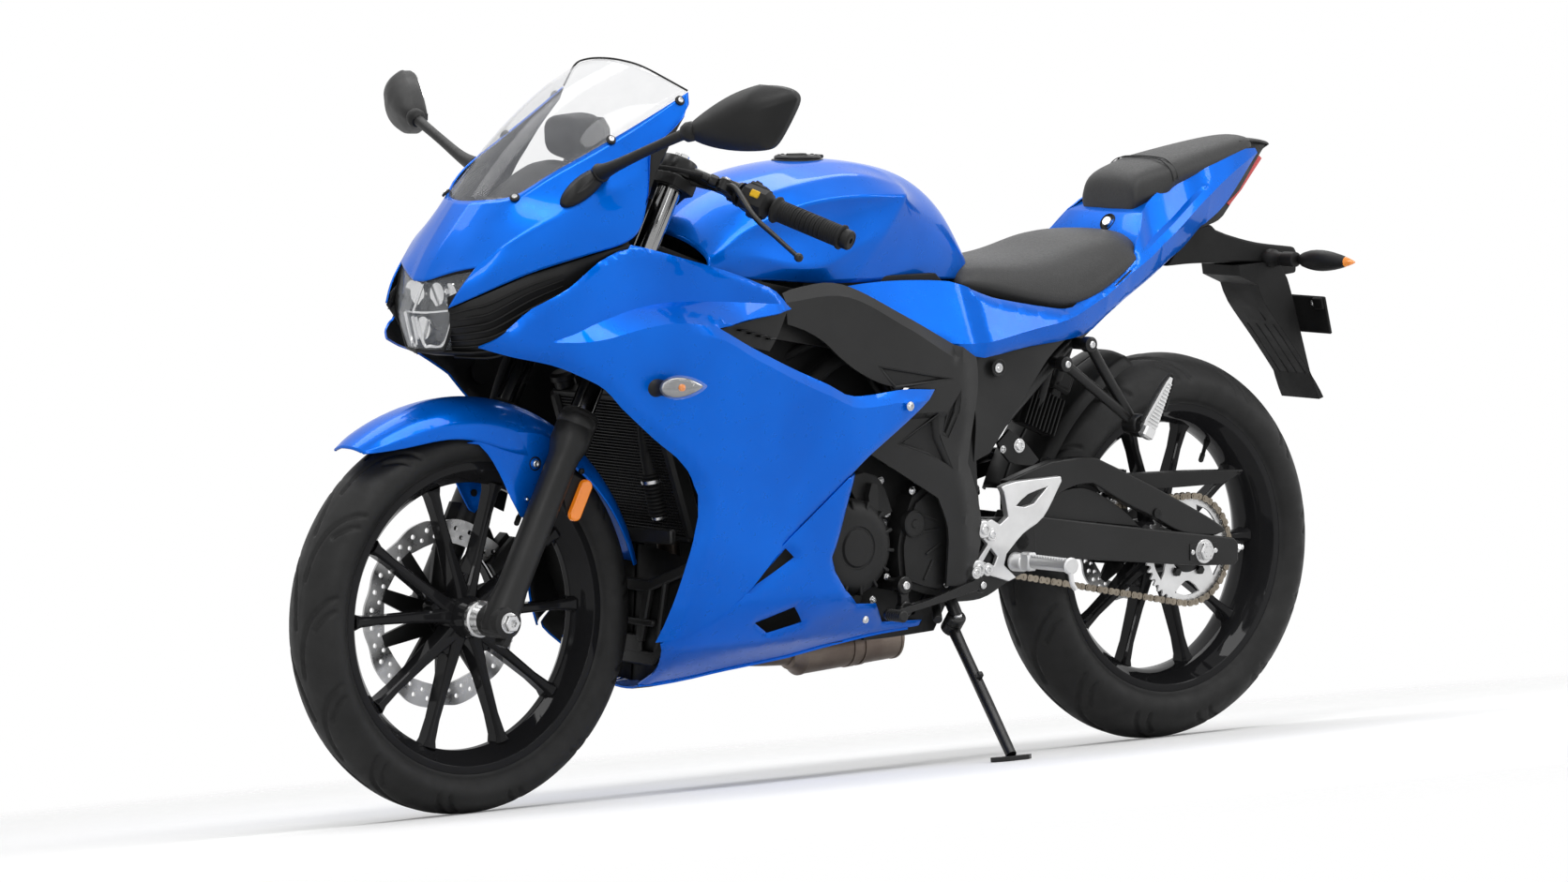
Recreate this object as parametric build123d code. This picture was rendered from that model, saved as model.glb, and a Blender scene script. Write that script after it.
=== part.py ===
"""Sport bike on its side stand, in millimetres.

Bike frame: +X forward, +Y left, +Z up, origin on the ground under the rear
axle with the bike upright.  Every node is modelled in this frame; at the end
the whole bike is leaned onto its side stand and moved so that the origin is
the bottom centre of its bounding box.
"""
import os
from math import sin, cos, acos, radians, degrees, atan2, hypot
from build123d import *

# ---------------------------------------------------------------- dimensions
WHEELBASE = 1360.0
LEAN = 8.0                    # lean to the left on the side stand, degrees
FRONT_R, REAR_R = 290.0, 307.0        # tyre outer radii
FRONT_HALF, REAR_HALF = 54.0, 65.0    # tyre half widths
SEAT_R = 216.0                # bead seat radius of a 17 inch rim
FLANGE_R = 229.0
FRONT_FLANGE, REAR_FLANGE = 36.0, 50.0    # rim flange half widths
RAKE = 27.0                   # steering axis from the vertical, degrees
FORK_OFFSET = 36.0            # fork legs ahead of the steering axis
LEG_Y = 92.0                  # fork leg from the centre plane
TUBE_R, LOWER_R = 18.5, 27.0
STEM_R = 15.0
RUN = 0.05                    # radial clearance of a running fit
AXLE_R = 8.5
STEM_BORE_R, STEM_BORE_LEN = 8.5, 30.0    # hole in the stem top for a mount
CHAIN_Y = 80.0
SPROCKET_R = 85.0             # pitch radius, 42 teeth of 12.7 mm
DRIVE_R = 30.5                # pitch radius, 15 teeth
DRIVE_X, DRIVE_Z = 462.0, 340.0
PIVOT_X, PIVOT_Z = 405.0, 350.0       # swingarm pivot
FRONT_DISC_R, REAR_DISC_R = 140.0, 95.0
STAND_PIVOT = (541.0, 143.0, 230.0)
SHIFT_X, SHIFT_Y = -642.0, -145.0     # bounding box centre to the origin
SHIFT_Z = 0.6                         # lowest tyre point back to the floor

FRONT = Vector(WHEELBASE, 0, FRONT_R)
REAR = Vector(0, 0, REAR_R)
STEER_UP = Vector(-sin(radians(RAKE)), 0, cos(radians(RAKE)))
STEER_FWD = Vector(cos(radians(RAKE)), 0, sin(radians(RAKE)))
STEER_FOOT = FRONT - STEER_FWD * FORK_OFFSET
Y = Vector(0, 1, 0)


# ------------------------------------------------------------------- helpers
def V(x, y, z):
    return Vector(x, y, z)


def steer(s, n=0.0, y=0.0):
    """Point s along the steering axis, n ahead of it, y to the left."""
    return STEER_FOOT + STEER_UP * s + STEER_FWD * n + Y * y


def rod(a, b, r):
    a, b = Vector(*a) if isinstance(a, tuple) else a, Vector(*b) if isinstance(b, tuple) else b
    d = b - a
    return Solid.make_cylinder(r, d.length, Plane(origin=a, z_dir=d))


def pipe(points, r, bend):
    """Round bar bent through the given points."""
    pts = [Vector(*p) if isinstance(p, tuple) else p for p in points]
    path = FilletPolyline(*pts, radius=bend) if len(pts) > 2 else Polyline(*pts)
    return sweep(Plane(origin=pts[0], z_dir=pts[1] - pts[0]) * Circle(r), path=path).solids()[0]


def ring(points):
    return Wire.make_polygon([p if isinstance(p, Vector) else Vector(*p) for p in points], close=True)


def slab(points):
    return Face(ring(points))


def plate(xz, y0, y1):
    """Side view outline pushed across the bike from y0 to y1."""
    return Solid.extrude(slab([(x, y0, z) for x, z in xz]), V(0, y1 - y0, 0))


def both(solid):
    return [solid, solid.mirror(Plane.XZ)]


def plates(xz, y0, y1):
    return both(plate(xz, y0, y1))


def skin(rings):
    """Straight-sided loft through closed polygons with the same corner count."""
    return Solid.make_loft([ring(r) for r in rings], True)


def stations(rows, top_flat=True):
    """Loft over x stations.  Each row is (x, [(y, z), ...]) for the left half,
    top to bottom; the right half is its mirror."""
    out = []
    for x, half in rows:
        left = [(x, y, z) for y, z in half]
        right = [(x, -y, z) for y, z in reversed(half) if y > 0]
        out.append(left + right)
    return skin(out)


def lathe(profile, centre):
    """Turn an (r, y) outline round an axle line through centre."""
    c = centre
    return Solid.revolve(slab([(c.X + r, y, c.Z) for r, y in profile]), 360,
                         Axis(c, (0, 1, 0)))


def disc(centre, r, y0, y1):
    return rod(V(centre.X, y0, centre.Z), V(centre.X, y1, centre.Z), r)


def fuse(first, *rest):
    out = first
    for item in rest:
        out = out + item
    return out


def cut(first, *rest):
    out = first
    for item in rest:
        out = out - item
    return out


def solids(*shapes):
    found = []
    for s in shapes:
        if isinstance(s, (list, tuple, ShapeList)):
            found += solids(*s)
        else:
            found += list(s.solids())
    return found


def polar(centre, r, deg, y=0.0):
    """Point at radius r, deg from forward towards up, in the wheel plane."""
    a = radians(deg)
    return V(centre.X + r * cos(a), y, centre.Z + r * sin(a))


# hinge pin through the bracket; the leg swings from the floor back and up
stand_pivot = V(*STAND_PIVOT)


def world_to_bike(p):
    """Point of the leaned frame (before the shift) back in the bike frame."""
    a = radians(LEAN)
    return V(p.X, p.Y * cos(a) - (p.Z) * sin(a), p.Y * sin(a) + (p.Z) * cos(a))


STAND_FOOT = world_to_bike(V(578, 330, 6 - SHIFT_Z))
down_dir = (STAND_FOOT - stand_pivot).normalized()
back_dir = V(-0.985, 0.12, 0.05).normalized()
STAND_AXIS = down_dir.cross(back_dir).normalized()
STAND_SWING = down_dir.get_angle(back_dir)


NODES = {}


def node(name, *shapes):
    NODES[name] = solids(*shapes)


# ------------------------------------------------------------------- wheels
# name, centre, outer r, half width, flange half width, hub half width
WHEELS = (
    ("front", FRONT, FRONT_R, FRONT_HALF, FRONT_FLANGE, 42.0),
    ("rear", REAR, REAR_R, REAR_HALF, REAR_FLANGE, 58.0),
)
PAIRS, SPOKE_SPREAD = 5, 13.0         # spoke pairs and half angle at the rim


def tyre(c, outer, half, flange):
    lip = flange - 3.5                # inner face of the flange
    shoulder = outer - half + 4.0
    with_arc = [
        Line((c.X + SEAT_R, -lip, c.Z), (c.X + FLANGE_R, -lip, c.Z)),
        Line((c.X + FLANGE_R, -lip, c.Z), (c.X + shoulder, -half, c.Z)),
        ThreePointArc((c.X + shoulder, -half, c.Z), (c.X + outer, 0, c.Z), (c.X + shoulder, half, c.Z)),
        Line((c.X + shoulder, half, c.Z), (c.X + FLANGE_R, lip, c.Z)),
        Line((c.X + FLANGE_R, lip, c.Z), (c.X + SEAT_R, lip, c.Z)),
        Line((c.X + SEAT_R, lip, c.Z), (c.X + SEAT_R, lip - 9, c.Z)),
        Line((c.X + SEAT_R, lip - 9, c.Z), (c.X + shoulder, half - 8, c.Z)),
        ThreePointArc((c.X + shoulder, half - 8, c.Z), (c.X + outer - 9, 0, c.Z), (c.X + shoulder, -half + 8, c.Z)),
        Line((c.X + shoulder, -half + 8, c.Z), (c.X + SEAT_R, -lip + 9, c.Z)),
        Line((c.X + SEAT_R, -lip + 9, c.Z), (c.X + SEAT_R, -lip, c.Z)),
    ]
    face = Face(Wire(with_arc)).rotate(Axis(c, (0, 1, 0)), 90)      # seam above the axle
    return Solid.revolve(face, 360, Axis(c, (0, 1, 0)))


def rim(c, flange, hub_half):
    lip = flange - 3.5
    well = flange - 20
    hoop = lathe([(FLANGE_R, flange), (FLANGE_R, lip), (SEAT_R, lip), (SEAT_R, lip - 10),
                  (SEAT_R - 12, well - 6), (SEAT_R - 12, -well + 6), (SEAT_R, -lip + 10), (SEAT_R, -lip),
                  (FLANGE_R, -lip), (FLANGE_R, -flange), (SEAT_R - 3, -flange), (SEAT_R - 5, -lip + 8),
                  (SEAT_R - 18, -well + 4), (SEAT_R - 18, well - 4), (SEAT_R - 5, lip - 8), (SEAT_R - 3, flange)], c)
    hub = disc(c, 30, -hub_half, hub_half)
    out = fuse(hoop, hub)
    for k in range(PAIRS):
        for side in (-1, 1):
            a0 = 90 + 72 * k + side * 4
            a1 = 90 + 72 * k + side * SPOKE_SPREAD
            root, tip = polar(c, 24, a0), polar(c, SEAT_R - 15, a1)
            d = (tip - root).normalized()
            across = d.cross(Y)
            rows = []
            for p, wide, deep in ((root, 8.0, 15.0), (tip, 6.0, 11.0)):
                rows.append([p + across * wide + Y * deep * 0.6, p + Y * deep, p - across * wide + Y * deep * 0.6,
                             p - across * wide - Y * deep * 0.6, p - Y * deep, p + across * wide - Y * deep * 0.6])
            out = out + skin(rows)
    return out - disc(c, AXLE_R + RUN, -200, 200)


for name, c, outer, half, flange, hub_half in WHEELS:
    node(f"{name}_tyre", tyre(c, outer, half, flange))
    node(f"{name}_rim", rim(c, flange, hub_half))


def brake_disc(c, r_out, r_in, y0, y1, hub_y):
    """Drilled rotor on a spider that bolts to the hub face."""
    rotor = cut(disc(c, r_out, y0, y1), disc(c, r_in, y0 - 1, y1 + 1))
    for k in range(20):
        p = polar(c, (r_out + r_in) / 2 + (8 if k % 2 else -6), 18 * k)
        rotor = rotor - disc(p, 5, y0 - 1, y1 + 1)
    spider = disc(c, 42, y0, y1)
    for k in range(5):
        a = 90 + 72 * k
        p, q = polar(c, 36, a), polar(c, r_in + 6, a)
        d = (q - p).normalized().cross(Y)
        spider = spider + plate([((p + d * 9).X, (p + d * 9).Z), ((q + d * 9).X, (q + d * 9).Z),
                                 ((q - d * 9).X, (q - d * 9).Z), ((p - d * 9).X, (p - d * 9).Z)], y0, y1)
    boss = disc(c, 28, min(y0, hub_y), max(y1, hub_y))
    return cut(fuse(rotor, spider, boss), disc(c, 15, -200, 200))


node("front_disc", brake_disc(FRONT, FRONT_DISC_R, 104, -52, -48, -42))
node("rear_disc", brake_disc(REAR, REAR_DISC_R, 66, -74, -70, -58))

sprocket = cut(disc(REAR, SPROCKET_R - 1.0, 77.5, 82.5), disc(REAR, 34, 70, 90))
for k in range(5):
    sprocket = sprocket - disc(polar(REAR, 57, 54 + 72 * k), 12, 70, 90)
sprocket = sprocket + cut(disc(REAR, 40, 58, 82.5), disc(REAR, 15, 50, 90))
node("rear_sprocket", sprocket)

# --------------------------------------------------------------------- fork
LOWER_TOP, TUBE_TOP = 325.0, 742.0
CLAMP_LOW, CLAMP_HIGH = (452.0, 478.0), (692.0, 712.0)
BAR_Y = (104.0, 350.0)

lowers, tubes = [], []
for side in (1, -1):
    y = side * LEG_Y
    leg = fuse(rod(steer(-22, FORK_OFFSET, y), steer(LOWER_TOP, FORK_OFFSET, y), LOWER_R),
               rod(steer(LOWER_TOP - 22, FORK_OFFSET, y), steer(LOWER_TOP, FORK_OFFSET, y), LOWER_R + 2.5),
               disc(FRONT, 24, side * 66, side * 117))
    leg = leg - rod(steer(140, FORK_OFFSET, y), steer(LOWER_TOP + 1, FORK_OFFSET, y), TUBE_R)
    leg = leg - disc(FRONT, AXLE_R, side * 40, side * 140)
    lowers.append(leg)
    tubes.append(rod(steer(150, FORK_OFFSET, y), steer(TUBE_TOP, FORK_OFFSET, y), TUBE_R))
node("fork_lowers", lowers)
node("fork_tubes", tubes)

# corner n ahead of the axis, y to the left
CLAMP_OUTLINE = ((-32, -26), (6, -120), (62, -120), (66, -66), (34, -34),
                 (34, 34), (66, 66), (62, 120), (6, 120), (-32, 26))
clamps = rod(steer(CLAMP_LOW[0]), steer(CLAMP_HIGH[1]), STEM_R)
for s0, s1 in (CLAMP_LOW, CLAMP_HIGH):
    clamps = clamps + Solid.extrude(slab([steer(s0, n, y) for n, y in CLAMP_OUTLINE]), STEER_UP * (s1 - s0))
clamps = clamps + rod(steer(CLAMP_HIGH[1]), steer(CLAMP_HIGH[1] + 12), 20)
for y in (LEG_Y, -LEG_Y):
    clamps = clamps - rod(steer(400, FORK_OFFSET, y), steer(760, FORK_OFFSET, y), TUBE_R)
clamps = clamps - rod(steer(CLAMP_HIGH[1] + 12 - STEM_BORE_LEN), steer(CLAMP_HIGH[1] + 13), STEM_BORE_R)
node("triple_clamps", clamps)

bar_root = steer(727, FORK_OFFSET, LEG_Y)
BAR_END = V(911, 350, 837)
bar_dir = (BAR_END - bar_root).normalized()
grip_start = BAR_END - bar_dir * 132
ring_clamp = rod(steer(714, FORK_OFFSET, LEG_Y), steer(740, FORK_OFFSET, LEG_Y), TUBE_R + 9)
bar = fuse(ring_clamp, rod(bar_root, BAR_END - bar_dir * 12, 11), rod(grip_start, BAR_END - bar_dir * 12, 16.5),
           rod(BAR_END - bar_dir * 12, BAR_END, 15))
bar = bar - rod(steer(700, FORK_OFFSET, LEG_Y), steer(760, FORK_OFFSET, LEG_Y), TUBE_R)
node("handlebars", both(bar))

box_at = grip_start - bar_dir * 24
control = rod(box_at - bar_dir * 38, grip_start, 24)
lever_root = box_at + STEER_FWD * 22 - bar_dir * 18
lever_tip = V(1003, 340, 817)
control = fuse(control, rod(lever_root - bar_dir * 4, lever_root + STEER_FWD * 12, 9))
lever_bend = (lever_root + lever_tip) * 0.5 + STEER_FWD * 16
control = fuse(control, rod(lever_root + STEER_FWD * 8, lever_bend, 6), rod(lever_bend, lever_tip, 5),
               Solid.make_sphere(7, Plane(lever_tip)), Solid.make_sphere(6, Plane(lever_bend)))
control = cut(control, rod(bar_root, BAR_END, 11))
node("hand_controls", both(control))

fender_profile = [(150, 63.5), (292, 63.5), (312, 44), (318, 20), (318, -20), (312, -44), (292, -63.5),
                  (150, -63.5), (150, -60.5), (290, -60.5), (309, -42), (314, -19), (314, 19), (309, 42),
                  (290, 60.5), (150, 60.5)]
hoop = lathe(fender_profile, FRONT)
FENDER_CUT = ((1566, 552), (1480, 535), (1420, 535), (1360, 500), (1325, 425), (1290, 440), (1235, 500), (1180, 490),
              (1110, 420), (1085, 345), (1020, 345), (1020, 460), (1150, 640), (1600, 700), (1640, 560))
fender = hoop & plate(FENDER_CUT, -80, 80)
bosses = [rod(steer(238, FORK_OFFSET, s * 61), steer(238, FORK_OFFSET, s * 70), 9) for s in (1, -1)]
fender = fuse(fender, *bosses)
node("front_fender", cut(fender, *lowers))

axle = fuse(disc(FRONT, AXLE_R, -122, 122), disc(FRONT, 13, 117, 128), disc(FRONT, 13, -128, -117),
            disc(FRONT, 15, 42.4, 66), disc(FRONT, 15, -66, -52.6 - 1.4))
node("front_axle", cut(axle, *lowers))

# caliper behind the right fork leg, straddling the disc
def sector(c, r0, r1, a0, a1, y0, y1):
    return plate([(p.X, p.Z) for p in (polar(c, r0, a0), polar(c, r1, a0), polar(c, r1, a1), polar(c, r0, a1))], y0, y1)


front_cal = fuse(sector(FRONT, 100, 172, 138, 162, -77, -58), sector(FRONT, 100, 172, 138, 162, -42, -33),
                 sector(FRONT, 147, 172, 138, 162, -77, -33),
                 plate([(steer(s0, n).X, steer(s0, n).Z) for s0, n in ((80, 12), (170, 12), (165, -50), (100, -60))], -84, -70))
node("front_caliper", cut(front_cal, *lowers))

# -------------------------------------------------------------------- frame
HEAD_LOW, HEAD_HIGH = CLAMP_LOW[1] + 5, CLAMP_HIGH[0] - 5
head = rod(steer(HEAD_LOW), steer(HEAD_HIGH), 29)
HEAD_MID = steer((HEAD_LOW + HEAD_HIGH) / 2)
# left spar corners: x, y, z  (inner edge from the head tube to the pivot plate)
spar = []
for y_in, y_out, x, z_top, z_low in ((14, 30, 1068, 838, 735), (96, 122, 930, 775, 690),
                                     (126, 150, 760, 735, 660), (126, 150, 520, 640, 560)):
    spar.append([(x, y_out, z_top), (x, y_out, z_low), (x, y_in, z_low), (x, y_in, z_top)])
spar_l = skin(spar)
PIVOT_PLATE = ((560, 655), (500, 640), (498, 480), (490, 392), (380, 385), (375, 312), (435, 290), (490, 268), (575, 268),
               (600, 470), (620, 560))
pivot_l = plate(PIVOT_PLATE, 126, 150)
down_l = rod((1060, 24, 745), (935, 108, 560), 14)
frame_half = fuse(spar_l, pivot_l, down_l, rod((935, 108, 560), (870, 110, 500), 14))
frame = fuse(head, *both(frame_half), rod((1068, -25, 790), (1068, 25, 790), 22),
             rod((500, -128, 600), (500, 128, 600), 16), rod((PIVOT_X, -150, PIVOT_Z), (PIVOT_X, 150, PIVOT_Z), 14),
             rod((560, -128, 282), (560, 128, 282), 12))
frame = frame - rod(steer(400), steer(760), STEM_R + RUN)
# stays that carry the body panels: root x, y, z, end x, y, z
STAYS = ((905, 100, 735, 905, 260, 735), (665, 135, 655, 684, 225, 586), (560, 126, 275, 616, 200, 238))
for x, y, z, x1, y1, z1 in STAYS:
    for side in (1, -1):
        frame = frame + rod((x, side * y, z), (x1, side * y1, z1), 7)
# nose bracket ahead of the head tube, clear of the fork legs
frame = fuse(frame, rod((1088, 0, 797), (1245, 0, 812), 12), rod((1245, -200, 812), (1245, 200, 812), 8),
             rod((1245, 0, 812), (1330, 0, 760), 9))
# rests for the tank: x, z
for x, y, z in ((900, 112, 720), (600, 80, 650)):
    for side in (1, -1):
        frame = frame + rod((x, side * y, z), (x, side * y, 775), 10)
frame = frame + rod((600, -128, 650), (600, 128, 650), 11)
# side stand hinge: bracket above the leg and the fixed pin
frame = fuse(frame, rod((548, 138, 285), stand_pivot + STAND_AXIS * 23, 10),
             rod(stand_pivot + STAND_AXIS * 9.8, stand_pivot + STAND_AXIS * 24, 15),
             rod(stand_pivot - STAND_AXIS * 14, stand_pivot + STAND_AXIS * 24, 6),
             rod(stand_pivot - STAND_AXIS * 14, stand_pivot - STAND_AXIS * 9.8, 10))

SUBFRAME_PIPES = (
    ((520, 105, 610), (330, 110, 690), (150, 85, 770), (-60, 40, 845)),
    ((470, 126, 500), (300, 114, 635), (170, 95, 715), (110, 82, 772)),
)
sub = []
for pts in SUBFRAME_PIPES:
    sub.append(pipe(pts, 12, 60))
sub_l = fuse(sub[0], sub[1])
subframe = fuse(sub_l, sub_l.mirror(Plane.XZ), rod((-52, -45, 842), (-52, 45, 842), 11),
                rod((330, -112, 690), (330, 112, 690), 11), rod((160, -88, 765), (160, 88, 765), 11))
# finned regulator and relay box on the left side
box = Solid.make_box(72, 26, 62, Plane(origin=V(292, 62, 500), x_dir=(0.85, 0, 0.35), z_dir=(-0.35, 0, 0.85)))
relay = Solid.make_box(44, 26, 44, Plane(origin=V(252, 62, 560), x_dir=(0.85, 0, 0.35), z_dir=(-0.35, 0, 0.85)))
subframe = fuse(subframe, box, relay, rod((318, 80, 535), (318, 114, 620), 8), rod((276, 80, 585), (276, 112, 650), 8))

# ------------------------------------------------------------------- engine
crank = plate(((905, 250), (935, 330), (900, 470), (860, 505), (690, 520), (600, 480), (560, 440), (520, 392),
               (512, 300), (560, 222), (640, 218), (860, 216)), -120, 120)
barrel = plate(((860, 480), (700, 500), (745, 625), (800, 690), (900, 650), (935, 560), (905, 470)), -95, 95)
engine = fuse(crank, barrel)
frame_core = frame
node_frame = cut(frame, engine)
COVERS = (("alternator", 745, 363, 84, 120, 172), ("starter", 640, 400, 58, 120, 160),
          ("drive", 520, 372, 62, 120, 125))
left_cover = fuse(*[disc(V(x, 0, z), r, y0, y1) for _, x, z, r, y0, y1 in COVERS])
right_cover = fuse(disc(V(720, 0, 340), 95, -165, -120), disc(V(600, 0, 330), 70, -150, -120))
covers = cut(fuse(left_cover), node_frame), cut(right_cover, node_frame)
shaft = disc(V(DRIVE_X, 0, DRIVE_Z), 12, 60, 100)
pinion = disc(V(DRIVE_X, 0, DRIVE_Z), DRIVE_R - 3, 77.5, 82.5)
stub = plate(((560, 300), (560, 380), (455, 372), (440, 340), (455, 312)), 56, 68)
engine = fuse(engine, stub, shaft, pinion)
node("engine_block", engine)
node("engine_covers", covers)
node("frame", node_frame)
node("subframe", cut(subframe, node_frame))

# ------------------------------------------------- swingarm, chain and guards
ARM = ((425, 382), (405, 438), (315, 465), (238, 468), (199, 457), (80, 404), (-20, 358), (-72, 328),
       (-75, 282), (20, 287), (164, 301), (400, 322))
ARM_WINDOW = ((345, 388), (295, 419), (228, 426), (159, 390), (90, 352), (164, 360))
arm_l = cut(plate(ARM, 95, 120), plate(ARM_WINDOW, 90, 125))
arm_l = arm_l - disc(V(PIVOT_X, 0, PIVOT_Z), 14, 80, 130)
arm_l = arm_l - disc(REAR, AXLE_R, 80, 130)
swingarm = fuse(*both(arm_l), plate(((380, 305), (384, 330), (384, 362), (346, 364), (340, 300)), -95, 95))
node("swingarm", swingarm)

rear_axle = fuse(disc(REAR, AXLE_R, -132, 132), disc(REAR, 14, 120, 130), disc(REAR, 14, -130, -120),
                 disc(REAR, 15, 83, 95), disc(REAR, 14.5, -95, -74.5))
rear_cal = cut(plate([(p.X, p.Z) for p in (polar(REAR, 66, 60), polar(REAR, 66, 92), polar(REAR, 118, 86), polar(REAR, 118, 64))], -95, -62),
               disc(REAR, REAR_DISC_R + 6, -79.5, -64.5))
node("rear_axle", rear_axle, rear_cal)


def belt(offset, y0, y1):
    """Side view hull of both sprockets, grown by offset."""
    r1, r2 = SPROCKET_R + offset, DRIVE_R + offset
    dx, dz = DRIVE_X - REAR.X, DRIVE_Z - REAR.Z
    gap, heading = hypot(dx, dz), degrees(atan2(dz, dx))
    lean = degrees(acos((r1 - r2) / gap))
    c2 = V(DRIVE_X, 0, DRIVE_Z)
    a, b = polar(REAR, r1, heading + lean, y0), polar(c2, r2, heading + lean, y0)
    c, d = polar(c2, r2, heading - lean, y0), polar(REAR, r1, heading - lean, y0)
    edge = Wire([Line(a, b), ThreePointArc(b, polar(c2, r2, heading, y0), c), Line(c, d),
                 ThreePointArc(d, polar(REAR, r1, heading + 180, y0), a)])
    return Solid.extrude(Face(edge), V(0, y1 - y0, 0))


chain = cut(belt(5.5, 72, 88), belt(-4.5, 71, 89), belt(2.5, 76.8, 83.2))
node("drive_chain", cut(chain, pinion))

CHAIN_GUARD = ((262, 428), (141, 434), (-108, 427), (-62, 408), (82, 406), (250, 412))
guard = plate(CHAIN_GUARD, 70, 95)
hugger = lathe([(316, 69), (330, 56), (337, 20), (337, -20), (330, -56), (316, -69), (313, -66), (326, -53),
                (333, -19), (333, 19), (326, 53), (313, 66)], REAR)
hugger = hugger & plate(((60, 420), (420, 400), (420, 560), (262, 640), (120, 640)), -90, 90)
hug_lugs = both(rod((285, 62, 462), (285, 100, 452), 8))
SHOCK_LOW, SHOCK_HIGH = V(385, 0, 372), V(440, 0, 600)
shock = fuse(rod(SHOCK_LOW, SHOCK_HIGH, 14), rod(SHOCK_LOW + V(10, 0, 40), SHOCK_HIGH - V(12, 0, 48), 26),
             rod((440, -40, 600), (440, 40, 600), 12), rod((440, -30, 600), (500, -30, 600), 8),
             rod((440, 30, 600), (500, 30, 600), 8))
shock = cut(shock, swingarm, node_frame, subframe)
node("rear_shock", shock)
node("rear_guards", guard, cut(fuse(hugger, *hug_lugs), swingarm, shock, engine))

# ------------------------------------------------------- exhaust and cooling
can = rod((740, -10, 186), (520, -10, 200), 34)
header = pipe(((938, 0, 560), (985, 0, 500), (960, -10, 300), (900, -10, 200), (740, -10, 186)), 17, 45)
outlet = pipe(((530, -20, 200), (480, -110, 210), (430, -150, 225)), 15, 30)
muffler = rod((440, -148, 222), (250, -176, 262), 36)
exhaust = fuse(header, can, outlet, muffler)
node("exhaust", cut(exhaust, engine, node_frame))

RADIATOR = ((1000, 395), (1028, 390), (1098, 600), (1070, 612))
radiator = fuse(plate(RADIATOR, -130, 130), rod((1085, 84, 596), (1005, 62, 658), 9), rod((1085, -84, 596), (1005, -62, 658), 9),
                rod((1012, 100, 420), (890, 104, 440), 14), rod((1012, -100, 420), (890, -104, 440), 14))
node("radiator", cut(radiator, node_frame, engine, exhaust))

# --------------------------------------------------------------- tank, seats
TANK = (
    (1000, ((0, 842), (70, 835), (116, 812), (136, 790), (120, 774))),
    (905, ((0, 914), (60, 905), (105, 862), (142, 815), (130, 768))),
    (800, ((0, 936), (70, 926), (125, 890), (150, 840), (135, 760))),
    (690, ((0, 944), (75, 934), (138, 905), (158, 850), (132, 752))),
    (600, ((0, 932), (70, 922), (128, 895), (142, 850), (112, 752))),
    (505, ((0, 893), (55, 880), (95, 850), (105, 815), (90, 752))),
    (440, ((0, 815), (45, 808), (70, 795), (80, 778), (75, 752))),
)
CAP = V(727, 0, 945)                  # top of the filler ring
CAP_R, LID_THICK = 36.0, 8.0
tank = fuse(stations(TANK), rod(CAP - V(0, 0, 40), CAP, CAP_R + 4)) - rod(CAP - V(0, 0, 30), CAP + V(0, 0, 1), 20)
tank = cut(tank, node_frame)
HINGE = CAP + V(-CAP_R - 5, 0, 5)
for y0, y1 in ((10, 15), (-15, -10)):
    tank = fuse(tank, plate(((HINGE.X - 3, CAP.Z - 12), (HINGE.X - 3, HINGE.Z + 3), (HINGE.X + 3, HINGE.Z + 3), (HINGE.X + 3, CAP.Z - 12)), y0, y1))
node("fuel_tank", tank)
lid = fuse(rod(HINGE - V(0, 9.5, 0), HINGE + V(0, 9.5, 0), 3), rod(CAP + V(0, 0, 0.3), CAP + V(0, 0, LID_THICK), CAP_R),
           plate(((HINGE.X - 2, CAP.Z + 2), (HINGE.X - 2, CAP.Z + 7), (CAP.X - 20, CAP.Z + 7), (CAP.X - 20, CAP.Z + 2)), -9, 9))
node("fuel_cap", lid)

RIDER_SEAT = (
    (480, ((0, 782), (60, 778), (98, 762), (104, 742), (96, 728))),
    (372, ((0, 782), (75, 778), (128, 756), (138, 724), (130, 712))),
    (300, ((0, 787), (85, 782), (140, 752), (148, 716), (138, 704))),
    (200, ((0, 812), (90, 806), (130, 780), (136, 740), (128, 728))),
    (140, ((0, 816), (85, 812), (112, 790), (118, 765), (108, 752))),
    (80, ((0, 812), (60, 808), (80, 795), (82, 780), (76, 770))),
)
seat = stations(RIDER_SEAT)
seat = cut(seat, tank, subframe)
node("rider_seat", max(solids(seat), key=lambda s: s.volume))

PILLION = (
    (98, ((0, 905), (44, 901), (58, 888), (61, 860), (56, 839))),
    (40, ((0, 927), (55, 922), (73, 905), (76, 880), (66, 852))),
    (0, ((0, 938), (52, 934), (70, 920), (72, 892), (66, 882))),
    (-100, ((0, 955), (42, 952), (56, 942), (60, 922), (52, 912))),
    (-172, ((0, 953), (28, 951), (38, 946), (42, 936), (36, 930))),
)
pillion = stations(PILLION)
node("pillion_seat", pillion)

TAIL = (
    (800, ((0, 962), (118, 960), (138, 800), (146, 700), (150, 620))),
    (600, ((0, 962), (90, 960), (120, 800), (160, 700), (172, 620))),
    (400, ((0, 962), (95, 960), (135, 800), (168, 700), (176, 620))),
    (260, ((0, 962), (88, 960), (122, 800), (144, 700), (152, 620))),
    (120, ((0, 962), (80, 960), (98, 800), (110, 700), (114, 620))),
    (0, ((0, 962), (74, 960), (86, 800), (90, 700), (92, 620))),
    (-120, ((0, 962), (52, 960), (64, 800), (70, 700), (72, 620))),
    (-245, ((0, 962), (10, 960), (14, 800), (16, 700), (18, 620))),
)
TAIL_OUTLINE = ((788, 749), (712, 757), (633, 759), (542, 754), (504, 741), (465, 727), (383, 710), (320, 702),
                (290, 712), (225, 738), (178, 758), (150, 776), (138, 798), (124, 813), (104, 845), (88, 864),
                (58, 884), (39, 893), (-18, 898), (-93, 925), (-134, 934), (-170, 948), (-240, 943), (-236, 936), (-160, 924), (-57, 834),
                (2, 787), (47, 766), (70, 753), (172, 708), (224, 683), (262, 664), (321, 656), (406, 650),
                (486, 640), (520, 641), (594, 667), (695, 708))


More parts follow.
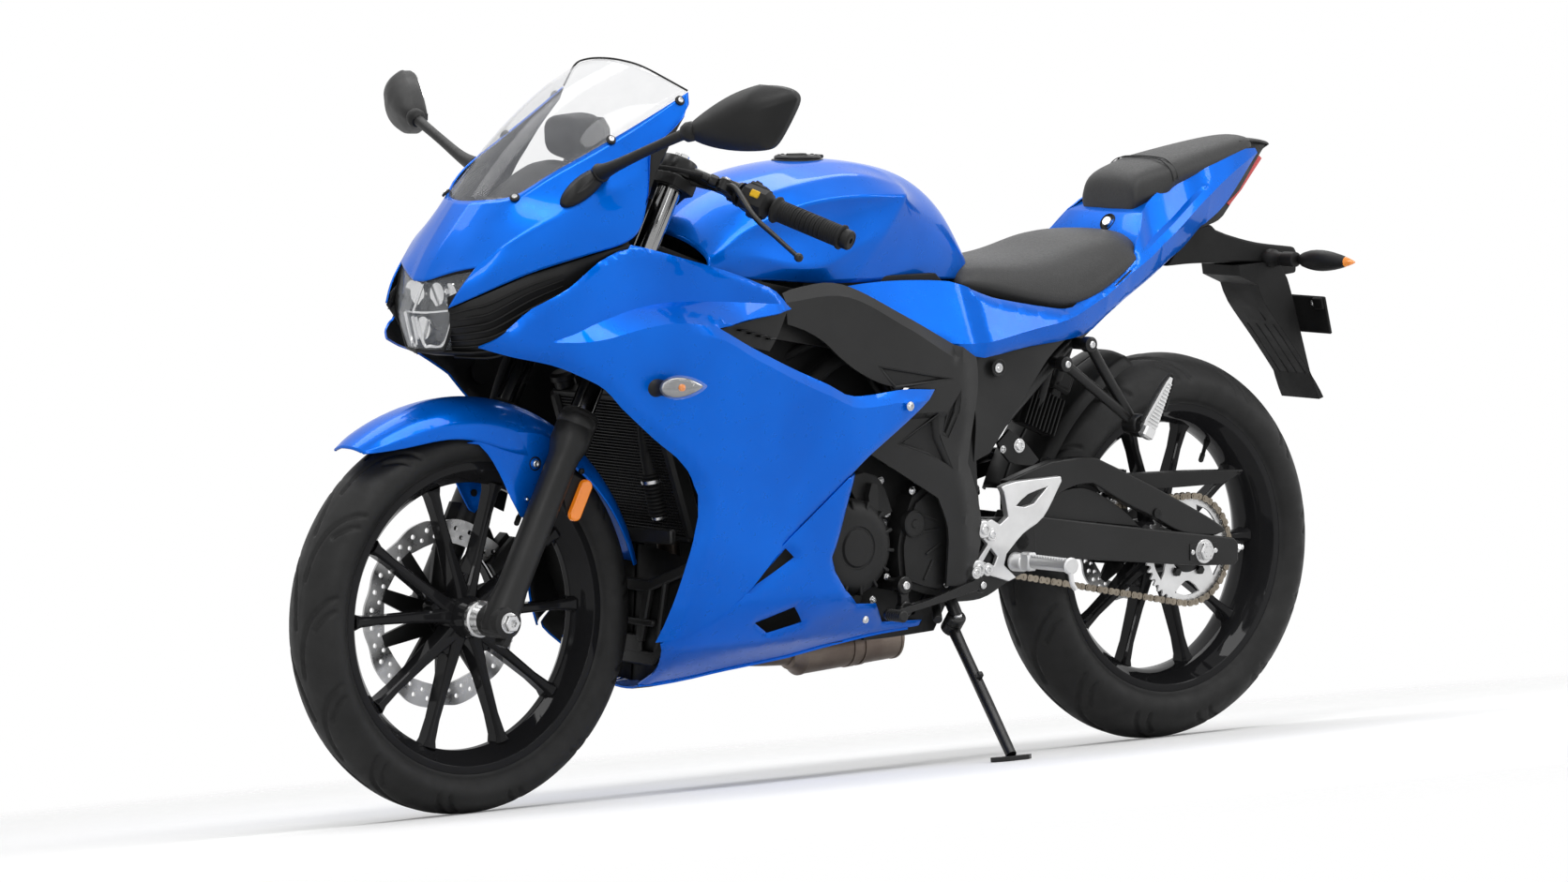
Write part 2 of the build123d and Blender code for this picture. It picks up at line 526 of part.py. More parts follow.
def inner_rows(rows, t):
    return tuple((x, tuple((max(y - t, 0), z) for y, z in half)) for x, half in rows)


def wide_shell(rows, t):
    """Wall of thickness t, open above, below and at both ends."""
    first, last = rows[0], rows[-1]
    inner = inner_rows(rows, t)
    reach = ((inner[0][0] + (1 if first[0] > last[0] else -1), inner[0][1]),) + inner + \
            ((inner[-1][0] - (1 if first[0] > last[0] else -1), inner[-1][1]),)
    up = tuple((x, ((half[0][0], half[0][1] + 30), (half[1][0], half[1][1] + 30)) + half[2:-1]
                + ((half[-1][0], half[-1][1] - 30),)) for x, half in reach)
    return cut(stations(rows), stations(up))


tail_shell = wide_shell(TAIL, 4) & plate(TAIL_OUTLINE, -240, 240)
tail_shell = cut(tail_shell, node_frame, subframe, seat, pillion, tank)
deck = cut(stations(inner_rows(tuple((x, h) for x, h in TAIL[3:]), 4)) & plate(
    ((128, 810), (104, 838), (-57, 834), (-160, 912), (-240, 930), (-236, 936), (-150, 919), (-50, 841), (106, 842), (131, 812)), -240, 240), subframe, pillion, seat)
node("tail_cowl", [s for s in solids(tail_shell, deck) if s.volume > 2000])
lamp = plate(((-236, 934), (-170, 918), (-62, 833), (-72, 829), (-182, 912), (-238, 929)), -30, 30)
lamp = cut(lamp, *NODES["tail_cowl"])
node("tail_light", [s for s in solids(lamp) if s.volume > 500])

HOLDER_ARM = ((-20, 800), (-60, 826), (-100, 812), (-202, 788), (-295, 776), (-341, 752), (-295, 723), (-162, 700), (-90, 742))
HOLDER_FLAP = ((-289, 723), (-289, 700), (-348, 577), (-365, 528), (-350, 516), (-286, 549), (-224, 619), (-162, 696), (-200, 714))
holder = fuse(plate(HOLDER_ARM, -32, 32), plate(HOLDER_FLAP, -60, 60), plate(((-20, 812), (-20, 832), (-70, 838), (-70, 800)), -30, 30))
PLATE_TOP, PLATE_LOW = V(-312, 0, 642), V(-364, 0, 560)      # centre line of the number plate carrier
PLATE_DOWN = (PLATE_LOW - PLATE_TOP).normalized()
PLATE_OUT = V(PLATE_DOWN.Z, 0, -PLATE_DOWN.X)
PLATE_MID = PLATE_TOP + PLATE_DOWN * 30
PLATE_PITCH, PLATE_HOLE_R = 140.0, 3.5
plate_back = plate([(p.X, p.Z) for p in (PLATE_TOP, PLATE_LOW, PLATE_LOW - PLATE_OUT * 5, PLATE_TOP - PLATE_OUT * 5)], -95, 95)
for side in (1, -1):
    hole = PLATE_MID + Y * side * PLATE_PITCH / 2
    plate_back = plate_back - rod(hole - PLATE_OUT * 9, hole + PLATE_OUT * 9, PLATE_HOLE_R)
node("plate_holder", cut(fuse(holder, plate_back), subframe, *NODES["tail_cowl"], *NODES["tail_light"]))

# ------------------------------------------------------------ body panels
BODY = (
    (1440, ((0, 870), (95, 862), (112, 720), (100, 600), (90, 450), (70, 300), (40, 190))),
    (1300, ((0, 870), (150, 862), (188, 720), (192, 600), (180, 450), (140, 300), (60, 190))),
    (1170, ((0, 870), (172, 862), (214, 720), (214, 600), (206, 450), (180, 300), (100, 190))),
    (1050, ((0, 870), (180, 862), (228, 720), (228, 600), (218, 450), (196, 300), (150, 190))),
    (900, ((0, 870), (184, 862), (230, 720), (230, 600), (224, 450), (210, 300), (165, 190))),
    (780, ((0, 870), (180, 862), (222, 720), (226, 600), (224, 450), (212, 300), (170, 190))),
    (580, ((0, 870), (160, 862), (190, 720), (198, 600), (200, 450), (195, 300), (165, 190))),
)
SIDE_OUTLINE = ((1172, 833), (1234, 810), (1291, 774), (1347, 747), (1380, 718), (1411, 691), (1369, 677),
                (1321, 665), (1281, 648), (1242, 627), (1215, 600), (1158, 551), (1112, 515), (1088, 480),
                (1079, 452), (1081, 411), (1093, 356), (1108, 295), (1114, 246), (1098, 250), (1042, 277),
                (1013, 297), (982, 323), (930, 384), (889, 417), (812, 476), (765, 509), (668, 564),
                (617, 597), (692, 601), (796, 597), (845, 616), (921, 646), (997, 680), (1051, 709),
                (1000, 718), (917, 726), (898, 730), (922, 756), (954, 770), (1004, 788), (1070, 807), (1137, 825))
BELLY_OUTLINE = ((1104, 243), (1066, 190), (1060, 168), (1018, 172), (943, 186), (828, 200), (763, 214), (677, 228),
                 (590, 233), (593, 242), (683, 246), (730, 281), (773, 284), (805, 307), (829, 337), (837, 359),
                 (826, 386), (813, 427), (794, 482), (812, 476), (889, 417), (930, 384), (982, 323), (1013, 297),
                 (1042, 277), (1098, 250))
SIDE_HOLES = (((986, 321), (919, 380), (903, 364), (959, 333)), ((959, 265), (894, 288), (862, 261), (928, 247)))
body_shell = wide_shell(BODY, 4)
sides = cut(body_shell & plate(SIDE_OUTLINE, -250, 250), node_frame)
node("side_fairings", [s for s in solids(sides) if s.volume > 5000])

BELLY = (
    (1135, ((0, 500), (205, 499), (182, 300), (120, 215), (20, 166))),
    (1050, ((0, 500), (221, 499), (198, 300), (150, 222), (35, 166))),
    (900, ((0, 500), (226, 499), (212, 300), (166, 235), (70, 184))),
    (780, ((0, 500), (225, 499), (214, 300), (172, 248), (100, 204))),
    (585, ((0, 500), (200, 499), (196, 300), (170, 262), (120, 226))),
)
belly_inner = tuple((x, tuple((max(y - 4, 0), z + (4 if k == 4 else 0) + (30 if k < 2 else 0))
                              for k, (y, z) in enumerate(h))) for x, h in BELLY)
belly_inner = ((BELLY[0][0] + 1, belly_inner[0][1]),) + belly_inner + ((BELLY[-1][0] - 1, belly_inner[-1][1]),)
belly = cut(stations(BELLY), stations(belly_inner)) & plate(BELLY_OUTLINE, -250, 250)
for hole in SIDE_HOLES:
    belly = belly - plate(hole, 150, 250) - plate(hole, -250, -150)
belly = cut(belly, *NODES["side_fairings"], node_frame, exhaust, engine, *covers)
node("belly_pan", [s for s in solids(belly) if s.volume > 3000])


def panel(points, cells, wall):
    """Thin moulding: a surface of flat triangles, backed by the same surface
    pushed in by wall = (x, y towards the centre, z)."""
    out = [Vector(*p) for p in points]
    back = [p - V(wall[0], wall[1] * max(-1, min(1, p.Y / 40)), wall[2]) for p in out]
    tris = []
    for c in cells:
        tris += [(c[0], c[1], c[2])] + ([(c[0], c[2], c[3])] if len(c) == 4 else [])
    edges = {}
    for a, b, c in tris:
        for e in ((a, b), (b, c), (c, a)):
            edges[tuple(sorted(e))] = edges.get(tuple(sorted(e)), 0) + 1
    faces = [[g[k] for k in t] for t in tris for g in (out, back)]
    for (a, b), count in edges.items():
        if count == 1:
            faces += [(out[a], out[b], back[b]), (out[a], back[b], back[a])]
    solid = Solid(Shell([slab(f) for f in faces]))
    return solid if solid.volume > 0 else Solid(solid.wrapped.Reversed())


def grid_cells(rows, columns, first=0):
    return [(first + i * columns + j, first + (i + 1) * columns + j, first + (i + 1) * columns + j + 1,
             first + i * columns + j + 1) for i in range(rows - 1) for j in range(columns - 1)]


def sheet(rows, wall):
    """Panel through a grid of points."""
    return panel([p for row in rows for p in row], grid_cells(len(rows), len(rows[0])), wall)


def mirrored(row):
    """Row from the centre outwards, completed on the other side."""
    return [(x, -y, z) for x, y, z in reversed(row) if y > 0] + list(row)


NOSE_TOP = (
    ((1434, 0, 783), (1424, 45, 797), (1399, 92, 806), (1437, 77, 747)),
    ((1395, 0, 842), (1385, 58, 852), (1352, 116, 845), (1388, 106, 771)),
    ((1352, 0, 893), (1322, 83, 902), (1275, 140, 880), (1313, 140, 804)),
)
NOSE_SIDE = (
    ((1322, 83, 902), (1275, 140, 880), (1313, 140, 804)),
    ((1256, 112, 944), (1220, 160, 905), (1228, 163, 826)),
    ((1182, 128, 980), (1155, 170, 918), (1172, 176, 839)),
    ((1107, 142, 1022), (1126, 164, 970), (1152, 173, 880)),
    ((1057, 151, 1050), (1070, 158, 1010), (1166, 166, 940)),
)
nose_points = [p for r in NOSE_TOP for p in mirrored(r)]
nose_cells = grid_cells(3, 7)
for sign, root in ((1, (18, 19, 20)), (-1, (16, 15, 14))):
    last = list(root)
    for row in NOSE_SIDE[1:]:
        here = list(range(len(nose_points), len(nose_points) + 3))
        nose_points += [(x, sign * y, z) for x, y, z in row]
        nose_cells += [(last[k], here[k], here[k + 1], last[k + 1]) for k in range(2)]
        last = here
node("nose_cowl", cut(panel(nose_points, nose_cells, (2, 3.5, 2)), node_frame))

SCREEN = (
    ((1352, 0, 895), (1340, 45, 898), (1322, 83, 904)),
    ((1296, 0, 962), (1284, 62, 955), (1256, 108, 948)),
    ((1228, 0, 1024), (1212, 74, 1014), (1182, 124, 984)),
    ((1160, 0, 1070), (1145, 78, 1060), (1107, 138, 1026)),
    ((1094, 0, 1099), (1082, 80, 1088), (1057, 147, 1054)),
)
screen = sheet([mirrored(r) for r in SCREEN], (2, 0, 3))
node("windscreen", [s for s in solids(cut(screen, *NODES["nose_cowl"])) if s.volume > 5000])

lamp_rows = []
for z, front in ((797, ((1425, 0), (1412, 50), (1384, 84), (1320, 88))),
                 (745, ((1428, 0), (1420, 45), (1404, 66), (1320, 74))),
                 (684, ((1416, 0), (1412, 34), (1392, 44), (1330, 46)))):
    lamp_rows.append([(x, -y, z) for x, y in reversed(front) if y > 0] + [(x, y, z) for x, y in front])
headlight = cut(skin(lamp_rows), *NODES["nose_cowl"], node_frame)
node("headlight", max(solids(headlight), key=lambda s: s.volume))

INFILL = (
    ((1434, 80, 744), (1414, 42, 690), (1404, 60, 676)),
    ((1386, 108, 768), (1378, 100, 712), (1368, 100, 676)),
    ((1311, 141, 800), (1320, 128, 748), (1322, 132, 690)),
    ((1228, 160, 822), (1232, 150, 800), (1240, 146, 760)),
)
infill_l = sheet(INFILL, (2, 3, 0))
chin = sheet([mirrored(r) for r in (((1040, 0, 300), (1046, 90, 300), (1060, 205, 300)),
                                    ((1040, 0, 240), (1046, 80, 240), (1062, 190, 240)),
                                    ((1046, 0, 176), (1050, 30, 176), (1058, 60, 176)))], (4, 0, 0))
node("inner_fairing", cut(fuse(*both(infill_l)), *NODES["nose_cowl"], *NODES["headlight"], *NODES["side_fairings"], node_frame),
     max(solids(cut(chin, *NODES["belly_pan"], *NODES["side_fairings"])), key=lambda s: s.volume))

panel = fuse(Solid.make_box(30, 150, 84, Plane(origin=V(1130, -75, 925), x_dir=(0.9, 0, 0.42), z_dir=(-0.42, 0, 0.9))),
             rod((1160, 0, 940), (1205, 0, 815), 10))
node("instrument_panel", cut(panel, node_frame))

mirror_rows = []
MIRROR = ((1191, 335, (1012, 994)), (1176, 380, (1040, 984)), (1152, 430, (1066, 980)), (1130, 468, (1072, 990)), (1118, 486, (1062, 1020)))
for x, y, (top, low) in MIRROR:
    mid = (top + low) / 2
    mirror_rows.append([(x + 4, y, top), (x + 30, y, mid + 6), (x + 4, y, low), (x - 12, y, low + 6), (x - 12, y, top - 6)])
mirror_l = skin(mirror_rows)
stalk_l = pipe(((1236, 150, 928), (1222, 240, 968), (1196, 340, 1003)), 9, 30)
foot_l = rod((1262, 142, 916), (1204, 152, 940), 15)
mirror_l = cut(fuse(mirror_l, stalk_l, foot_l), *NODES["nose_cowl"])
mirror_l = max(solids(mirror_l), key=lambda s: s.volume)
node("mirrors", both(mirror_l))

front_sig = fuse(rod((1140, 205, 628), (1132, 245, 628), 13), rod((1158, 252, 629), (1105, 258, 627), 14))
rear_sig = fuse(rod((-210, 20, 757), (-222, 160, 757), 8), rod((-232, 152, 757), (-226, 215, 756), 15))
signals = [cut(front_sig, *NODES["side_fairings"]), cut(rear_sig, *NODES["plate_holder"])]
signals = [max(solids(s), key=lambda q: q.volume) for s in signals]
node("turn_signals", both(signals[0]), both(signals[1]))

# --------------------------------------------------------- pegs and controls
HANGER = ((512, 300), (525, 318), (500, 345), (516, 372), (500, 384), (469, 411), (470, 440), (368, 448), (361, 443),
          (410, 366), (424, 322), (448, 296))
hanger = cut(plate(HANGER, 150, 166), plate(((440, 402), (390, 412), (400, 436), (450, 430)), 140, 170))
peg = fuse(rod((430, 166, 324), (430, 200, 324), 14), rod((430, 196, 324), (433, 290, 326), 11))
node("rider_pegs", both(fuse(hanger, peg)))

BRACKET = ((322, 619), (272, 646), (165, 534))
br = fuse(rod((322, 112, 619), (322, 150, 619), 9), rod((272, 108, 652), (272, 150, 648), 9),
          rod((322, 146, 619), (178, 150, 520), 8), rod((272, 146, 648), (178, 150, 520), 8),
          rod((178, 140, 520), (178, 176, 520), 16), rod((180, 180, 516), (158, 186, 600), 10))
br = cut(br, subframe, node_frame, *NODES["tail_cowl"])
node("pillion_pegs", both(max(solids(br), key=lambda s: s.volume)))

shift = fuse(rod((660, 158, 300), (660, 176, 300), 14), rod((660, 170, 300), (655, 170, 268), 8), rod((655, 166, 268), (500, 166, 292), 6),
             rod((655, 170, 268), (700, 178, 262), 7), rod((700, 178, 262), (702, 220, 262), 8))
brake = fuse(rod((500, -166, 300), (640, -178, 262), 8), rod((640, -178, 262), (642, -215, 264), 9), rod((500, -150, 300), (500, -172, 300), 12))
node("foot_controls", cut(fuse(shift, rod((660, 120, 300), (660, 160, 300), 10)), *NODES["engine_covers"], engine, *NODES["rider_pegs"], *NODES["belly_pan"]),
     cut(brake, *NODES["rider_pegs"], node_frame, exhaust, *NODES["belly_pan"]))

# ---------------------------------------------------------------- side stand
leg = fuse(rod(stand_pivot - STAND_AXIS * 9.4, stand_pivot + STAND_AXIS * 9.4, 15), rod(stand_pivot + down_dir * 8, STAND_FOOT, 9))
leg = leg - rod(stand_pivot - STAND_AXIS * 20, stand_pivot + STAND_AXIS * 20, 6 + RUN)
lean_rad = radians(LEAN)
foot_plane = Plane(origin=world_to_bike(V(545, 308, -SHIFT_Z)), x_dir=(1, 0, 0), z_dir=(0, -sin(lean_rad), cos(lean_rad)))
foot = Solid.make_box(70, 44, 7, foot_plane)
node("side_stand", fuse(leg, foot))

# ---------------------------------------------------------------- placement
PLACE = Location((SHIFT_X, SHIFT_Y, SHIFT_Z)) * Location((0, 0, 0), (-LEAN, 0, 0))


def placed(point):
    """Bike frame point in the finished part's frame."""
    a = radians(LEAN)
    return V(point.X + SHIFT_X, point.Y * cos(a) + point.Z * sin(a) + SHIFT_Y,
             -point.Y * sin(a) + point.Z * cos(a) + SHIFT_Z)


os.makedirs("parts", exist_ok=True)
for name, shapes in NODES.items():
    moved = [s.moved(PLACE) for s in shapes]
    export_step(Compound(children=moved) if len(moved) > 1 else moved[0], f"parts/{name}.step")
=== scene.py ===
# %% [markdown]
# # A small faired sport bike
# The measured model is loaded first and stays fixed: it says where every axle,
# pipe and panel is. This lesson dresses it. Each step names a part of the real
# bike, says how it could be made, and then makes it in mesh code.

# %% Load the measured model
import math
from math import cos, hypot, pi, radians, sin

import bmesh
import bpy
import numpy as np
from mathutils import Matrix, Vector


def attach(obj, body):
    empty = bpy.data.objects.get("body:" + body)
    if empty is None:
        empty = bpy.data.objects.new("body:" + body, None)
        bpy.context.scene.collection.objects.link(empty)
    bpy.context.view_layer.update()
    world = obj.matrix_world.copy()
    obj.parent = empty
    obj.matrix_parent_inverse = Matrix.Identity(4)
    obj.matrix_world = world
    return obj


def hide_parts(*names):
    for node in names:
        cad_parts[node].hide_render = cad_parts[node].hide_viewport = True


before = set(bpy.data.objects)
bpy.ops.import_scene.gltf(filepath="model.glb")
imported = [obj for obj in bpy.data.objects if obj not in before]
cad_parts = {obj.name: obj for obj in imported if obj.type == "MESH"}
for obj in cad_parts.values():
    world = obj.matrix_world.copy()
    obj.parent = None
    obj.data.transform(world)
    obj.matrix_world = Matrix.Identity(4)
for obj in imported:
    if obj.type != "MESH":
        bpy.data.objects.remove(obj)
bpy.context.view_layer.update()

# %% [markdown]
# A bike is drawn upright, in millimetres, with x forward from the rear axle, y
# to its left and z up from the ground. It stands leaning 8 degrees on its side
# stand, so one matrix takes every point from the drawing to the shared frame.

# %% The lean
LEAN = radians(8)
SHIFT = Vector((-642.0, -145.0, 0.6))
MM = 0.001
PLACED = Matrix.Scale(MM, 4) @ Matrix.Translation(SHIFT) @ Matrix.Rotation(-LEAN, 4, "X")
FRONT, REAR = Vector((1360, 0, 290)), Vector((0, 0, 307))
RAKE, TRAIL_OFFSET = radians(27), 36
UP = Vector((-sin(RAKE), 0, cos(RAKE)))
AHEAD = Vector((cos(RAKE), 0, sin(RAKE)))
SIDE = Vector((0, 1, 0))
STEER_FOOT = FRONT - AHEAD * TRAIL_OFFSET
print("wheelbase", round((FRONT - REAR).x), "mm, lean 8 degrees")


def steer(s, n=0.0, y=0.0):
    """A point s along the steering axis, n ahead of it and y to the left."""
    return STEER_FOOT + UP * s + AHEAD * n + SIDE * y


# %% [markdown]
# Shader arithmetic reads best as arithmetic. This small class wraps a socket,
# and `a * b + 1` then adds the Math nodes. Any other node comes from `node`.

# %% Sockets that take part in sums
class Wire:
    def __init__(self, tree, socket):
        self.tree, self.socket = tree, socket

    def sum(self, operation, a, b):
        return self.tree.node("Math", {"operation": operation}, {0: a, 1: b})

    def __add__(self, other):
        return self.sum("ADD", self, other)

    def __mul__(self, other):
        return self.sum("MULTIPLY", self, other)

    def __pow__(self, other):
        return self.sum("POWER", self, other)


class Graph:
    """The nodes of a material or of the surround."""

    def __init__(self, owner):
        owner.use_nodes = True
        self.nodes, self.links = owner.node_tree.nodes, owner.node_tree.links

    def feed(self, socket, value):
        if isinstance(value, Wire):
            self.links.new(value.socket, socket)
        elif isinstance(value, tuple) and len(value) == 3 and socket.type == "RGBA":
            socket.default_value = (*value, 1)
        else:
            socket.default_value = value

    def node(self, kind, settings=None, inputs=None, output=0):
        """A node of a kind, its settings first and then its sockets."""
        n = self.nodes.new("ShaderNode" + kind)
        for key, value in (settings or {}).items():
            setattr(n, key, value)
        for key, value in (inputs or {}).items():
            self.feed(n.inputs[key], value)
        return Wire(self, n.outputs[output] if n.outputs else None)


class Finish(Graph):
    """A material under construction: a graph and its surface shader."""

    def __init__(self, name, **values):
        self.material = bpy.data.materials.new(name)
        super().__init__(self.material)
        print("finish", name)
        self.shader = next(n for n in self.nodes if n.type == "BSDF_PRINCIPLED")
        self.set(**values)

    def set(self, **values):
        """Socket values or wires, by name with _ for a space."""
        for key, value in values.items():
            self.feed(self.shader.inputs[key.replace("_", " ")], value)

    def place(self):
        return self.node("TexCoord", output=3)

    def noise(self, scale, detail, at=None):
        at = at or self.place()
        return self.node("TexNoise", None, {"Vector": at, "Scale": scale, "Detail": detail,
            "Roughness": 0.55})

    def spread(self, wire, low, high, to_low=0.0, to_high=1.0):
        return self.node("MapRange", {"clamp": True}, {0: wire, 1: low, 2: high, 3: to_low, 4: to_high})

    def blend(self, share, a, b):
        """Colour a where share is 0 and b where it is 1."""
        return self.node("Mix", {"data_type": "RGBA"}, {0: share, 6: a, 7: b}, 2)

    def bump(self, height, strength=0.2, depth=0.001):
        self.set(Normal=self.node("Bump", None, {"Height": height, "Strength": strength,
            "Distance": depth}))


# %% [markdown]
# ## Paint and other finishes
# Body paint is a coloured base under clear lacquer. The base holds very fine
# flakes, and lacquer always keeps a slight waviness that softens reflections.

# %% Lacquered paint
def lacquer(name, deep, bright, flake=0.25, coat=1.0):
    f = Finish(name, Metallic=flake, Coat_Weight=coat, Coat_Roughness=0.035, Coat_IOR=1.33,
        Specular_IOR_Level=0.0)
    drift = f.noise(6, 2)
    flakes = f.node("TexVoronoi", {"feature": "F1"}, {"Vector": f.place(), "Scale": 1400.0}, 1)
    glint = f.node("SeparateColor", None, {0: flakes})
    share = f.spread(drift, 0.35, 0.65, 0.3, 0.6) + glint * 0.06
    f.set(Base_Color=f.blend(share, deep, bright))
    f.set(Roughness=f.spread(f.noise(55, 4), 0.3, 0.7, 0.26, 0.34))
    f.bump(f.noise(90, 1), 0.02, 0.0003)
    return f.material


BLUE = lacquer("blue_lacquer", (0.0, 0.088, 0.50), (0.0, 0.17, 0.84), flake=0.4, coat=0.55)
GLOSS_BLACK = lacquer("black_wheel_lacquer", (0.010, 0.010, 0.011), (0.020, 0.020, 0.021), 0.0, 0.5)


# %% [markdown]
# Moulded plastic has a spark-eroded grain. It scatters light, so its black is
# never quite black, and rubbed areas turn a little smoother.

# %% Moulded plastic and powder coat
def moulded(name, dark, light, grain=900.0, rough=(0.42, 0.58), strength=0.25, metallic=0.0, coat=0.0):
    f = Finish(name, Metallic=metallic, Coat_Weight=coat, Coat_Roughness=0.2, Specular_IOR_Level=0.26)
    rubbed = f.noise(9, 4)
    f.set(Base_Color=f.blend(f.spread(rubbed, 0.35, 0.7), dark, light))
    f.set(Roughness=f.spread(f.noise(24, 5), 0.3, 0.7, rough[0], rough[1]))
    f.bump(f.noise(grain, 2), strength, 0.0003)
    return f.material


def grey(v):
    return (v, v, v)


BLACK = moulded("black_moulded", grey(0.0045), grey(0.009))
# The next black is darker than the black moulding: painted shade, for insides, undersides, backings and
# parts that sit in shade.
SHADE_DARKENED_BLACK = moulded("shade_darkened_black_moulded", grey(0.002), grey(0.004), rough=(0.5, 0.65))
SATIN = moulded("satin_dark_grey", grey(0.014), grey(0.022), 700.0, (0.36, 0.48), 0.18)
COATED = moulded("black_powder_coat", grey(0.006), grey(0.011), 420.0, (0.3, 0.42), 0.3, coat=0.1)
CASTING = moulded("black_engine_casting", grey(0.010), grey(0.019), 260.0, (0.38, 0.55), 0.5, 0.2)
GRIP = moulded("grip_rubber", grey(0.005), grey(0.010), 600.0, (0.6, 0.75), 0.4)
DIAL = moulded("dash_plastic", grey(0.004), grey(0.007), 120.0, (0.5, 0.6), 0.05)
YELLOW = moulded("yellow_button", (0.75, 0.42, 0.01), (0.85, 0.52, 0.02), 500.0, (0.35, 0.45), 0.1)


# %% [markdown]
# Bare metals differ in how they were finished: zinc plate is even and bright,
# ground steel shows rings, cast alloy is pearly, and a hot exhaust turns brown.

# %% Bare metals
def metal(name, dark, light, rough=(0.22, 0.36), grain=180.0, strength=0.12, stretch=(1, 1, 1),
        metallic=1.0):
    f = Finish(name, Metallic=metallic)
    at = f.node("Mapping", None, {"Vector": f.place(), "Scale": stretch})
    f.set(Base_Color=f.blend(f.spread(f.noise(14, 5), 0.3, 0.7), dark, light))
    f.set(Roughness=f.spread(f.noise(grain, 3, at=at), 0.3, 0.7, rough[0], rough[1]))
    f.bump(f.noise(grain * 3, 2, at=at), strength, 0.0003)
    return f.material


ZINC = metal("zinc_plate", grey(0.55), grey(0.72))
STEEL = metal("ground_steel", grey(0.34), grey(0.5), (0.24, 0.38), 90.0, 0.2)
ALLOY = metal("silver_cast_alloy", grey(0.62), grey(0.78), (0.34, 0.48), 320.0, 0.3, metallic=0.85)
CHROME_DARK = metal("dark_hard_chrome", grey(0.24), grey(0.34), (0.08, 0.14), 200.0, 0.02)
CHAIN = metal("chain_steel", (0.17, 0.145, 0.115), (0.32, 0.28, 0.225), (0.3, 0.5), 260.0, 0.2)
PIPE = metal("heat_browned_steel", (0.13, 0.10, 0.085), (0.24, 0.20, 0.17), (0.32, 0.5), 60.0, 0.2,
    (1, 6, 6))
MIRROR = metal("mirror_glass", grey(0.75), grey(0.8), (0.02, 0.04), 30.0, 0.01)
LAMP_SHELL = metal("lamp_shell", grey(0.05), grey(0.12), (0.15, 0.3), 60.0, 0.05)
REFLECTOR = metal("lamp_reflector", grey(0.75), grey(0.85), (0.08, 0.16), 40.0, 0.04)


# %% [markdown]
# Tyre rubber is matt with faint swirls. Seat vinyl carries a pebble grain.

# %% Rubber and seat cover
def rubber():
    f = Finish("tyre_rubber", Specular_IOR_Level=0.3)
    dust = f.noise(12, 5)
    f.set(Base_Color=f.blend(f.spread(dust, 0.35, 0.75), grey(0.008), grey(0.015)))
    f.set(Roughness=f.spread(f.noise(40, 4), 0.3, 0.7, 0.52, 0.68))
    f.bump(f.noise(700, 3), 0.25, 0.0003)
    return f.material


def vinyl():
    f = Finish("seat_vinyl", Sheen_Weight=0.08, Specular_IOR_Level=0.4)
    pebbles = f.node("TexVoronoi", {"feature": "F1"}, {"Vector": f.place(), "Scale": 620.0}, 0)
    creases = f.noise(260, 4)
    f.set(Base_Color=f.blend(f.spread(f.noise(7, 4), 0.3, 0.7), grey(0.012), grey(0.02)))
    f.set(Roughness=f.spread(creases, 0.3, 0.7, 0.46, 0.6))
    f.bump(pebbles * 0.7 + creases * 0.5, 0.35, 0.0006)
    return f.material


RUBBER, VINYL = rubber(), vinyl()
THREAD = moulded("seat_thread", grey(0.02), grey(0.035), 1500.0, (0.6, 0.7), 0.3)


# %% [markdown]
# Clear parts show mostly what is behind them, and turn mirror-like only where
# they are seen edge-on. Layer Weight gives that edge, and it feeds Alpha.

# %% Clear and coloured lenses
def lens(name, tint, through, edge, glow=None):
    f = Finish(name, Base_Color=tint, Coat_Weight=1.0, Coat_Roughness=0.02)
    rim = f.node("LayerWeight", None, {"Blend": 0.35}, 1)
    haze = f.spread(f.noise(30, 3), 0.3, 0.7, -0.01, 0.02)
    f.set(Alpha=(rim ** 2.5) * (edge - through) + (haze + through))
    f.set(Roughness=f.spread(f.noise(70, 2), 0.3, 0.7, 0.03, 0.06))
    if glow:
        f.set(Emission_Color=glow, Emission_Strength=0.25)
    return f.material


SCREEN_CLEAR = lens("clear_screen", (0.5, 0.51, 0.54), 0.11, 0.36)
LAMP_CLEAR = lens("clear_lamp_lens", (0.55, 0.58, 0.62), 0.09, 0.7)
AMBER = lens("amber_lens", (0.9, 0.27, 0.01), 0.82, 0.98, glow=(0.9, 0.25, 0.0))
RED = lens("red_lens", (0.55, 0.01, 0.01), 0.85, 0.98, glow=(0.5, 0.0, 0.0))
SMOKE = lens("dial_glass", (0.01, 0.01, 0.012), 0.75, 0.95)

# %% [markdown]
# ## Shaping tools
# Most bike parts come from five workshop moves: a turned part, a bent tube, a
# cut plate, a skin draped over a body line, and a cage that is rounded off.
# `Shape` collects such moves in millimetres and then becomes one piece. Each
# cell below adds a few moves to the bench before it.

# %% Smooth lines through points
def between(p0, p1, p2, p3, t):
    """Catmull-Rom: a smooth step from p1 to p2."""
    return 0.5 * ((2 * p1) + (p2 - p0) * t + (2 * p0 - 5 * p1 + 4 * p2 - p3) * t * t
                  + (3 * p1 - p0 - 3 * p2 + p3) * t ** 3)


def flow(points, steps=6):
    """A smooth open line through the points."""
    p = [Vector(q) for q in points]
    p = [2 * p[0] - p[1]] + p + [2 * p[-1] - p[-2]]
    out = [between(p[i - 1], p[i], p[i + 1], p[i + 2], k / steps)
           for i in range(1, len(p) - 2) for k in range(steps)]
    return out + [p[-2]]


REACH = 14.0


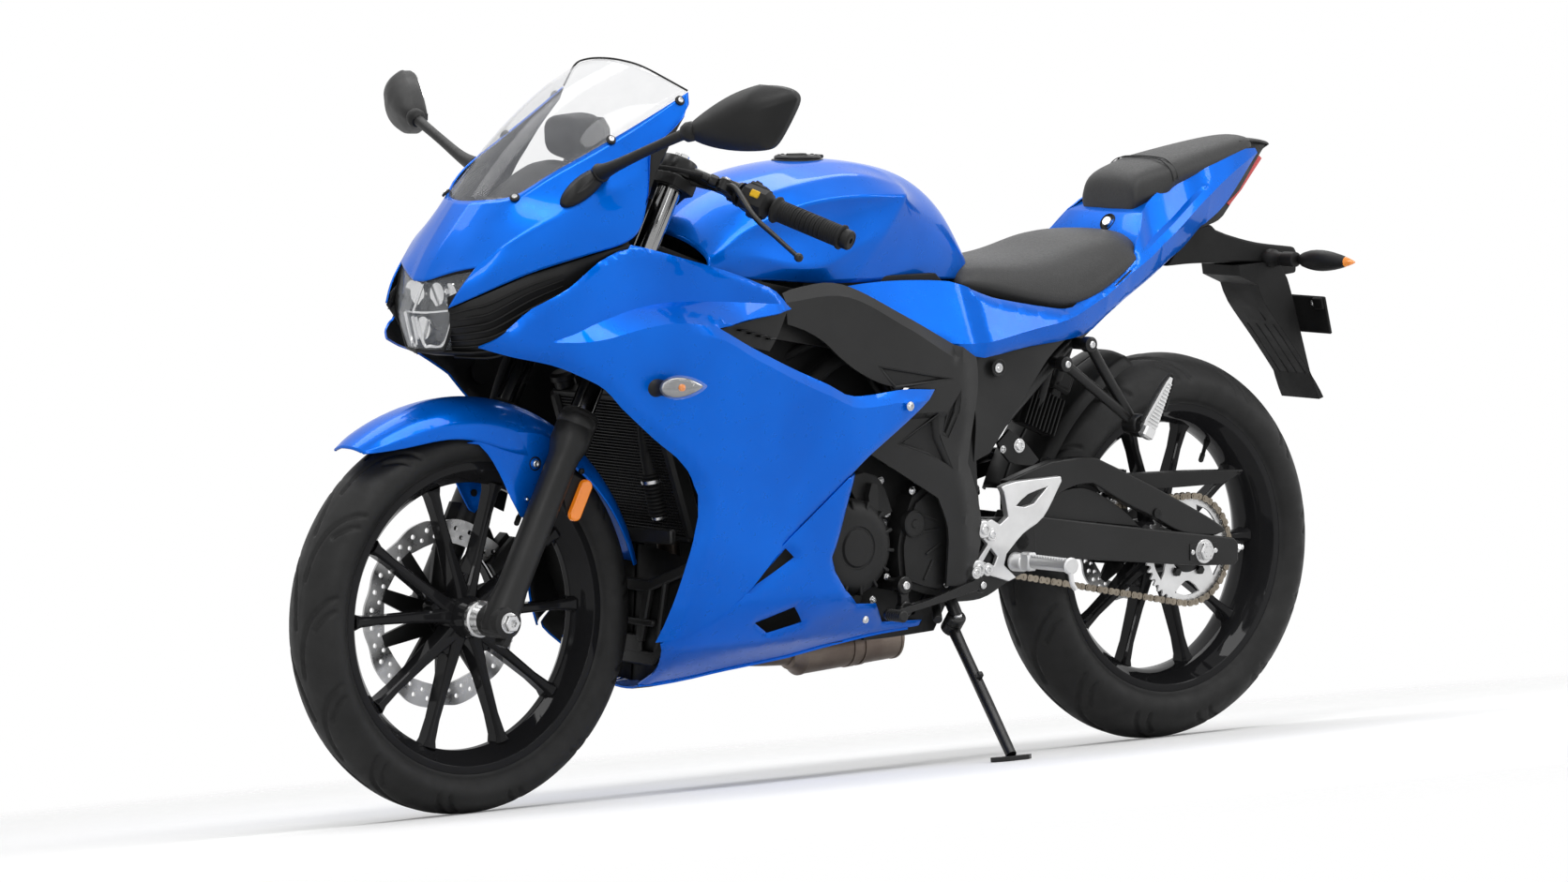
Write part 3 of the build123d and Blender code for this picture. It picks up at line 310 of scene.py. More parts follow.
def rounded(outline, limit):
    """A closed outline with its gentle corners rounded and its sharp ones kept."""
    p = [Vector(q) for q in outline]
    n = len(p)
    sharp = []
    for i in range(n):
        a, b = p[i] - p[i - 1], p[(i + 1) % n] - p[i]
        sharp.append(math.degrees(a.angle(b)) > limit)
    out = []
    for i in range(n):
        a, b, c, d = p[i - 1], p[i], p[(i + 1) % n], p[(i + 2) % n]
        if sharp[i]:
            a = 2 * b - c
        if sharp[(i + 1) % n]:
            d = 2 * c - b
        steps = max(1, min(8, int((c - b).length / REACH)))
        for k in range(steps):
            q = between(a, b, c, d, k / steps)
            out.append((q[0], q[1]))
    return out


# %% [markdown]
# A body line is a table: heights down one side, stations along the bike, and
# how far out the skin stands at each. Reading it smoothly gives a surface.

# %% Surfaces read from a table
class Surface:
    def __init__(self, levels, stations):
        self.levels = levels
        self.xs = [s[0] for s in stations]
        self.rows = [s[1] for s in stations]

    @staticmethod
    def read(keys, values, at):
        keys = list(keys)
        if keys[0] > keys[-1]:
            keys, values = keys[::-1], list(values)[::-1]
        at = min(max(at, keys[0]), keys[-1])
        k = max(i for i in range(len(keys) - 1) if keys[i] <= at)
        t = (at - keys[k]) / (keys[k + 1] - keys[k])
        a, b = values[k], values[k + 1]
        first = values[k - 1] if k else 2 * a - b
        last = values[k + 2] if k + 2 < len(values) else 2 * b - a
        return between(first, a, b, last, t)

    def __call__(self, x, z):
        column = [self.read(self.levels, row, z) for row in self.rows]
        return self.read(self.xs, column, x)


def around_circle(n, first=0.0):
    """The angles of n points round a circle."""
    return np.linspace(first, 2 * pi, n + 1)[:-1]


def line_at(table, x):
    """A smooth reading of ((x, value), ...)."""
    return Surface.read([r[0] for r in table], [r[1] for r in table], x)


def soft_step(low, high, v):
    t = min(max((v - low) / (high - low), 0), 1)
    return t * t * (3 - 2 * t)


def filled(outline, holes, limit):
    """An (x, z) outline with its holes, filled with triangles."""
    flat = bmesh.new()
    for loop in (outline, *holes):
        loop = rounded(loop, limit) if limit else loop
        ring = [flat.verts.new((p[0], 0, p[1])) for p in loop]
        for k in range(len(ring)):
            flat.edges.new((ring[k - 1], ring[k]))
    bmesh.ops.triangle_fill(flat, edges=flat.edges[:], use_beauty=True)
    return flat


def cut(flat, faces, at, direction):
    """Cuts some faces along a plane."""
    parts = faces + list({e for f in faces for e in f.edges}) + list({v for f in faces for v in f.verts})
    bmesh.ops.bisect_plane(flat, geom=parts, dist=0.01, plane_co=at, plane_no=direction)


# %% The workbench: points and faces
class Bench:
    """Points and faces in millimetres, with a crease for each edge kept crisp."""

    def __init__(self):
        self.points, self.faces, self.creases = [], [], {}

    def add(self, points, faces):
        first = len(self.points)
        self.points += [Vector(p) for p in points]
        self.faces += [tuple(first + k for k in f) for f in faces]
        return first

    def mirror(self):
        """The same again on the bike's right side."""
        points = [Vector((p.x, -p.y, p.z)) for p in self.points]
        first = self.add(points, [tuple(reversed(f)) for f in self.faces])
        self.creases.update({(a + first, b + first): c for (a, b), c in self.creases.items()})
        return self

    def loft(self, rows, caps=True, closed=True):
        """Joins rows of points; each row is a closed ring unless closed is off."""
        n = len(rows[0])
        span = n if closed else n - 1
        faces = [(i * n + j, i * n + (j + 1) % n, (i + 1) * n + (j + 1) % n, (i + 1) * n + j)
                 for i in range(len(rows) - 1) for j in range(span)]
        if caps and closed:
            faces += [tuple(reversed(range(n))), tuple((len(rows) - 1) * n + j for j in range(n))]
        self.add([p for row in rows for p in row], faces)
        return self

    def sheet(self, rows):
        """Joins rows of points to an open sheet."""
        return self.loft(rows, caps=False, closed=False)


# %% [markdown]
# A lathe makes everything round: axles, wheel hubs, caps and screws. Its
# profile is a list of (distance along the axis, radius). A bent tube is a ring
# carried along a smooth line without twisting.

# %% Lathe and tube bender
class Lathe(Bench):
    def turned(self, profile, at, axis, segments=32):
        """Turns (distance along, radius) points about an axis."""
        axis = Vector(axis).normalized()
        at = Vector(at)
        side = axis.orthogonal().normalized() if abs(axis.y) < 0.9 else Vector((1, 0, 0))
        up = axis.cross(side)
        hoop = profile[0] == profile[-1]
        profile = profile[:-1] if hoop else profile
        points = []
        for k in range(segments):
            a = radians(360.0 * k / segments)
            out = side * cos(a) + up * sin(a)
            points += [at + axis * h + out * r for h, r in profile]
        n = len(profile)
        faces = []
        for k in range(segments):
            a, b = k * n, ((k + 1) % segments) * n
            faces += [(a + i, b + i, b + (i + 1) % n, a + (i + 1) % n) for i in range(n if hoop else n - 1)]
        if not hoop:
            if profile[0][1] > 0:
                faces.append(tuple(k * n for k in range(segments)))
            if profile[-1][1] > 0:
                faces.append(tuple(reversed([k * n + n - 1 for k in range(segments)])))
        self.add(points, faces)
        return self

    def rod(self, a, b, r, segments=20):
        """A round bar with broken edges."""
        a, b = Vector(a), Vector(b)
        h = (b - a).length
        e = min(1.0, r * 0.4)
        self.turned([(0, r - e), (e, r), (h - e, r), (h, r - e)], a, b - a, segments)
        return self

    def bolt(self, at, direction, r=7.0, head=5.0, socket=True, flange=0.0):
        """A cap screw or hex bolt standing on a face."""
        d = Vector(direction).normalized()
        at = Vector(at)
        if flange:
            self.turned([(-1, flange), (1.2, flange), (1.8, flange - 0.8), (1.8, 0)], at, d, 24)
        if socket:
            self.turned([(-2, r), (head - 1, r), (head, r - 1), (head, r * 0.62), (head * 0.4, r * 0.55),
                (head * 0.4, 0)], at, d, 18)
        else:
            self.turned([(-2, r), (head - 1, r), (head, r - 0.9), (head, 0)], at, d, 6)
        return self

    def tube(self, points, r, segments=14, steps=6, smooth=True):
        """A bent tube along a line; r is a radius or one radius for each point."""
        path = flow(points, steps) if smooth else [Vector(p) for p in points]
        count = len(path)
        rr = [r] * count if not isinstance(r, (tuple, list)) else [
            Surface.read(range(len(r)), list(r), (len(r) - 1) * k / (count - 1)) for k in range(count)]
        side = (path[1] - path[0]).orthogonal().normalized()
        rings = []
        for k in range(count):
            d = (path[min(k + 1, count - 1)] - path[max(k - 1, 0)]).normalized()
            side = (side - d * side.dot(d)).normalized()
            up = d.cross(side)
            turns = [2 * pi * j / segments for j in range(segments)]
            rings.append([path[k] + (side * cos(a) + up * sin(a)) * rr[k] for a in turns])
        return self.loft(rings)


# %% [markdown]
# Flat parts are cut from an outline seen from the side. The same outline can be
# cut into small cells and draped over a body line, which gives a thin skin.

# %% Plates, skins and blocks
class Cutter(Lathe):
    def plate(self, outline, y0, y1, holes=(), limit=32, spin=None):
        """A plate cut to an (x, z) outline, from y0 to y1, each a number or a surface."""
        flat = filled(outline, holes, limit)
        flat.verts.index_update()
        n = len(flat.verts)
        near, far = [[Vector((v.co.x, y(v.co.x, v.co.z) if callable(y) else y, v.co.z)) for v in flat.verts]
                     for y in (y1, y0)]
        faces = []
        for f in flat.faces:
            ids = [v.index for v in f.verts]
            if f.normal.y < 0:
                ids.reverse()
            faces += [tuple(ids), tuple(n + k for k in reversed(ids))]
        for e in flat.edges:
            if len(e.link_faces) == 1:
                a, b = [v.index for v in e.verts]
                faces.append((a, b, n + b, n + a))
        flat.free()
        points = near + far
        if spin:
            points = [spin(p) for p in points]
        self.add(points, faces)
        return self

    def skin(self, outline, surface, step=14.0, holes=(), limit=32, lines=()):
        """A thin skin: an (x, z) outline draped over a surface y(x, z), creased along lines."""
        flat = filled(outline, holes, limit)
        for f in flat.faces:
            if f.normal.y < 0:
                f.normal_flip()
        low = [min(p[k] for p in outline) for k in (0, 1)]
        high = [max(p[k] for p in outline) for k in (0, 1)]
        for k, direction in ((0, (1, 0, 0)), (1, (0, 0, 1))):
            v = low[k] + step
            while v < high[k] - step * 0.3:
                at = (v, 0, 0) if k == 0 else (0, 0, v)
                bmesh.ops.bisect_plane(flat, geom=flat.verts[:] + flat.edges[:] + flat.faces[:], dist=0.01,
                                       plane_co=at, plane_no=direction)
                v += step
        slanted = []
        for e in flat.edges:
            run = e.verts[0].co - e.verts[1].co
            if len(e.link_faces) == 2 and min(abs(run.x), abs(run.z)) > 0.05:
                slanted.append(e)
        bmesh.ops.dissolve_limit(flat, angle_limit=0.001, verts=[], edges=slanted)
        for line in lines:
            for (x0, z0), (x1, z1) in zip(line, line[1:]):
                for x in (x0, x1):
                    spans = [(f, [v.co.x for v in f.verts]) for f in flat.faces]
                    near = [f for f, xs in spans if min(xs) < x < max(xs)]
                    cut(flat, near, (x, 0, 0), (1, 0, 0))
                near = [f for f in flat.faces if min(x0, x1) < f.calc_center_median().x < max(x0, x1)
                        and abs(f.calc_center_median().z - (z0 + z1) / 2) < abs(z1 - z0) + 2 * step]
                cut(flat, near, (x0, 0, z0), (z0 - z1, 0, x1 - x0))
        flat.verts.index_update()
        points = [Vector((v.co.x, surface(v.co.x, v.co.z), v.co.z)) for v in flat.verts]
        faces = [tuple(v.index for v in f.verts) for f in flat.faces]
        flat.free()
        self.add(points, faces)
        return self

    def block(self, centre, size, along=(1, 0, 0), up=(0, 0, 1), taper=1.0, edge=2.0):
        """A moulded block with chamfered long edges and a tapered far end."""
        x = Vector(along).normalized()
        z = Vector(up)
        z = (z - x * z.dot(x)).normalized()
        y = z.cross(x)
        c, (a, b, h) = Vector(centre), [s / 2 for s in size]
        rows = []
        for t, s in ((-a, 1), (-a + edge, 1), (a - edge, taper), (a, taper)):
            inset = edge if abs(t) == a else 0
            bb, hh, e = b * s - inset, h * s - inset, edge
            ring = ((bb, hh - e), (bb - e, hh), (-bb + e, hh), (-bb, hh - e), (-bb, -hh + e),
                (-bb + e, -hh), (bb - e, -hh), (bb, -hh + e))
            rows.append([c + x * t + y * p + z * q for p, q in ring])
        self.loft(rows)
        return self


# %% [markdown]
# At the end the points are leaned and scaled into the shared frame. Modifiers
# then round a cage, give a skin its wall, and break sharp edges so that they
# catch the light.

# %% From the bench to a piece
class Shape(Cutter):
    def piece(self, name, finish, body="chassis", instead=None, thick=0.0, edge=0.0, cage=0, angle=35,
            segments=2, weld=0.0, inner=None):
        """Turns what was shaped into one piece that rides on a body."""
        mesh = bpy.data.meshes.new(name)
        work = bmesh.new()
        verts = [work.verts.new(PLACED @ p) for p in self.points]
        for f in self.faces:
            ids = [verts[k] for k in f]
            if len(set(ids)) > 2:
                try:
                    work.faces.new(ids)
                except ValueError:
                    pass
        if self.creases:
            layer = work.edges.layers.float.new("crease_edge")
            for (a, b), c in self.creases.items():
                e = work.edges.get((verts[a], verts[b]))
                if e:
                    e[layer] = c
        if weld:
            bmesh.ops.remove_doubles(work, verts=work.verts, dist=weld * MM)
        if not thick:
            bmesh.ops.recalc_face_normals(work, faces=work.faces)
        work.to_mesh(mesh)
        work.free()
        obj = bpy.data.objects.new(name, mesh)
        bpy.context.scene.collection.objects.link(obj)
        mesh.polygons.foreach_set("use_smooth", [True] * len(mesh.polygons))
        if cage:
            m = obj.modifiers.new("rounding", "SUBSURF")
            m.levels = m.render_levels = cage
            m.boundary_smooth = "PRESERVE_CORNERS"
        else:
            mesh.set_sharp_from_angle(angle=radians(angle))
        if thick:
            m = obj.modifiers.new("wall", "SOLIDIFY")
            m.thickness, m.offset, m.use_even_offset = thick * MM, -1, False
            # Inside faces take the second finish; the panels pass the darkest black, which paints the shade
            # inside them.
            m.material_offset = 1 if inner else 0
        if edge:
            m = obj.modifiers.new("broken edges", "BEVEL")
            m.width, m.segments, m.limit_method = edge * MM, segments, "ANGLE"
            m.angle_limit, m.harden_normals = radians(angle), True
        mesh.materials.append(finish)
        if inner:
            mesh.materials.append(inner)
        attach(obj, body)
        if instead:
            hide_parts(instead)
        print(name, "on the", body, len(self.faces), "faces")
        return obj


# %% [markdown]
# ## Studio and camera
# A pale floor and a white surround, two wide lamps above and two tall weak ones
# at the left. The camera is far away on a long lens, front left and a little
# higher than the bike's middle, and it is turned upright with the leaning bike.

# %% Camera
FRAME_WIDE, FOCAL_PIXELS, SENSOR = 1672, 7175.1, 36
eye = Vector((7164.3, 7888.9, 1116.6))
look = Vector((-0.62956, -0.77467, -0.0594)).normalized()
right = look.cross(Vector((0, 0, 1))).normalized()
above = right.cross(look)
middle, raised = Vector((650, 0, 350)), Matrix.Rotation(radians(-1.5), 3, right)
eye, look, above = middle + raised @ (eye - middle), raised @ look, raised @ above
turn = PLACED.to_3x3().normalized()
axes = Matrix([turn @ right, turn @ above, turn @ -look]).transposed()
camera = bpy.data.objects.new("camera", bpy.data.cameras.new("camera"))
camera.matrix_world = Matrix.Translation(PLACED @ eye) @ axes.to_4x4()
camera.data.sensor_width = SENSOR
camera.data.lens = FOCAL_PIXELS / FRAME_WIDE * SENSOR
camera.data.clip_end = 100
bpy.context.scene.collection.objects.link(camera)
bpy.context.scene.camera = camera
bpy.context.scene.view_settings.view_transform = "Standard"
print("lens", round(camera.data.lens, 1), "mm")


# %% Floor, surround and lamps
def studio_white(strength, fill):
    """White to the eye, in mirrors and through glass; dimmer as a light."""
    world = bpy.data.worlds.new("studio")
    bpy.context.scene.world = world
    graph = Graph(world)
    graph.nodes.clear()
    camera_ray, glossy_ray, through_ray = [graph.node("LightPath", output=kind)
        for kind in ("Is Camera Ray", "Is Glossy Ray", "Is Transmission Ray")]
    also = graph.node("Math", {"operation": "MAXIMUM"}, {0: glossy_ray, 1: through_ray})
    seen = graph.node("Math", {"operation": "MAXIMUM"}, {0: camera_ray, 1: also})
    level = graph.node("MapRange", None, {0: seen, 3: fill, 4: strength})
    back = graph.node("Background", None, {"Color": (1, 1, 1), "Strength": level})
    graph.node("OutputWorld", None, {"Surface": back})


studio_white(1.0, 0.34)
FLOOR = 7
floor_mesh = bpy.data.meshes.new("floor")
floor_mesh.from_pydata([(-FLOOR, -FLOOR, 0), (FLOOR, -FLOOR, 0), (FLOOR, FLOOR, 0), (-FLOOR, FLOOR, 0)], [],
                       [(0, 1, 2, 3)])
floor = bpy.data.objects.new("floor", floor_mesh)
bpy.context.scene.collection.objects.link(floor)
ground = Finish("pale_floor", Base_Color=(0.92, 0.92, 0.92), Roughness=0.7, Specular_IOR_Level=0.2)
seen = ground.node("LightPath", output=0)
reach = ground.node("VectorMath", {"operation": "LENGTH"}, {0: ground.place()}, 1)
ground.set(Emission_Color=ground.blend(seen, (0, 0, 0), (0.1, 0.1, 0.1)), Emission_Strength=1.0)
ground.set(Alpha=ground.spread(reach, 1.2, 3.0, 1.0, 0.0))
floor_mesh.materials.append(ground.material)


def softbox(name, at, aim, size, power):
    lamp = bpy.data.lights.new(name, "AREA")
    lamp.shape, lamp.size, lamp.size_y, lamp.energy = "RECTANGLE", size[0], size[1], power
    obj = bpy.data.objects.new(name, lamp)
    obj.location = at
    obj.rotation_euler = (Vector(aim) - Vector(at)).to_track_quat("-Z", "Y").to_euler()
    bpy.context.scene.collection.objects.link(obj)


softbox("over_left", (0.2, 1.3, 3.0), (0, 0, 0.4), (4.4, 0.7), 62)
softbox("over_right", (-0.2, -1.3, 3.4), (0, 0, 0.4), (4.6, 1.0), 52)
softbox("front_left", (3.3, 3.0, 1.7), (0.3, 0, 0.5), (0.5, 2.2), 26)
softbox("rear_left", (-2.9, 2.6, 1.8), (-0.4, 0, 0.4), (0.5, 1.8), 20)

# %% [markdown]
# ## Tyres
# A sport tyre is a round-shouldered hoop with sweeping grooves cut in its
# tread. The grooves are real depth here: the hoop is turned with a fine grid,
# and each point near a groove's centre line is lowered by a few millimetres.

# %% Tread pattern
FAR_AWAY, SOFT_EDGE = 1e9, 1.1


def groove_depth(u, v, pitch, lines, width):
    """How deep the tread is cut at arc u and across v (arrays), 0 to 1."""
    best = np.full(u.shape, FAR_AWAY)
    for line in lines:
        line = [Vector(p) for p in flow([(a, b, 0) for a, b in line], 4)]
        for sign, shift in ((1, 0), (-1, pitch / 2)):
            for lap in (-1, 0, 1):
                for p, q in zip(line, line[1:]):
                    px, py = p.x + shift + lap * pitch, p.y * sign
                    dx, dy = q.x + shift + lap * pitch - px, q.y * sign - py
                    t = np.clip(((u - px) * dx + (v - py) * dy) / (dx * dx + dy * dy), 0, 1)
                    best = np.minimum(best, np.hypot(u - px - t * dx, v - py - t * dy))
    return np.clip((width / 2 + SOFT_EDGE - best) / (2 * SOFT_EDGE), 0, 1)


GROOVE_WIDE, GROOVE_DEEP, BEAD_INSET = 6.6, 3.4, 8
WALL_STEPS, CROWN_STEPS, TURN_STEPS, PITCHES = 15, 57, 640, 13


def tyre(name, centre, profile, crown, lines, body, node):
    arc = [(p.x, p.y) for p in flow([(r, y, 0) for r, y in profile], 5)]
    arc = arc[:-1] + [(r, -y) for r, y in reversed(arc)]
    # a fine even grid over the tread, a coarse one down each wall
    r, y = np.array([a for a, _ in arc]), np.array([b for _, b in arc])
    run = np.concatenate([[0], np.cumsum(np.hypot(np.diff(r), np.diff(y)))])
    middle = run[-1] / 2
    marks = np.concatenate([np.linspace(0, middle - crown, WALL_STEPS)[:-1],
                            np.linspace(middle - crown, middle + crown, CROWN_STEPS),
                            np.linspace(middle + crown, run[-1], WALL_STEPS)[1:]])
    rr, yy, vv = np.interp(marks, run, r), np.interp(marks, run, y), marks - middle
    outer = rr.max()
    pitch = 2 * pi * outer / PITCHES
    u = np.arange(TURN_STEPS) * (2 * pi * outer / TURN_STEPS)
    across, along = np.meshgrid(vv, u % pitch)
    deep = GROOVE_DEEP * groove_depth(along, across, pitch, lines, GROOVE_WIDE)
    s = Shape()
    angle = 2 * pi * np.arange(TURN_STEPS) / TURN_STEPS
    dr, dy = np.gradient(rr), np.gradient(yy)
    length = np.hypot(dr, dy)
    nr, ny = np.abs(dy) / length, np.sign(yy) * np.abs(dr) / length
    radius, across = rr[None, :] - deep * nr[None, :], yy[None, :] - deep * ny[None, :]
    x, z = centre.x + radius * np.cos(angle)[:, None], centre.z + radius * np.sin(angle)[:, None]
    n = len(rr)
    faces = [(i * n + j, ((i + 1) % TURN_STEPS) * n + j, ((i + 1) % TURN_STEPS) * n + j + 1, i * n + j + 1)
             for i in range(TURN_STEPS) for j in range(n - 1)]
    s.add([tuple(p) for p in np.stack([x, across, z], 2).reshape(-1, 3)], faces)
    # closed inside the rim
    bead = rr[0] - BEAD_INSET
    first = s.add([(centre.x + bead * cos(a), yy[k], centre.z + bead * sin(a)) for a in angle
                   for k in (0, -1)], [])
    for i in range(TURN_STEPS):
        j = (i + 1) % TURN_STEPS
        s.faces += [(i * n, first + 2 * i, first + 2 * j, j * n),
            (i * n + n - 1, j * n + n - 1, first + 2 * j + 1, first + 2 * i + 1),
            (first + 2 * i, first + 2 * i + 1, first + 2 * j + 1, first + 2 * j)]
    return s.piece(name, RUBBER, body, node, angle=50)


FRONT_TYRE = ((224, 34), (230.5, 36.5), (236, 43.5), (245, 50.5), (256, 53.8), (266, 51.2), (275.5, 43),
    (283.5, 30), (288.6, 15), (290, 0))
REAR_TYRE = ((224, 48), (230.5, 50.5), (237, 58), (247, 63.8), (259, 65), (271, 61), (285, 50), (297, 35),
    (304.6, 17), (307, 0))
FRONT_CUTS = (((2, 5), (40, 9), (80, 21), (110, 42), (124, 62)), ((72, 32), (92, 48), (102, 62)))
REAR_CUTS = (((4, 8), (48, 13), (92, 32), (124, 56), (138, 76)), ((78, 44), (100, 62), (108, 78)))
tyre("front_tyre_tread", FRONT, FRONT_TYRE, 62, FRONT_CUTS, "front_wheel", "front_tyre")
tyre("rear_tyre_tread", REAR, REAR_TYRE, 76, REAR_CUTS, "rear_wheel", "rear_tyre")


# %% [markdown]
# ## Cast wheels
# Both wheels are one casting: a dropped-centre hoop, a hub, and five pairs of
# thin arms that leave the hub together and spread to the hoop. The hoop and hub
# are turned; each arm is lofted with a ridge along its outer face.

# %% Wheels
def ring_point(c, r, degrees, y=0.0):
    a = radians(degrees)
    return Vector((c.x + r * cos(a), y, c.z + r * sin(a)))


SPREAD, FIRST_ARM, AXLE_BORE = 16.5, 90, 9.0


def both_sides(profile):
    """A turned profile of (distance, radius) from the middle out, with its other half before it."""
    return [(-h, r) for h, r in profile[::-1]] + profile


def wheel(name, c, flange, hub, hub_r, body, node):
    lip, well = flange - 3.5, flange - 20
    s = Shape()
    inside = [(6, 196), (well - 8, 197.5), (well + 3, 204), (lip - 6, 210), (flange, 217),
        (flange + 0.6, 225), (flange, 229)]
    outside = [(lip, 229), (lip, 216), (lip - 10, 216), (well - 6, 204)]
    s.turned(both_sides(inside) + outside + [(-h, r) for h, r in outside[::-1]] + [(-flange, 229)], c,
        SIDE, 160)
    s.turned(both_sides([(13, hub_r), (hub - 12, hub_r - 4), (hub - 2, hub_r - 6), (hub, hub_r - 8),
        (hub, AXLE_BORE)]), c, SIDE, 60)
    for k in range(5):
        middle = FIRST_ARM + 72 * k
        for side in (-1, 1):
            a0, a1 = middle + side * 9, middle + side * SPREAD
            rows = []
            root, tip = ring_point(c, hub_r - 4, a0), ring_point(c, 199, a1)
            for t, wide, deep, face in ((0, 13.0, 19, 15), (0.12, 10.0, 18, 14), (0.4, 7.4, 15, 11.5),
                    (0.75, 6.6, 13, 9.5), (0.93, 8.4, 15, 10), (1, 12.5, 18, 11)):
                p = root.lerp(tip, t)
                d = (tip - root).normalized()
                w = d.cross(SIDE)
                ring = []
                for q, y in ((wide, -face), (wide, face), (wide * 0.55, deep), (-wide * 0.55, deep),
                        (-wide, face), (-wide, -face), (-wide * 0.55, -deep), (wide * 0.55, -deep)):
                    ring.append(p + w * q + SIDE * y)
                rows.append(ring)
            s.loft(rows)
        # web between the two arms of a pair
        web = [ring_point(c, hub_r + r, middle + a) for r, a in ((-3, -12), (26, -11), (32, 0), (26, 11),
            (-3, 12))]
        s.plate([(p.x, p.z) for p in web], -12, 12, limit=60)
    s.piece(name, GLOSS_BLACK, body, node, edge=1.2, angle=30)
    t = Shape()
    valve = ring_point(c, 196, FIRST_ARM + 36)
    inward = (c - valve).normalized()
    t.turned([(-3, 5.5), (2, 5.2), (12, 3.4), (22, 3.2), (24, 4.2), (36, 4.2), (38, 3)], valve,
        inward + SIDE * 0.25, 14)
    t.piece(name + "_valve", BLACK, body)


wheel("front_wheel_casting", FRONT, 36, 42, 33, "front_wheel", "front_rim")
wheel("rear_wheel_casting", REAR, 50, 56, 44, "rear_wheel", "rear_rim")


# %% [markdown]
# ## Brake discs, sprocket and chain
# The discs are laser-cut from sheet steel, so they are drawn as one flat
# outline with its holes. A wavy edge keeps the pads clean.

# %% Discs
def circle(c, r, n):
    return [(c[0] + r * cos(2 * pi * k / n), c[1] + r * sin(2 * pi * k / n)) for k in range(n)]


def wavy(c, r, waves, deep, n):
    out = []
    for k in range(n):
        a = 2 * pi * k / n
        rr = r - deep * (0.5 - 0.5 * cos(waves * a)) ** 2
        out.append((c.x + rr * cos(a), c.z + rr * sin(a)))
    return out


def disc(name, c, outer, inner, y0, y1, hub_y, body):
    s = Shape()
    holes = [wavy(c, inner, 10, -3.0, 120)]
    width = outer - inner
    for k in range(30):
        a = 2 * pi * k / 30
        for j, (t, r) in enumerate(((0.30, 3.4), (0.62, 3.8))):
            b = a + (j * 0.5) * 2 * pi / 30
            q = inner + width * t
            holes.append(circle((c.x + q * cos(b), c.z + q * sin(b)), r, 10))
    s.plate(wavy(c, outer, 10, 4.5, 200), y0, y1, holes, limit=0)
    s.piece(name + "_rotor", STEEL, body, name, angle=40)
    t = Shape()
    middle = (y0 + y1) / 2
    arms = []
    for k in range(10):
        a = 36 * k + 18
        arms += [ring_point(c, inner + 7, a - 5), ring_point(c, inner + 7, a + 5),
            ring_point(c, 48, a + 12)]
    t.plate([(p.x, p.z) for p in arms], middle - 3.2, middle + 3.2, [circle((c.x, c.z), 16, 40)], limit=0)
    t.turned([(min(middle, hub_y), 16), (min(middle, hub_y), 30), (max(middle, hub_y), 30),
        (max(middle, hub_y), 16)], c, SIDE, 40)
    t.piece(name + "_carrier", COATED, body, edge=0.8)
    b = Shape()
    for k in range(10):
        b.turned([(0, 6), (2, 6), (2.6, 5), (2.6, 0)], ring_point(c, inner + 3, 36 * k + 18, y0), -SIDE, 16)
    for k in range(5):
        b.bolt(ring_point(c, 26, 72 * k + 18, y0), -SIDE, 5.5, 4)
    b.piece(name + "_rivets", ZINC, body)


disc("front_disc", FRONT, 140, 104, -52, -48, -42, "front_wheel")
disc("rear_disc", REAR, 95, 66, -74, -70, -58, "rear_wheel")


# %% [markdown]
# The sprocket is drawn as a toothed outline with lightening holes. The chain is
# built link by link along its path, because a bike's chain is seen close up.

# %% Sprocket
SPROCKET_R, TEETH, CHAIN_Y, CHAIN_PITCH = 85, 44, 80, 12.14
GEARBOX_SHAFT, SMALL_SPROCKET_R = Vector((462, 0, 340)), 30.5


def toothed(c, pitch_r, teeth):
    out = []
    for k in range(teeth):
        for t, r in ((0.0, pitch_r - 4.2), (0.17, pitch_r - 3.0), (0.36, pitch_r + 2.6),
                (0.5, pitch_r + 3.4), (0.64, pitch_r + 2.6), (0.83, pitch_r - 3.0)):
            p = ring_point(c, r, 360 * (k + t) / teeth)
            out.append((p.x, p.z))
    return out


s = Shape()
windows = []
for k in range(5):
    a = 54 + 72 * k
    windows.append([(p.x, p.z) for p in flow([ring_point(REAR, 72, a - 21), ring_point(REAR, 73, a),
        ring_point(REAR, 72, a + 21)], 4)] + [(p.x, p.z) for p in (ring_point(REAR, 60, a + 16),
        ring_point(REAR, 50, a + 5), ring_point(REAR, 50, a - 5), ring_point(REAR, 60, a - 16))])
s.plate(toothed(REAR, SPROCKET_R, TEETH), CHAIN_Y - 2, CHAIN_Y + 2,
    windows + [circle((REAR.x, REAR.z), 34, 48)], limit=0)
s.piece("rear_sprocket_plate", ALLOY, "rear_wheel", "rear_sprocket", edge=0.5, segments=1)
s = Shape().turned([(57, 16), (57, 41), (76, 40), (78, 38), (83, 36), (84.5, 33), (84.5, 16)], REAR, SIDE,
    48)
for k in range(5):
    s.bolt(ring_point(REAR, 42, 18 + 72 * k, 82), SIDE, 7.5, 6, False)
s.piece("sprocket_carrier", COATED, "rear_wheel", edge=0.6)


# %% Chain
def chain_path(r1, c1, r2, c2):
    """Arc-length points round both sprockets, clockwise from the top run."""
    d = c2 - c1
    gap, heading = d.length, math.degrees(math.atan2(d.z, d.x))
    lean = math.degrees(math.acos((r1 - r2) / gap))
    pts = [ring_point(c1, r1, heading + lean), ring_point(c2, r2, heading + lean)]
    pts += [ring_point(c2, r2, heading + lean - k * 2 * lean / 24) for k in range(1, 25)]
    pts += [ring_point(c1, r1, heading - lean)]
    pts += [ring_point(c1, r1, heading - lean - k * (360 - 2 * lean) / 60) for k in range(1, 61)]
    return pts


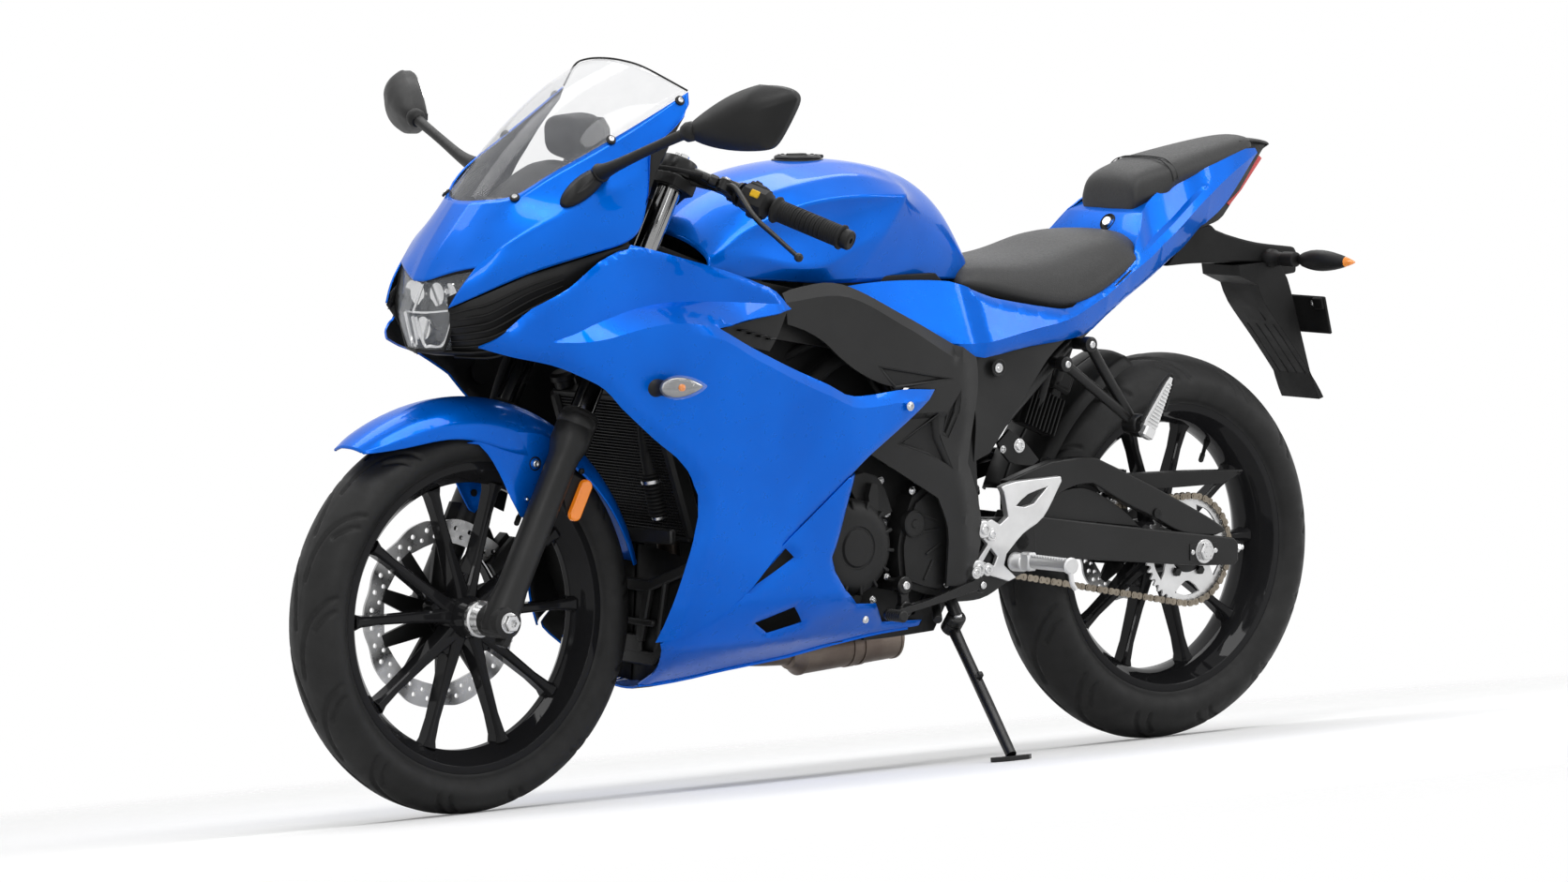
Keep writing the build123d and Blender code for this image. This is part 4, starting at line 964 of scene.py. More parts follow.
path = chain_path(SPROCKET_R, REAR, SMALL_SPROCKET_R, GEARBOX_SHAFT)
gaps = [(b - a).length for a, b in zip(path, path[1:])]
total = sum(gaps)
links = int(total / CHAIN_PITCH / 2) * 2
pins, walked, k = [], 0.0, 0
for i in range(links):
    want = total * i / links
    while walked + gaps[k] < want:
        walked += gaps[k]
        k += 1
    pins.append(path[k].lerp(path[k + 1], (want - walked) / gaps[k]))
s = Shape()
rollers = Shape()
for i, (a, b) in enumerate(zip(pins, pins[1:] + pins[:1])):
    d = (b - a).normalized()
    w = d.cross(SIDE)
    wide, y = (5.0, 4.6) if i % 2 else (5.6, 6.4)
    ring = [(a - d * wide, 0), (a - d * 3.4, wide * 0.86), (a + d * 1.6, wide * 0.95),
        ((a + b) / 2, wide * 0.66), (b - d * 1.6, wide * 0.95), (b + d * 3.4, wide * 0.86),
        (b + d * wide, 0), (b + d * 3.4, -wide * 0.86), (b - d * 1.6, -wide * 0.95),
        ((a + b) / 2, -wide * 0.66), (a + d * 1.6, -wide * 0.95), (a - d * 3.4, -wide * 0.86)]
    for side in (-1, 1):
        rows = [[p + w * q + SIDE * (CHAIN_Y + side * yy) for p, q in ring] for yy in (y, y + 1.5)]
        s.loft(rows)
    s.turned([(0, 2.2), (17, 2.2)], a + SIDE * (CHAIN_Y - 8.5), SIDE, 8)
    rollers.turned([(0, 3.9), (8.4, 3.9)], a + SIDE * (CHAIN_Y - 4.2), SIDE, 10)
s.piece("drive_chain_links", CHAIN, instead="drive_chain", angle=40)
rollers.piece("drive_chain_rollers", STEEL, angle=60)
print("chain links:", links)

# %% [markdown]
# ## Side fairings
# Each side is one big moulding. Its outline is drawn from the side, and a table
# says how far out it bulges. A ledge faces up along its shoulder, which is what
# catches the light, and its front and lower edges are rolled for stiffness.

# %% Body lines
LEVELS = (862, 720, 600, 450, 300, 190)
body_line = Surface(LEVELS, ((1440, (92, 112, 100, 90, 70, 40)), (1300, (150, 186, 190, 178, 140, 60)),
    (1170, (172, 213, 215, 206, 180, 100)), (1050, (180, 226, 228, 219, 196, 150)),
    (900, (184, 229, 230, 224, 210, 165)), (780, (180, 221, 226, 223, 212, 170)),
    (580, (160, 190, 198, 200, 195, 165))))
LEDGE_TOP = ((1330, 700), (1312, 703), (1249, 723), (1170, 742), (1104, 748), (1000, 744), (898, 736))
LEDGE_LOW = ((1330, 698), (1263, 699), (1166, 717), (1111, 719), (1051, 709), (997, 690), (898, 660))
LEDGE_SET = ((1330, 0), (1300, 7), (1249, 18), (1170, 30), (1104, 34), (898, 30))
WING_TOP = ((1111, 722), (1051, 709), (997, 680), (921, 646), (845, 616), (796, 597), (692, 601))
WING_FROM, WING_FADE, WING_BAND, WING_DEEP = 1111, 60, 17, 10
SIDE_OUTLINE = ((1172, 833), (1234, 810), (1291, 774), (1347, 747), (1380, 718), (1411, 691), (1369, 677),
    (1321, 665), (1281, 648), (1242, 627), (1215, 600), (1158, 551), (1112, 515), (1088, 480), (1079, 452),
    (1081, 411), (1093, 356), (1108, 295), (1114, 246), (1098, 250), (1042, 277), (1013, 297), (982, 323),
    (930, 384), (889, 417), (812, 476), (765, 509), (668, 564), (617, 597), (692, 601), (796, 597),
    (845, 616), (921, 646), (997, 680), (1051, 709), (1000, 718), (917, 726), (898, 730), (922, 756),
    (954, 770), (1004, 788), (1070, 807), (1137, 825))
FRONT_EDGE = SIDE_OUTLINE[5:19]


def far(points, x, z):
    """How far a point is from a line of points."""
    best = FAR_AWAY
    for (ax, az), (bx, bz) in zip(points, points[1:]):
        dx, dz = bx - ax, bz - az
        t = min(max(((x - ax) * dx + (z - az) * dz) / (dx * dx + dz * dz), 0), 1)
        best = min(best, hypot(x - ax - t * dx, z - az - t * dz))
    return best


def rolled(points, width, drop):
    """How far an edge is turned in, near a line."""
    return lambda x, z: drop * max(0.0, 1 - far(points, x, z) / width) ** 2


front_roll = rolled(FRONT_EDGE, 22, 15)
top_roll = rolled(SIDE_OUTLINE[36:] + SIDE_OUTLINE[:5], 9, 4)
rear_roll = rolled(SIDE_OUTLINE[23:29], 10, 4)


def side_surface(x, z):
    y = body_line(x, z)
    top, low, inset = line_at(LEDGE_TOP, x), line_at(LEDGE_LOW, x), line_at(LEDGE_SET, x)
    if z >= top:
        y -= inset * (1 - 0.55 * min(1, (z - top) / 80))
    elif z > low:
        y -= inset * (z - low) / max(top - low, 1)
    if x < WING_FROM:
        under, fade = line_at(WING_TOP, x) - z, min((WING_FROM - x) / WING_FADE, 1)
        y -= WING_DEEP * fade * max(0, min(1 - under / WING_BAND, 1 + under / 12, 1))
    return y - front_roll(x, z) - top_roll(x, z) - rear_roll(x, z)


ledge = [[(x, line_at(table, x)) for x in range(1328, 898, -18)] for table in (LEDGE_TOP, LEDGE_LOW)]
wing_edge = [(x, line_at(WING_TOP, x) - WING_BAND) for x in range(WING_FROM - 3, 700, -20)]
s = Shape().skin(SIDE_OUTLINE, side_surface, 7, limit=28, lines=(*ledge, wing_edge)).mirror()
s.piece("side_fairing_skins", BLUE, instead="side_fairings", thick=3.2, edge=0.9, angle=24, inner=SHADE_DARKENED_BLACK)

# %% [markdown]
# The belly pan carries on below and wraps under the engine. Two slots on each
# side let hot air out.

# %% Belly pan
belly_line = Surface((500, 300, 235, 200, 166), (
    (1135, (205, 182, 135, 89, 22)), (1050, (221, 198, 158, 105, 36)), (900, (226, 212, 166, 100, 52)),
    (780, (225, 214, 151, 93, 60)), (585, (200, 196, 133, 84, 66))))
BELLY_OUTLINE = ((1104, 243), (1082, 212), (1066, 190), (1060, 169), (1018, 172), (943, 186), (828, 200),
    (763, 214), (677, 228), (590, 233), (593, 242), (683, 246), (730, 281), (773, 284), (805, 307),
    (829, 337), (837, 359), (826, 386), (813, 427), (794, 482), (812, 476), (889, 417), (930, 384),
    (982, 323), (1013, 297), (1042, 277), (1098, 250))
SLOTS = (((984, 320), (922, 378), (906, 364), (958, 334)), ((957, 267), (895, 288), (866, 262), (925, 249)))
slot_roll = [rolled(list(slot) + [slot[0]], 12, 7) for slot in SLOTS]
blade_roll = rolled(BELLY_OUTLINE[9:20], 11, 6)
joint_roll = rolled(BELLY_OUTLINE[19:], 4, 1.6)
belly_front = rolled(BELLY_OUTLINE[:4], 12, 6)


def belly_surface(x, z):
    y = belly_line(x, z) - sum(roll(x, z) for roll in slot_roll)
    return y - blade_roll(x, z) - joint_roll(x, z) - belly_front(x, z)


s = Shape().skin(BELLY_OUTLINE, belly_surface, 8, SLOTS, limit=28).mirror()
rows = []
for x in range(1060, 592, -26):
    z = line_at(BELLY_OUTLINE[3:10], x)
    y = belly_surface(x, z)
    rows.append([(x, -y, z), (x, -y * 0.6, z - 4), (x, -y * 0.2, z - 5), (x, y * 0.2, z - 5),
        (x, y * 0.6, z - 4), (x, y, z)])
s.sheet(rows)
s.piece("belly_pan_skin", BLUE, instead="belly_pan", thick=3.0, edge=0.9, inner=SHADE_DARKENED_BLACK)

# %% [markdown]
# ## Nose, lamp and screen
# The nose is a cage of a few rows of points with some edges kept crisp: two
# thin ridges down its middle, and the brow over each side of the lamp. Its
# lower corners reach forward like claws around the lamp.

# %% A half cage that is completed on the other side
def half_cage(rows, crisp_columns, crisp_rows):
    """A cage from rows of left-side points; column 0 lies on the centre plane."""
    s = Shape()
    n = len(rows[0])
    s.sheet(rows)
    for j, crisp in crisp_columns.items():
        for i in range(len(rows) - 1):
            s.creases[(i * n + j, (i + 1) * n + j)] = crisp.get(i, 0) if isinstance(crisp, dict) else crisp
    for i, crisp in crisp_rows.items():
        for j in range(n - 1):
            s.creases[(i * n + j, i * n + j + 1)] = crisp.get(j, 0) if isinstance(crisp, dict) else crisp
    s.creases = {edge: crisp for edge, crisp in s.creases.items() if crisp}
    return s.mirror()


# %% Nose cowl
nose_rows = (
    ((1436, 0, 783), (1435, 13, 784), (1430, 27, 787), (1418, 60, 799),
     (1399, 92, 806), (1424, 86, 776), (1438, 77, 747)),
    ((1421, 0, 812), (1420, 15, 812), (1413, 32, 815), (1399, 66, 823),
     (1378, 104, 823), (1402, 98, 790), (1414, 92, 759)),
    ((1397, 0, 846), (1396, 17, 846), (1388, 38, 849), (1374, 74, 853),
     (1350, 119, 846), (1378, 113, 805), (1389, 106, 771)),
    ((1354, 0, 896), (1353, 20, 897), (1344, 44, 899), (1324, 84, 902),
     (1290, 137, 876), (1318, 141, 838), (1332, 131, 797)),
)
brow_rows = (
    nose_rows[3][3:],
    ((1291, 101, 928), (1254, 150, 893), (1274, 158, 852), (1280, 151, 812)),
    ((1256, 114, 948), (1219, 158, 908), (1232, 168, 862), (1229, 164, 826)),
    ((1182, 129, 984), (1156, 168, 926), (1180, 177, 876), (1174, 177, 838)),
    ((1107, 143, 1024), (1119, 164, 980), (1140, 173, 920), (1150, 174, 876)),
    ((1057, 152, 1052), (1060, 158, 1034), (1088, 164, 1002), (1140, 166, 972)),
)
cowl = half_cage(nose_rows, {1: 0.9, 2: 0.8, 4: 1, 6: 1}, {0: 1})
brows = half_cage(brow_rows, {0: 1, 1: 0.85, 3: 1}, {})
first = cowl.add(brows.points, brows.faces)
cowl.creases.update({(a + first, b + first): crisp for (a, b), crisp in brows.creases.items()})
cowl.piece("nose_cowl_skin", BLUE, instead="nose_cowl", thick=3.0, cage=3, weld=0.5, inner=SHADE_DARKENED_BLACK)

# %% Windscreen
screen_rows = (
    ((1354, 0, 895), (1351, 22, 896), (1343, 46, 898), (1322, 83, 903)),
    ((1298, 0, 962), (1296, 34, 961), (1287, 66, 956), (1254, 110, 948)),
    ((1229, 0, 1025), (1227, 40, 1022), (1214, 78, 1013), (1181, 126, 985)),
    ((1160, 0, 1071), (1158, 44, 1068), (1146, 84, 1058), (1106, 140, 1026)),
    ((1096, 0, 1099), (1094, 46, 1096), (1084, 86, 1086), (1056, 149, 1054)),
)
glass = half_cage(screen_rows, {3: 1}, {0: 1, 4: 0.3})
glass.piece("windscreen_sheet", SCREEN_CLEAR, instead="windscreen", thick=2.4, cage=3, weld=0.5)
s = Shape()
rim_line = [(x, y, z) for x, y, z in reversed(screen_rows[4])] + [(x, -y, z)
    for x, y, z in screen_rows[4][1:]]
s.tube(rim_line, 1.5, 8, 8)
s.piece("windscreen_rim", SHADE_DARKENED_BLACK)
SCREEN_HOLES = (((1323, 84, 904), (0.5, 0.5, 0.75)), ((1182, 130, 985), (0.2, 0.8, 0.6)),
    ((1072, 152, 1040), (0.1, 0.9, 0.45)))
s = Shape()
for at, outward in SCREEN_HOLES:
    s.turned([(-2, 7.5), (0.6, 7.5), (1.6, 6), (1.6, 0)], at, outward, 20)
s.mirror().piece("screen_grommets", BLACK)


def screws(name, rows, finish=ZINC, body="chassis", mirror=False):
    """One piece of cap screws from rows of (place, direction, radius, head, washer's radius)."""
    s = Shape()
    for at, direction, r, head, *washer in rows:
        s.bolt(at, direction, r, head, True, *washer)
    (s.mirror() if mirror else s).piece(name, finish, body)


screws("screen_screws", [(Vector(at) + Vector(out), out, 4.2, 2.4) for at, out in SCREEN_HOLES],
    mirror=True)

# %% [markdown]
# The lamp is one clear moulding over a bright reflector. It has an upper
# pointed pair and a lower V, split by a thin bar.

# %% Head lamp
def ring_rows(table):
    """Rows of (z, ((x, y), ...)) completed on the right side."""
    return [[(x, -y, z + dz) for x, y, dz in reversed(front) if y > 0]
        + [(x, y, z + dz) for x, y, dz in front] for z, front in table]


lens_table = ((781, ((1431, 0, 0), (1425, 28, 4), (1412, 60, 13), (1396, 90, 20), (1385, 90, 18))),
              (760, ((1441, 0, 0), (1434, 28, 0), (1424, 58, 0), (1414, 78, 0), (1392, 76, 0))),
              (737, ((1450, 0, 0), (1442, 28, 0), (1430, 54, 0), (1418, 70, 0), (1392, 66, 0))),
              (712, ((1443, 0, 0), (1437, 24, 0), (1429, 46, 0), (1419, 58, 0), (1392, 54, 0))),
              (685, ((1435, 0, 0), (1431, 18, 0), (1426, 34, 0), (1420, 44, 0), (1392, 42, 0))))
s = Shape().sheet(ring_rows(lens_table))
s.piece("headlight_lens", LAMP_CLEAR, instead="headlight", thick=2.0, edge=1.2, angle=12)
shell_table = [(z, tuple((x - 22, y * 0.84, dz) for x, y, dz in front[:4])) for z, front in lens_table]
s = Shape().sheet(ring_rows(shell_table))
s.piece("headlight_reflector", LAMP_SHELL, thick=2, cage=2)
s = Shape()
for y in (0, 24, 46):
    for side in ((1,) if y == 0 else (1, -1)):
        s.turned([(-18, 17), (-15, 17.5), (-6, 13), (0, 6), (-4, 4), (-4, 0)],
            (1408 - y * 0.3, side * y, 764 if y else 714), (-1, 0, 0), 28)
s.piece("headlight_bowls", REFLECTOR)
s = Shape().tube([(1396, 91, 803), (1416, 78, 760), (1421, 70, 738), (1421, 59, 712), (1422, 45, 684)],
    2.6, 8, 8)
s.tube([(1422, 45, 684), (1432, 20, 682), (1437, 0, 682)], 2.4, 8)
s.tube([(1433, 0, 783), (1427, 28, 787), (1413, 61, 797), (1396, 91, 803)], 1.8, 8)
s.mirror().piece("headlight_frame", SHADE_DARKENED_BLACK)
s = Shape().tube([(1426, 0, 778), (1444, 0, 738)], 2.2, 8)
s.tube([(1444, 1, 738), (1434, 30, 739), (1416, 70, 744)], 1.8, 8)
s.tube([(1442, 4, 732), (1430, 8, 692), (1426, 20, 689), (1418, 38, 692), (1414, 60, 734)], 3.0, 8, 6)
for k in range(6):
    s.tube([(1410 - k * 3, 12 + k * 12, 776 + k * 2.4), (1400 - k * 2, 14 + k * 10, 752)], (0.8, 1.5), 6)
for k in range(4):
    y = 14 + k * 9
    s.block((1410 - y * 0.2, y, 712 - k * 1.5), (3, 2.6, 34 - k * 3), (1, 0, 0), (0, 0.1, 1), edge=0.8)
s.mirror().piece("headlight_ribs", REFLECTOR)

# %% Slatted black infill beside the lamp
infill_rows = (
    ((1436, 78, 745), (1424, 62, 716), (1412, 50, 690), (1404, 46, 672)),
    ((1412, 92, 757), (1402, 84, 722), (1392, 76, 694), (1386, 72, 672)),
    ((1388, 106, 768), (1378, 104, 732), (1371, 102, 704), (1368, 100, 676)),
    ((1332, 129, 793), (1330, 126, 764), (1328, 122, 732), (1326, 120, 694)),
    ((1280, 148, 808), (1280, 144, 786), (1280, 140, 762), (1280, 134, 730)),
    ((1229, 160, 822), (1231, 156, 808), (1234, 152, 792), (1238, 148, 772)),
    ((1178, 170, 834), (1180, 167, 828), (1182, 164, 820), (1184, 160, 812)),
)
s = Shape().sheet(infill_rows)
for k in range(8):
    t = (k + 0.6) / 8
    line = []
    for row, slide in zip(infill_rows[:5], (0, 0.03, 0.06, 0.1, 0.14)):
        q = min(t + slide, 1) * (len(row) - 1)
        j = min(int(q), len(row) - 2)
        line.append(Vector(row[j]).lerp(Vector(row[j + 1]), q - j) + Vector((0.5, 1.2, 0)))
    s.tube(line, (0.8, 1.7, 1.8, 1.5, 0.6), 6, 4)
s.mirror().piece("nose_infill", SHADE_DARKENED_BLACK, instead="inner_fairing", thick=1.6)
# A dark strip behind the seam of nose and infill: painted shade where the gap opens.
s = Shape().sheet([[Vector(row[0]) + Vector((-2, -8, 18)), Vector(row[0]) + Vector((-2, -6, -4))]
                   for row in infill_rows])
s.mirror().piece("nose_seam_shade_backing", SHADE_DARKENED_BLACK, thick=1.6)
s = Shape().sheet((
    ((1434, 0, 681), (1430, 20, 681), (1421, 44, 683)), ((1405, 0, 676), (1398, 46, 677), (1392, 76, 682)),
    ((1360, 0, 675), (1352, 70, 677), (1344, 112, 684)), ((1300, 0, 678), (1292, 84, 681), (1282, 140, 688)),
    ((1230, 0, 686), (1224, 90, 690), (1216, 150, 708)))).mirror()
s.piece("nose_underside", SHADE_DARKENED_BLACK, thick=2, weld=0.5)

# %% [markdown]
# ## Tank
# The tank is pressed steel: a flat raised middle round the cap, a shoulder on
# each side, a scooped hollow for the knee, and a crisp edge where the rear face
# begins. A cage of rows across the bike holds those lines.

# %% Tank
tank_rows = (
    ((1010, 0, 842), (1008, 50, 838), (1004, 100, 822), (1003, 126, 806),
     (1004, 130, 800), (1005, 133, 790), (1008, 130, 774)),
    ((950, 0, 890), (948, 56, 882), (942, 104, 864), (943, 133, 836),
     (949, 133, 827), (956, 142, 816), (962, 134, 775)),
    ((880, 0, 921), (878, 56, 913), (884, 114, 895), (868, 146, 872),
     (874, 129, 841), (868, 146, 790), (876, 136, 768)),
    ((812, 0, 936), (809, 56, 929), (822, 117, 910), (797, 152, 887),
     (806, 128, 848), (815, 148, 784), (822, 136, 763)),
    ((740, 0, 943), (740, 58, 937), (738, 117, 922), (735, 153, 889),
     (748, 129, 856), (768, 149, 796), (785, 137, 760)),
    ((690, 0, 943), (690, 60, 937), (684, 117, 920), (686, 153, 888),
     (700, 141, 868), (728, 150, 820), (752, 138, 760)),
    ((628, 0, 937), (624, 64, 928), (620, 114, 901), (634, 146, 888),
     (652, 148, 866), (681, 147, 826), (737, 138, 760)),
    ((560, 0, 924), (560, 60, 912), (574, 98, 884), (590, 120, 862),
     (604, 126, 842), (622, 128, 810), (650, 124, 758)),
    ((505, 0, 893), (508, 50, 882), (520, 82, 860), (533, 100, 838),
     (542, 106, 820), (552, 108, 796), (565, 106, 756)),
    ((470, 0, 855), (472, 42, 848), (480, 68, 832), (487, 82, 814),
     (491, 87, 802), (495, 90, 786), (502, 90, 754)),
    ((441, 0, 800), (442, 34, 796), (445, 56, 787), (449, 66, 779),
     (451, 70, 772), (453, 72, 764), (455, 72, 752)),
)
tank = half_cage(tank_rows, {1: {2: 0.75, 3: 0.8, 4: 0.8, 5: 0.7},
    2: {1: 0.7, 2: 0.9, 3: 0.9, 4: 0.9, 5: 0.9}, 3: {1: 0.6, 2: 1, 3: 1, 4: 1, 5: 0.8},
    5: {1: 0.7, 2: 0.95, 3: 0.95, 4: 0.95, 5: 0.6}, 6: 1}, {0: 1, 6: {1: 0.5, 2: 1, 3: 1, 4: 1, 5: 1},
    10: 1})
tank.piece("tank_shell", BLUE, instead="fuel_tank", thick=2.0, cage=3, weld=0.5, inner=SHADE_DARKENED_BLACK)

# A dark strip under the tank's lower edge: painted shade in the gap to the tail.
s = Shape().plate(((820, 740), (820, 767), (560, 767), (540, 748)), 112, 127, limit=30)
s.mirror().piece("tank_seam_shade_backing", SHADE_DARKENED_BLACK, edge=2)

# %% Filler cap with its ring of screws and key cover
CAP = Vector((727, 0, 938))
s = Shape().turned([(-16, 38), (-1, 40), (1.6, 39.4), (2.2, 37), (2.2, 20), (-30, 20)], CAP, (0, 0, 1), 64)
s.piece("filler_ring", SATIN, edge=0.3)
s = Shape().turned([(2.6, 20), (2.6, 35), (4, 36), (6.4, 35), (8, 32.5), (8.2, 24), (7.2, 22), (7.2, 0)],
    CAP, (0, 0, 1), 64)
for k in range(7):
    a = 2 * pi * (k + 0.5) / 7
    s.bolt(CAP + Vector((28.5 * cos(a), 28.5 * sin(a), 7.6)), (0, 0, 1), 3, 1.8)
s.block(CAP + Vector((2, 0, 8.6)), (30, 16, 4), edge=1.5)
s.rod(CAP + Vector((-41, -9.5, 5)), CAP + Vector((-41, 9.5, 5)), 3, 12)
s.block(CAP + Vector((-36, 0, 5)), (10, 16, 3.4), edge=0.8)
s.piece("fuel_cap_lid_top", SATIN, "fuel_cap", "fuel_cap", angle=30)

# %% [markdown]
# ## Tail
# The side panel runs from under the tank to the tail tip. One crisp line
# follows it all the way: above the line the panel faces up, below it down.

# %% Tail panels
CREST = ((788, 712), (700, 690), (600, 668), (518, 661), (403, 677), (320, 690), (225, 722), (163, 752),
    (76, 794), (-47, 866), (-150, 916), (-240, 940))
CREST_Y = ((788, 158), (700, 170), (600, 180), (518, 184), (403, 174), (320, 165), (225, 145), (163, 129),
    (76, 108), (-47, 82), (-150, 56), (-240, 16))
TAIL_OUTLINE = ((788, 749), (712, 757), (633, 759), (542, 754), (504, 741), (465, 727), (383, 712),
    (320, 704), (290, 712), (225, 738), (178, 758), (152, 775), (138, 798), (124, 813), (104, 842),
    (88, 856), (58, 873), (39, 884), (-18, 900), (-93, 924), (-134, 933), (-178, 934), (-182, 926),
    (-158, 906), (-98, 846), (-40, 816), (2, 787), (47, 766), (70, 753), (172, 708), (224, 683),
    (262, 664), (321, 656), (406, 650), (486, 640), (520, 641), (594, 667), (695, 708))
seat_edge = rolled(TAIL_OUTLINE[4:12], 12, 9)
low_edge = rolled(TAIL_OUTLINE[25:], 9, 4)


def tail_surface(x, z):
    crest, y = line_at(CREST, x), line_at(CREST_Y, x)
    if z >= crest:
        y -= (z - crest) * (0.40 if x > 260 else 0.34)
    else:
        y -= (crest - z) * 0.28
    y -= 9 * soft_step(500, 522, x) * soft_step(-26, 0, z - crest)
    if -60 < x < 130:
        y -= 8 * max(0, min(1, (z - crest - 14) / 5)) * soft_step(-60, 10, x) * soft_step(-130, -90, -x)
    return y - seat_edge(x, z) - low_edge(x, z)


crease = [[(x, line_at(CREST, x)) for x in range(786, -230, -20)]]
crease += [[(x, line_at(CREST, x) + up) for x in range(128, -56, -16)] for up in (14, 19)]
s = Shape().skin(TAIL_OUTLINE, tail_surface, 7, limit=28, lines=crease).mirror()
s.piece("tail_side_panels", BLUE, instead="tail_cowl", thick=2.8, edge=0.9, angle=24, inner=SHADE_DARKENED_BLACK)
wall = []
for z, xs in ((790, (134, 136, 136, 140)), (806, (130, 132, 132, 130)), (820, (122, 124, 124, 119)),
        (838, (110, 112, 112, 107)), (842, (104, 106, 106, 103))):
    edge = tail_surface(xs[3], z) - 2
    wall.append([(xs[0], 0, z), (xs[1], 36, z), (xs[2], edge - 16, z), (xs[3], edge, z)])
for x, z in ((86, 852), (56, 868), (0, 884), (-100, 908), (-170, 932)):
    edge = tail_surface(x, z) - 2
    wall.append([(x, 0, z), (x, edge * 0.4, z), (x, edge * 0.8, z), (x, edge, z)])
s = Shape().sheet(wall)
s.mirror().piece("tail_deck", BLUE, thick=2.4, edge=2.5, segments=2, weld=0.5, inner=SHADE_DARKENED_BLACK)
s = Shape().sheet((
    ((-140, 0, 951), (-140, 28, 950), (-140, 46, 946)), ((-180, 0, 951), (-180, 26, 950), (-180, 40, 946)),
    ((-215, 0, 947), (-215, 20, 946), (-214, 28, 942)), ((-241, 0, 941), (-240, 10, 941), (-238, 14, 938)),
    ((-232, 0, 932), (-228, 12, 932), (-222, 18, 934)), ((-180, 0, 912), (-176, 24, 912), (-170, 40, 920)),
    ((-70, 0, 834), (-66, 40, 834), (-60, 66, 842))))
s.mirror().piece("tail_tip", BLACK, thick=2.4, cage=2, weld=0.5)
lamp = [[(x + 0.92 * half * abs(t), half * t, z) for x, z, half in ((-228, 917, 17), (-206, 893, 26),
    (-184, 869, 35), (-158, 845, 44))] for t in (-1, -0.5, 0, 0.5, 1)]
ends = [[(x + 14, y, z + 10) for x, y, z in lamp[k]] for k in (0, -1)]
s = Shape().sheet([ends[0], *lamp, ends[1]])
s.piece("tail_lamp_lens", RED, instead="tail_light", thick=3, edge=0.8)
s = Shape().skin(((-150, 936), (-200, 944), (-222, 938), (-192, 914), (-122, 842), (-96, 822), (-40, 812),
    (-60, 850), (-120, 890)), lambda x, z: tail_surface(x, z) - 5, 9, limit=30)
s.mirror().piece("tail_edge_trim", BLACK, thick=3, edge=0.8)
LOCK, LOCK_FACE = Vector((120, 25, 825)), Vector((0.86, 0.1, 0.5))
s = Shape().turned([(-4, 15), (2, 14.5), (3, 13), (1, 12), (1, 0)], LOCK, LOCK_FACE, 28)
s.piece("seat_lock_cup", SHADE_DARKENED_BLACK)
s = Shape().turned([(-2, 8.5), (4.5, 8), (5.5, 7), (5.5, 0)], LOCK, LOCK_FACE, 24)
s.block(LOCK + LOCK_FACE.normalized() * 5.6, (1.6, 1.6, 7), LOCK_FACE, (0, 0, 1), edge=0.3)
s.piece("seat_lock", ZINC, angle=30)

# %% [markdown]
# ## Seats
# A sport seat is moulded foam under taut vinyl. Each is a closed, crowned form.
# Its sides pull in under its edge. The rear pad has a separate front face that
# is sewn on, so a pair of seams runs over it.

# %% Seat pads
def pad(name, rows, node, crisp):
    """A closed cushion from stations of (x, ((y, z), ...)), centre top to bottom edge."""
    s = Shape()
    rings = []
    for x, half in rows:
        left = [(x, y, z) for y, z in half]
        base = (x, 0, half[-1][1] + 2)
        rings.append([*left, base, *[(p[0], -p[1], p[2]) for p in reversed(left[1:])]])
    s.loft(rings)
    m = len(rings[0])
    for i in range(len(rings) - 1):
        for j, c in crisp.items():
            for k in {j, (m - j) % m}:
                s.creases[(i * m + k, (i + 1) * m + k)] = c
    s.piece(name, VINYL, instead=node, cage=2)


rider_rows = (
    (492, ((0, 762), (40, 760), (74, 754), (90, 746), (88, 738))),
    (478, ((0, 781), (46, 780), (84, 770), (102, 750), (98, 730))),
    (430, ((0, 783), (60, 781), (104, 770), (122, 738), (114, 718))),
    (372, ((0, 783), (70, 780), (120, 764), (140, 722), (130, 704))),
    (310, ((0, 790), (78, 787), (130, 762), (149, 712), (138, 694))),
    (262, ((0, 803), (84, 799), (132, 768), (149, 722), (138, 704))),
    (215, ((0, 814), (88, 811), (130, 782), (143, 744), (132, 726))),
    (168, ((0, 818), (84, 815), (120, 793), (132, 766), (120, 750))),
    (128, ((0, 817), (70, 813), (102, 797), (112, 778), (102, 764))),
    (92, ((0, 811), (50, 808), (74, 796), (84, 784), (76, 774))),
    (76, ((0, 800), (34, 798), (52, 792), (60, 786), (54, 780))),
)
pad("rider_seat_pad", rider_rows, "rider_seat", {3: 0.45, 4: 0.8})
pillion_rows = (
    (99, ((0, 866), (38, 866), (52, 860), (58, 852), (54, 845))),
    (98, ((0, 892), (42, 891), (58, 882), (64, 860), (58, 841))),
    (84, ((0, 907), (46, 905), (64, 893), (70, 864), (62, 842))),
    (56, ((0, 917), (50, 914), (70, 899), (76, 874), (68, 852))),
    (36, ((0, 922), (52, 919), (74, 905), (79, 884), (71, 866))),
    (24, ((0, 927), (54, 923), (75, 910), (79, 896), (72, 880))),
    (0, ((0, 932), (54, 928), (73, 915), (77, 902), (70, 888))),
    (-80, ((0, 947), (46, 943), (62, 932), (66, 918), (59, 906))),
    (-140, ((0, 956), (38, 952), (51, 943), (54, 932), (48, 922))),
    (-168, ((0, 957), (32, 954), (43, 947), (46, 938), (40, 930))),
    (-178, ((0, 950), (24, 948), (31, 944), (34, 939), (28, 934))),
)
pad("pillion_seat_pad", pillion_rows, "pillion_seat", {2: 0.2, 3: 0.3, 4: 0.8})
s = Shape()
for dx in (0, -9):
    s.tube([(x + dx, y, z - dx * 0.2) for x, y, z in ((33, 0, 924), (33, 30, 923), (33, 52, 920),
        (32, 70, 909), (31, 77, 898), (30, 79, 888))], 0.9, 6, 6)
s.mirror().piece("pillion_seams", THREAD)
s = Shape()
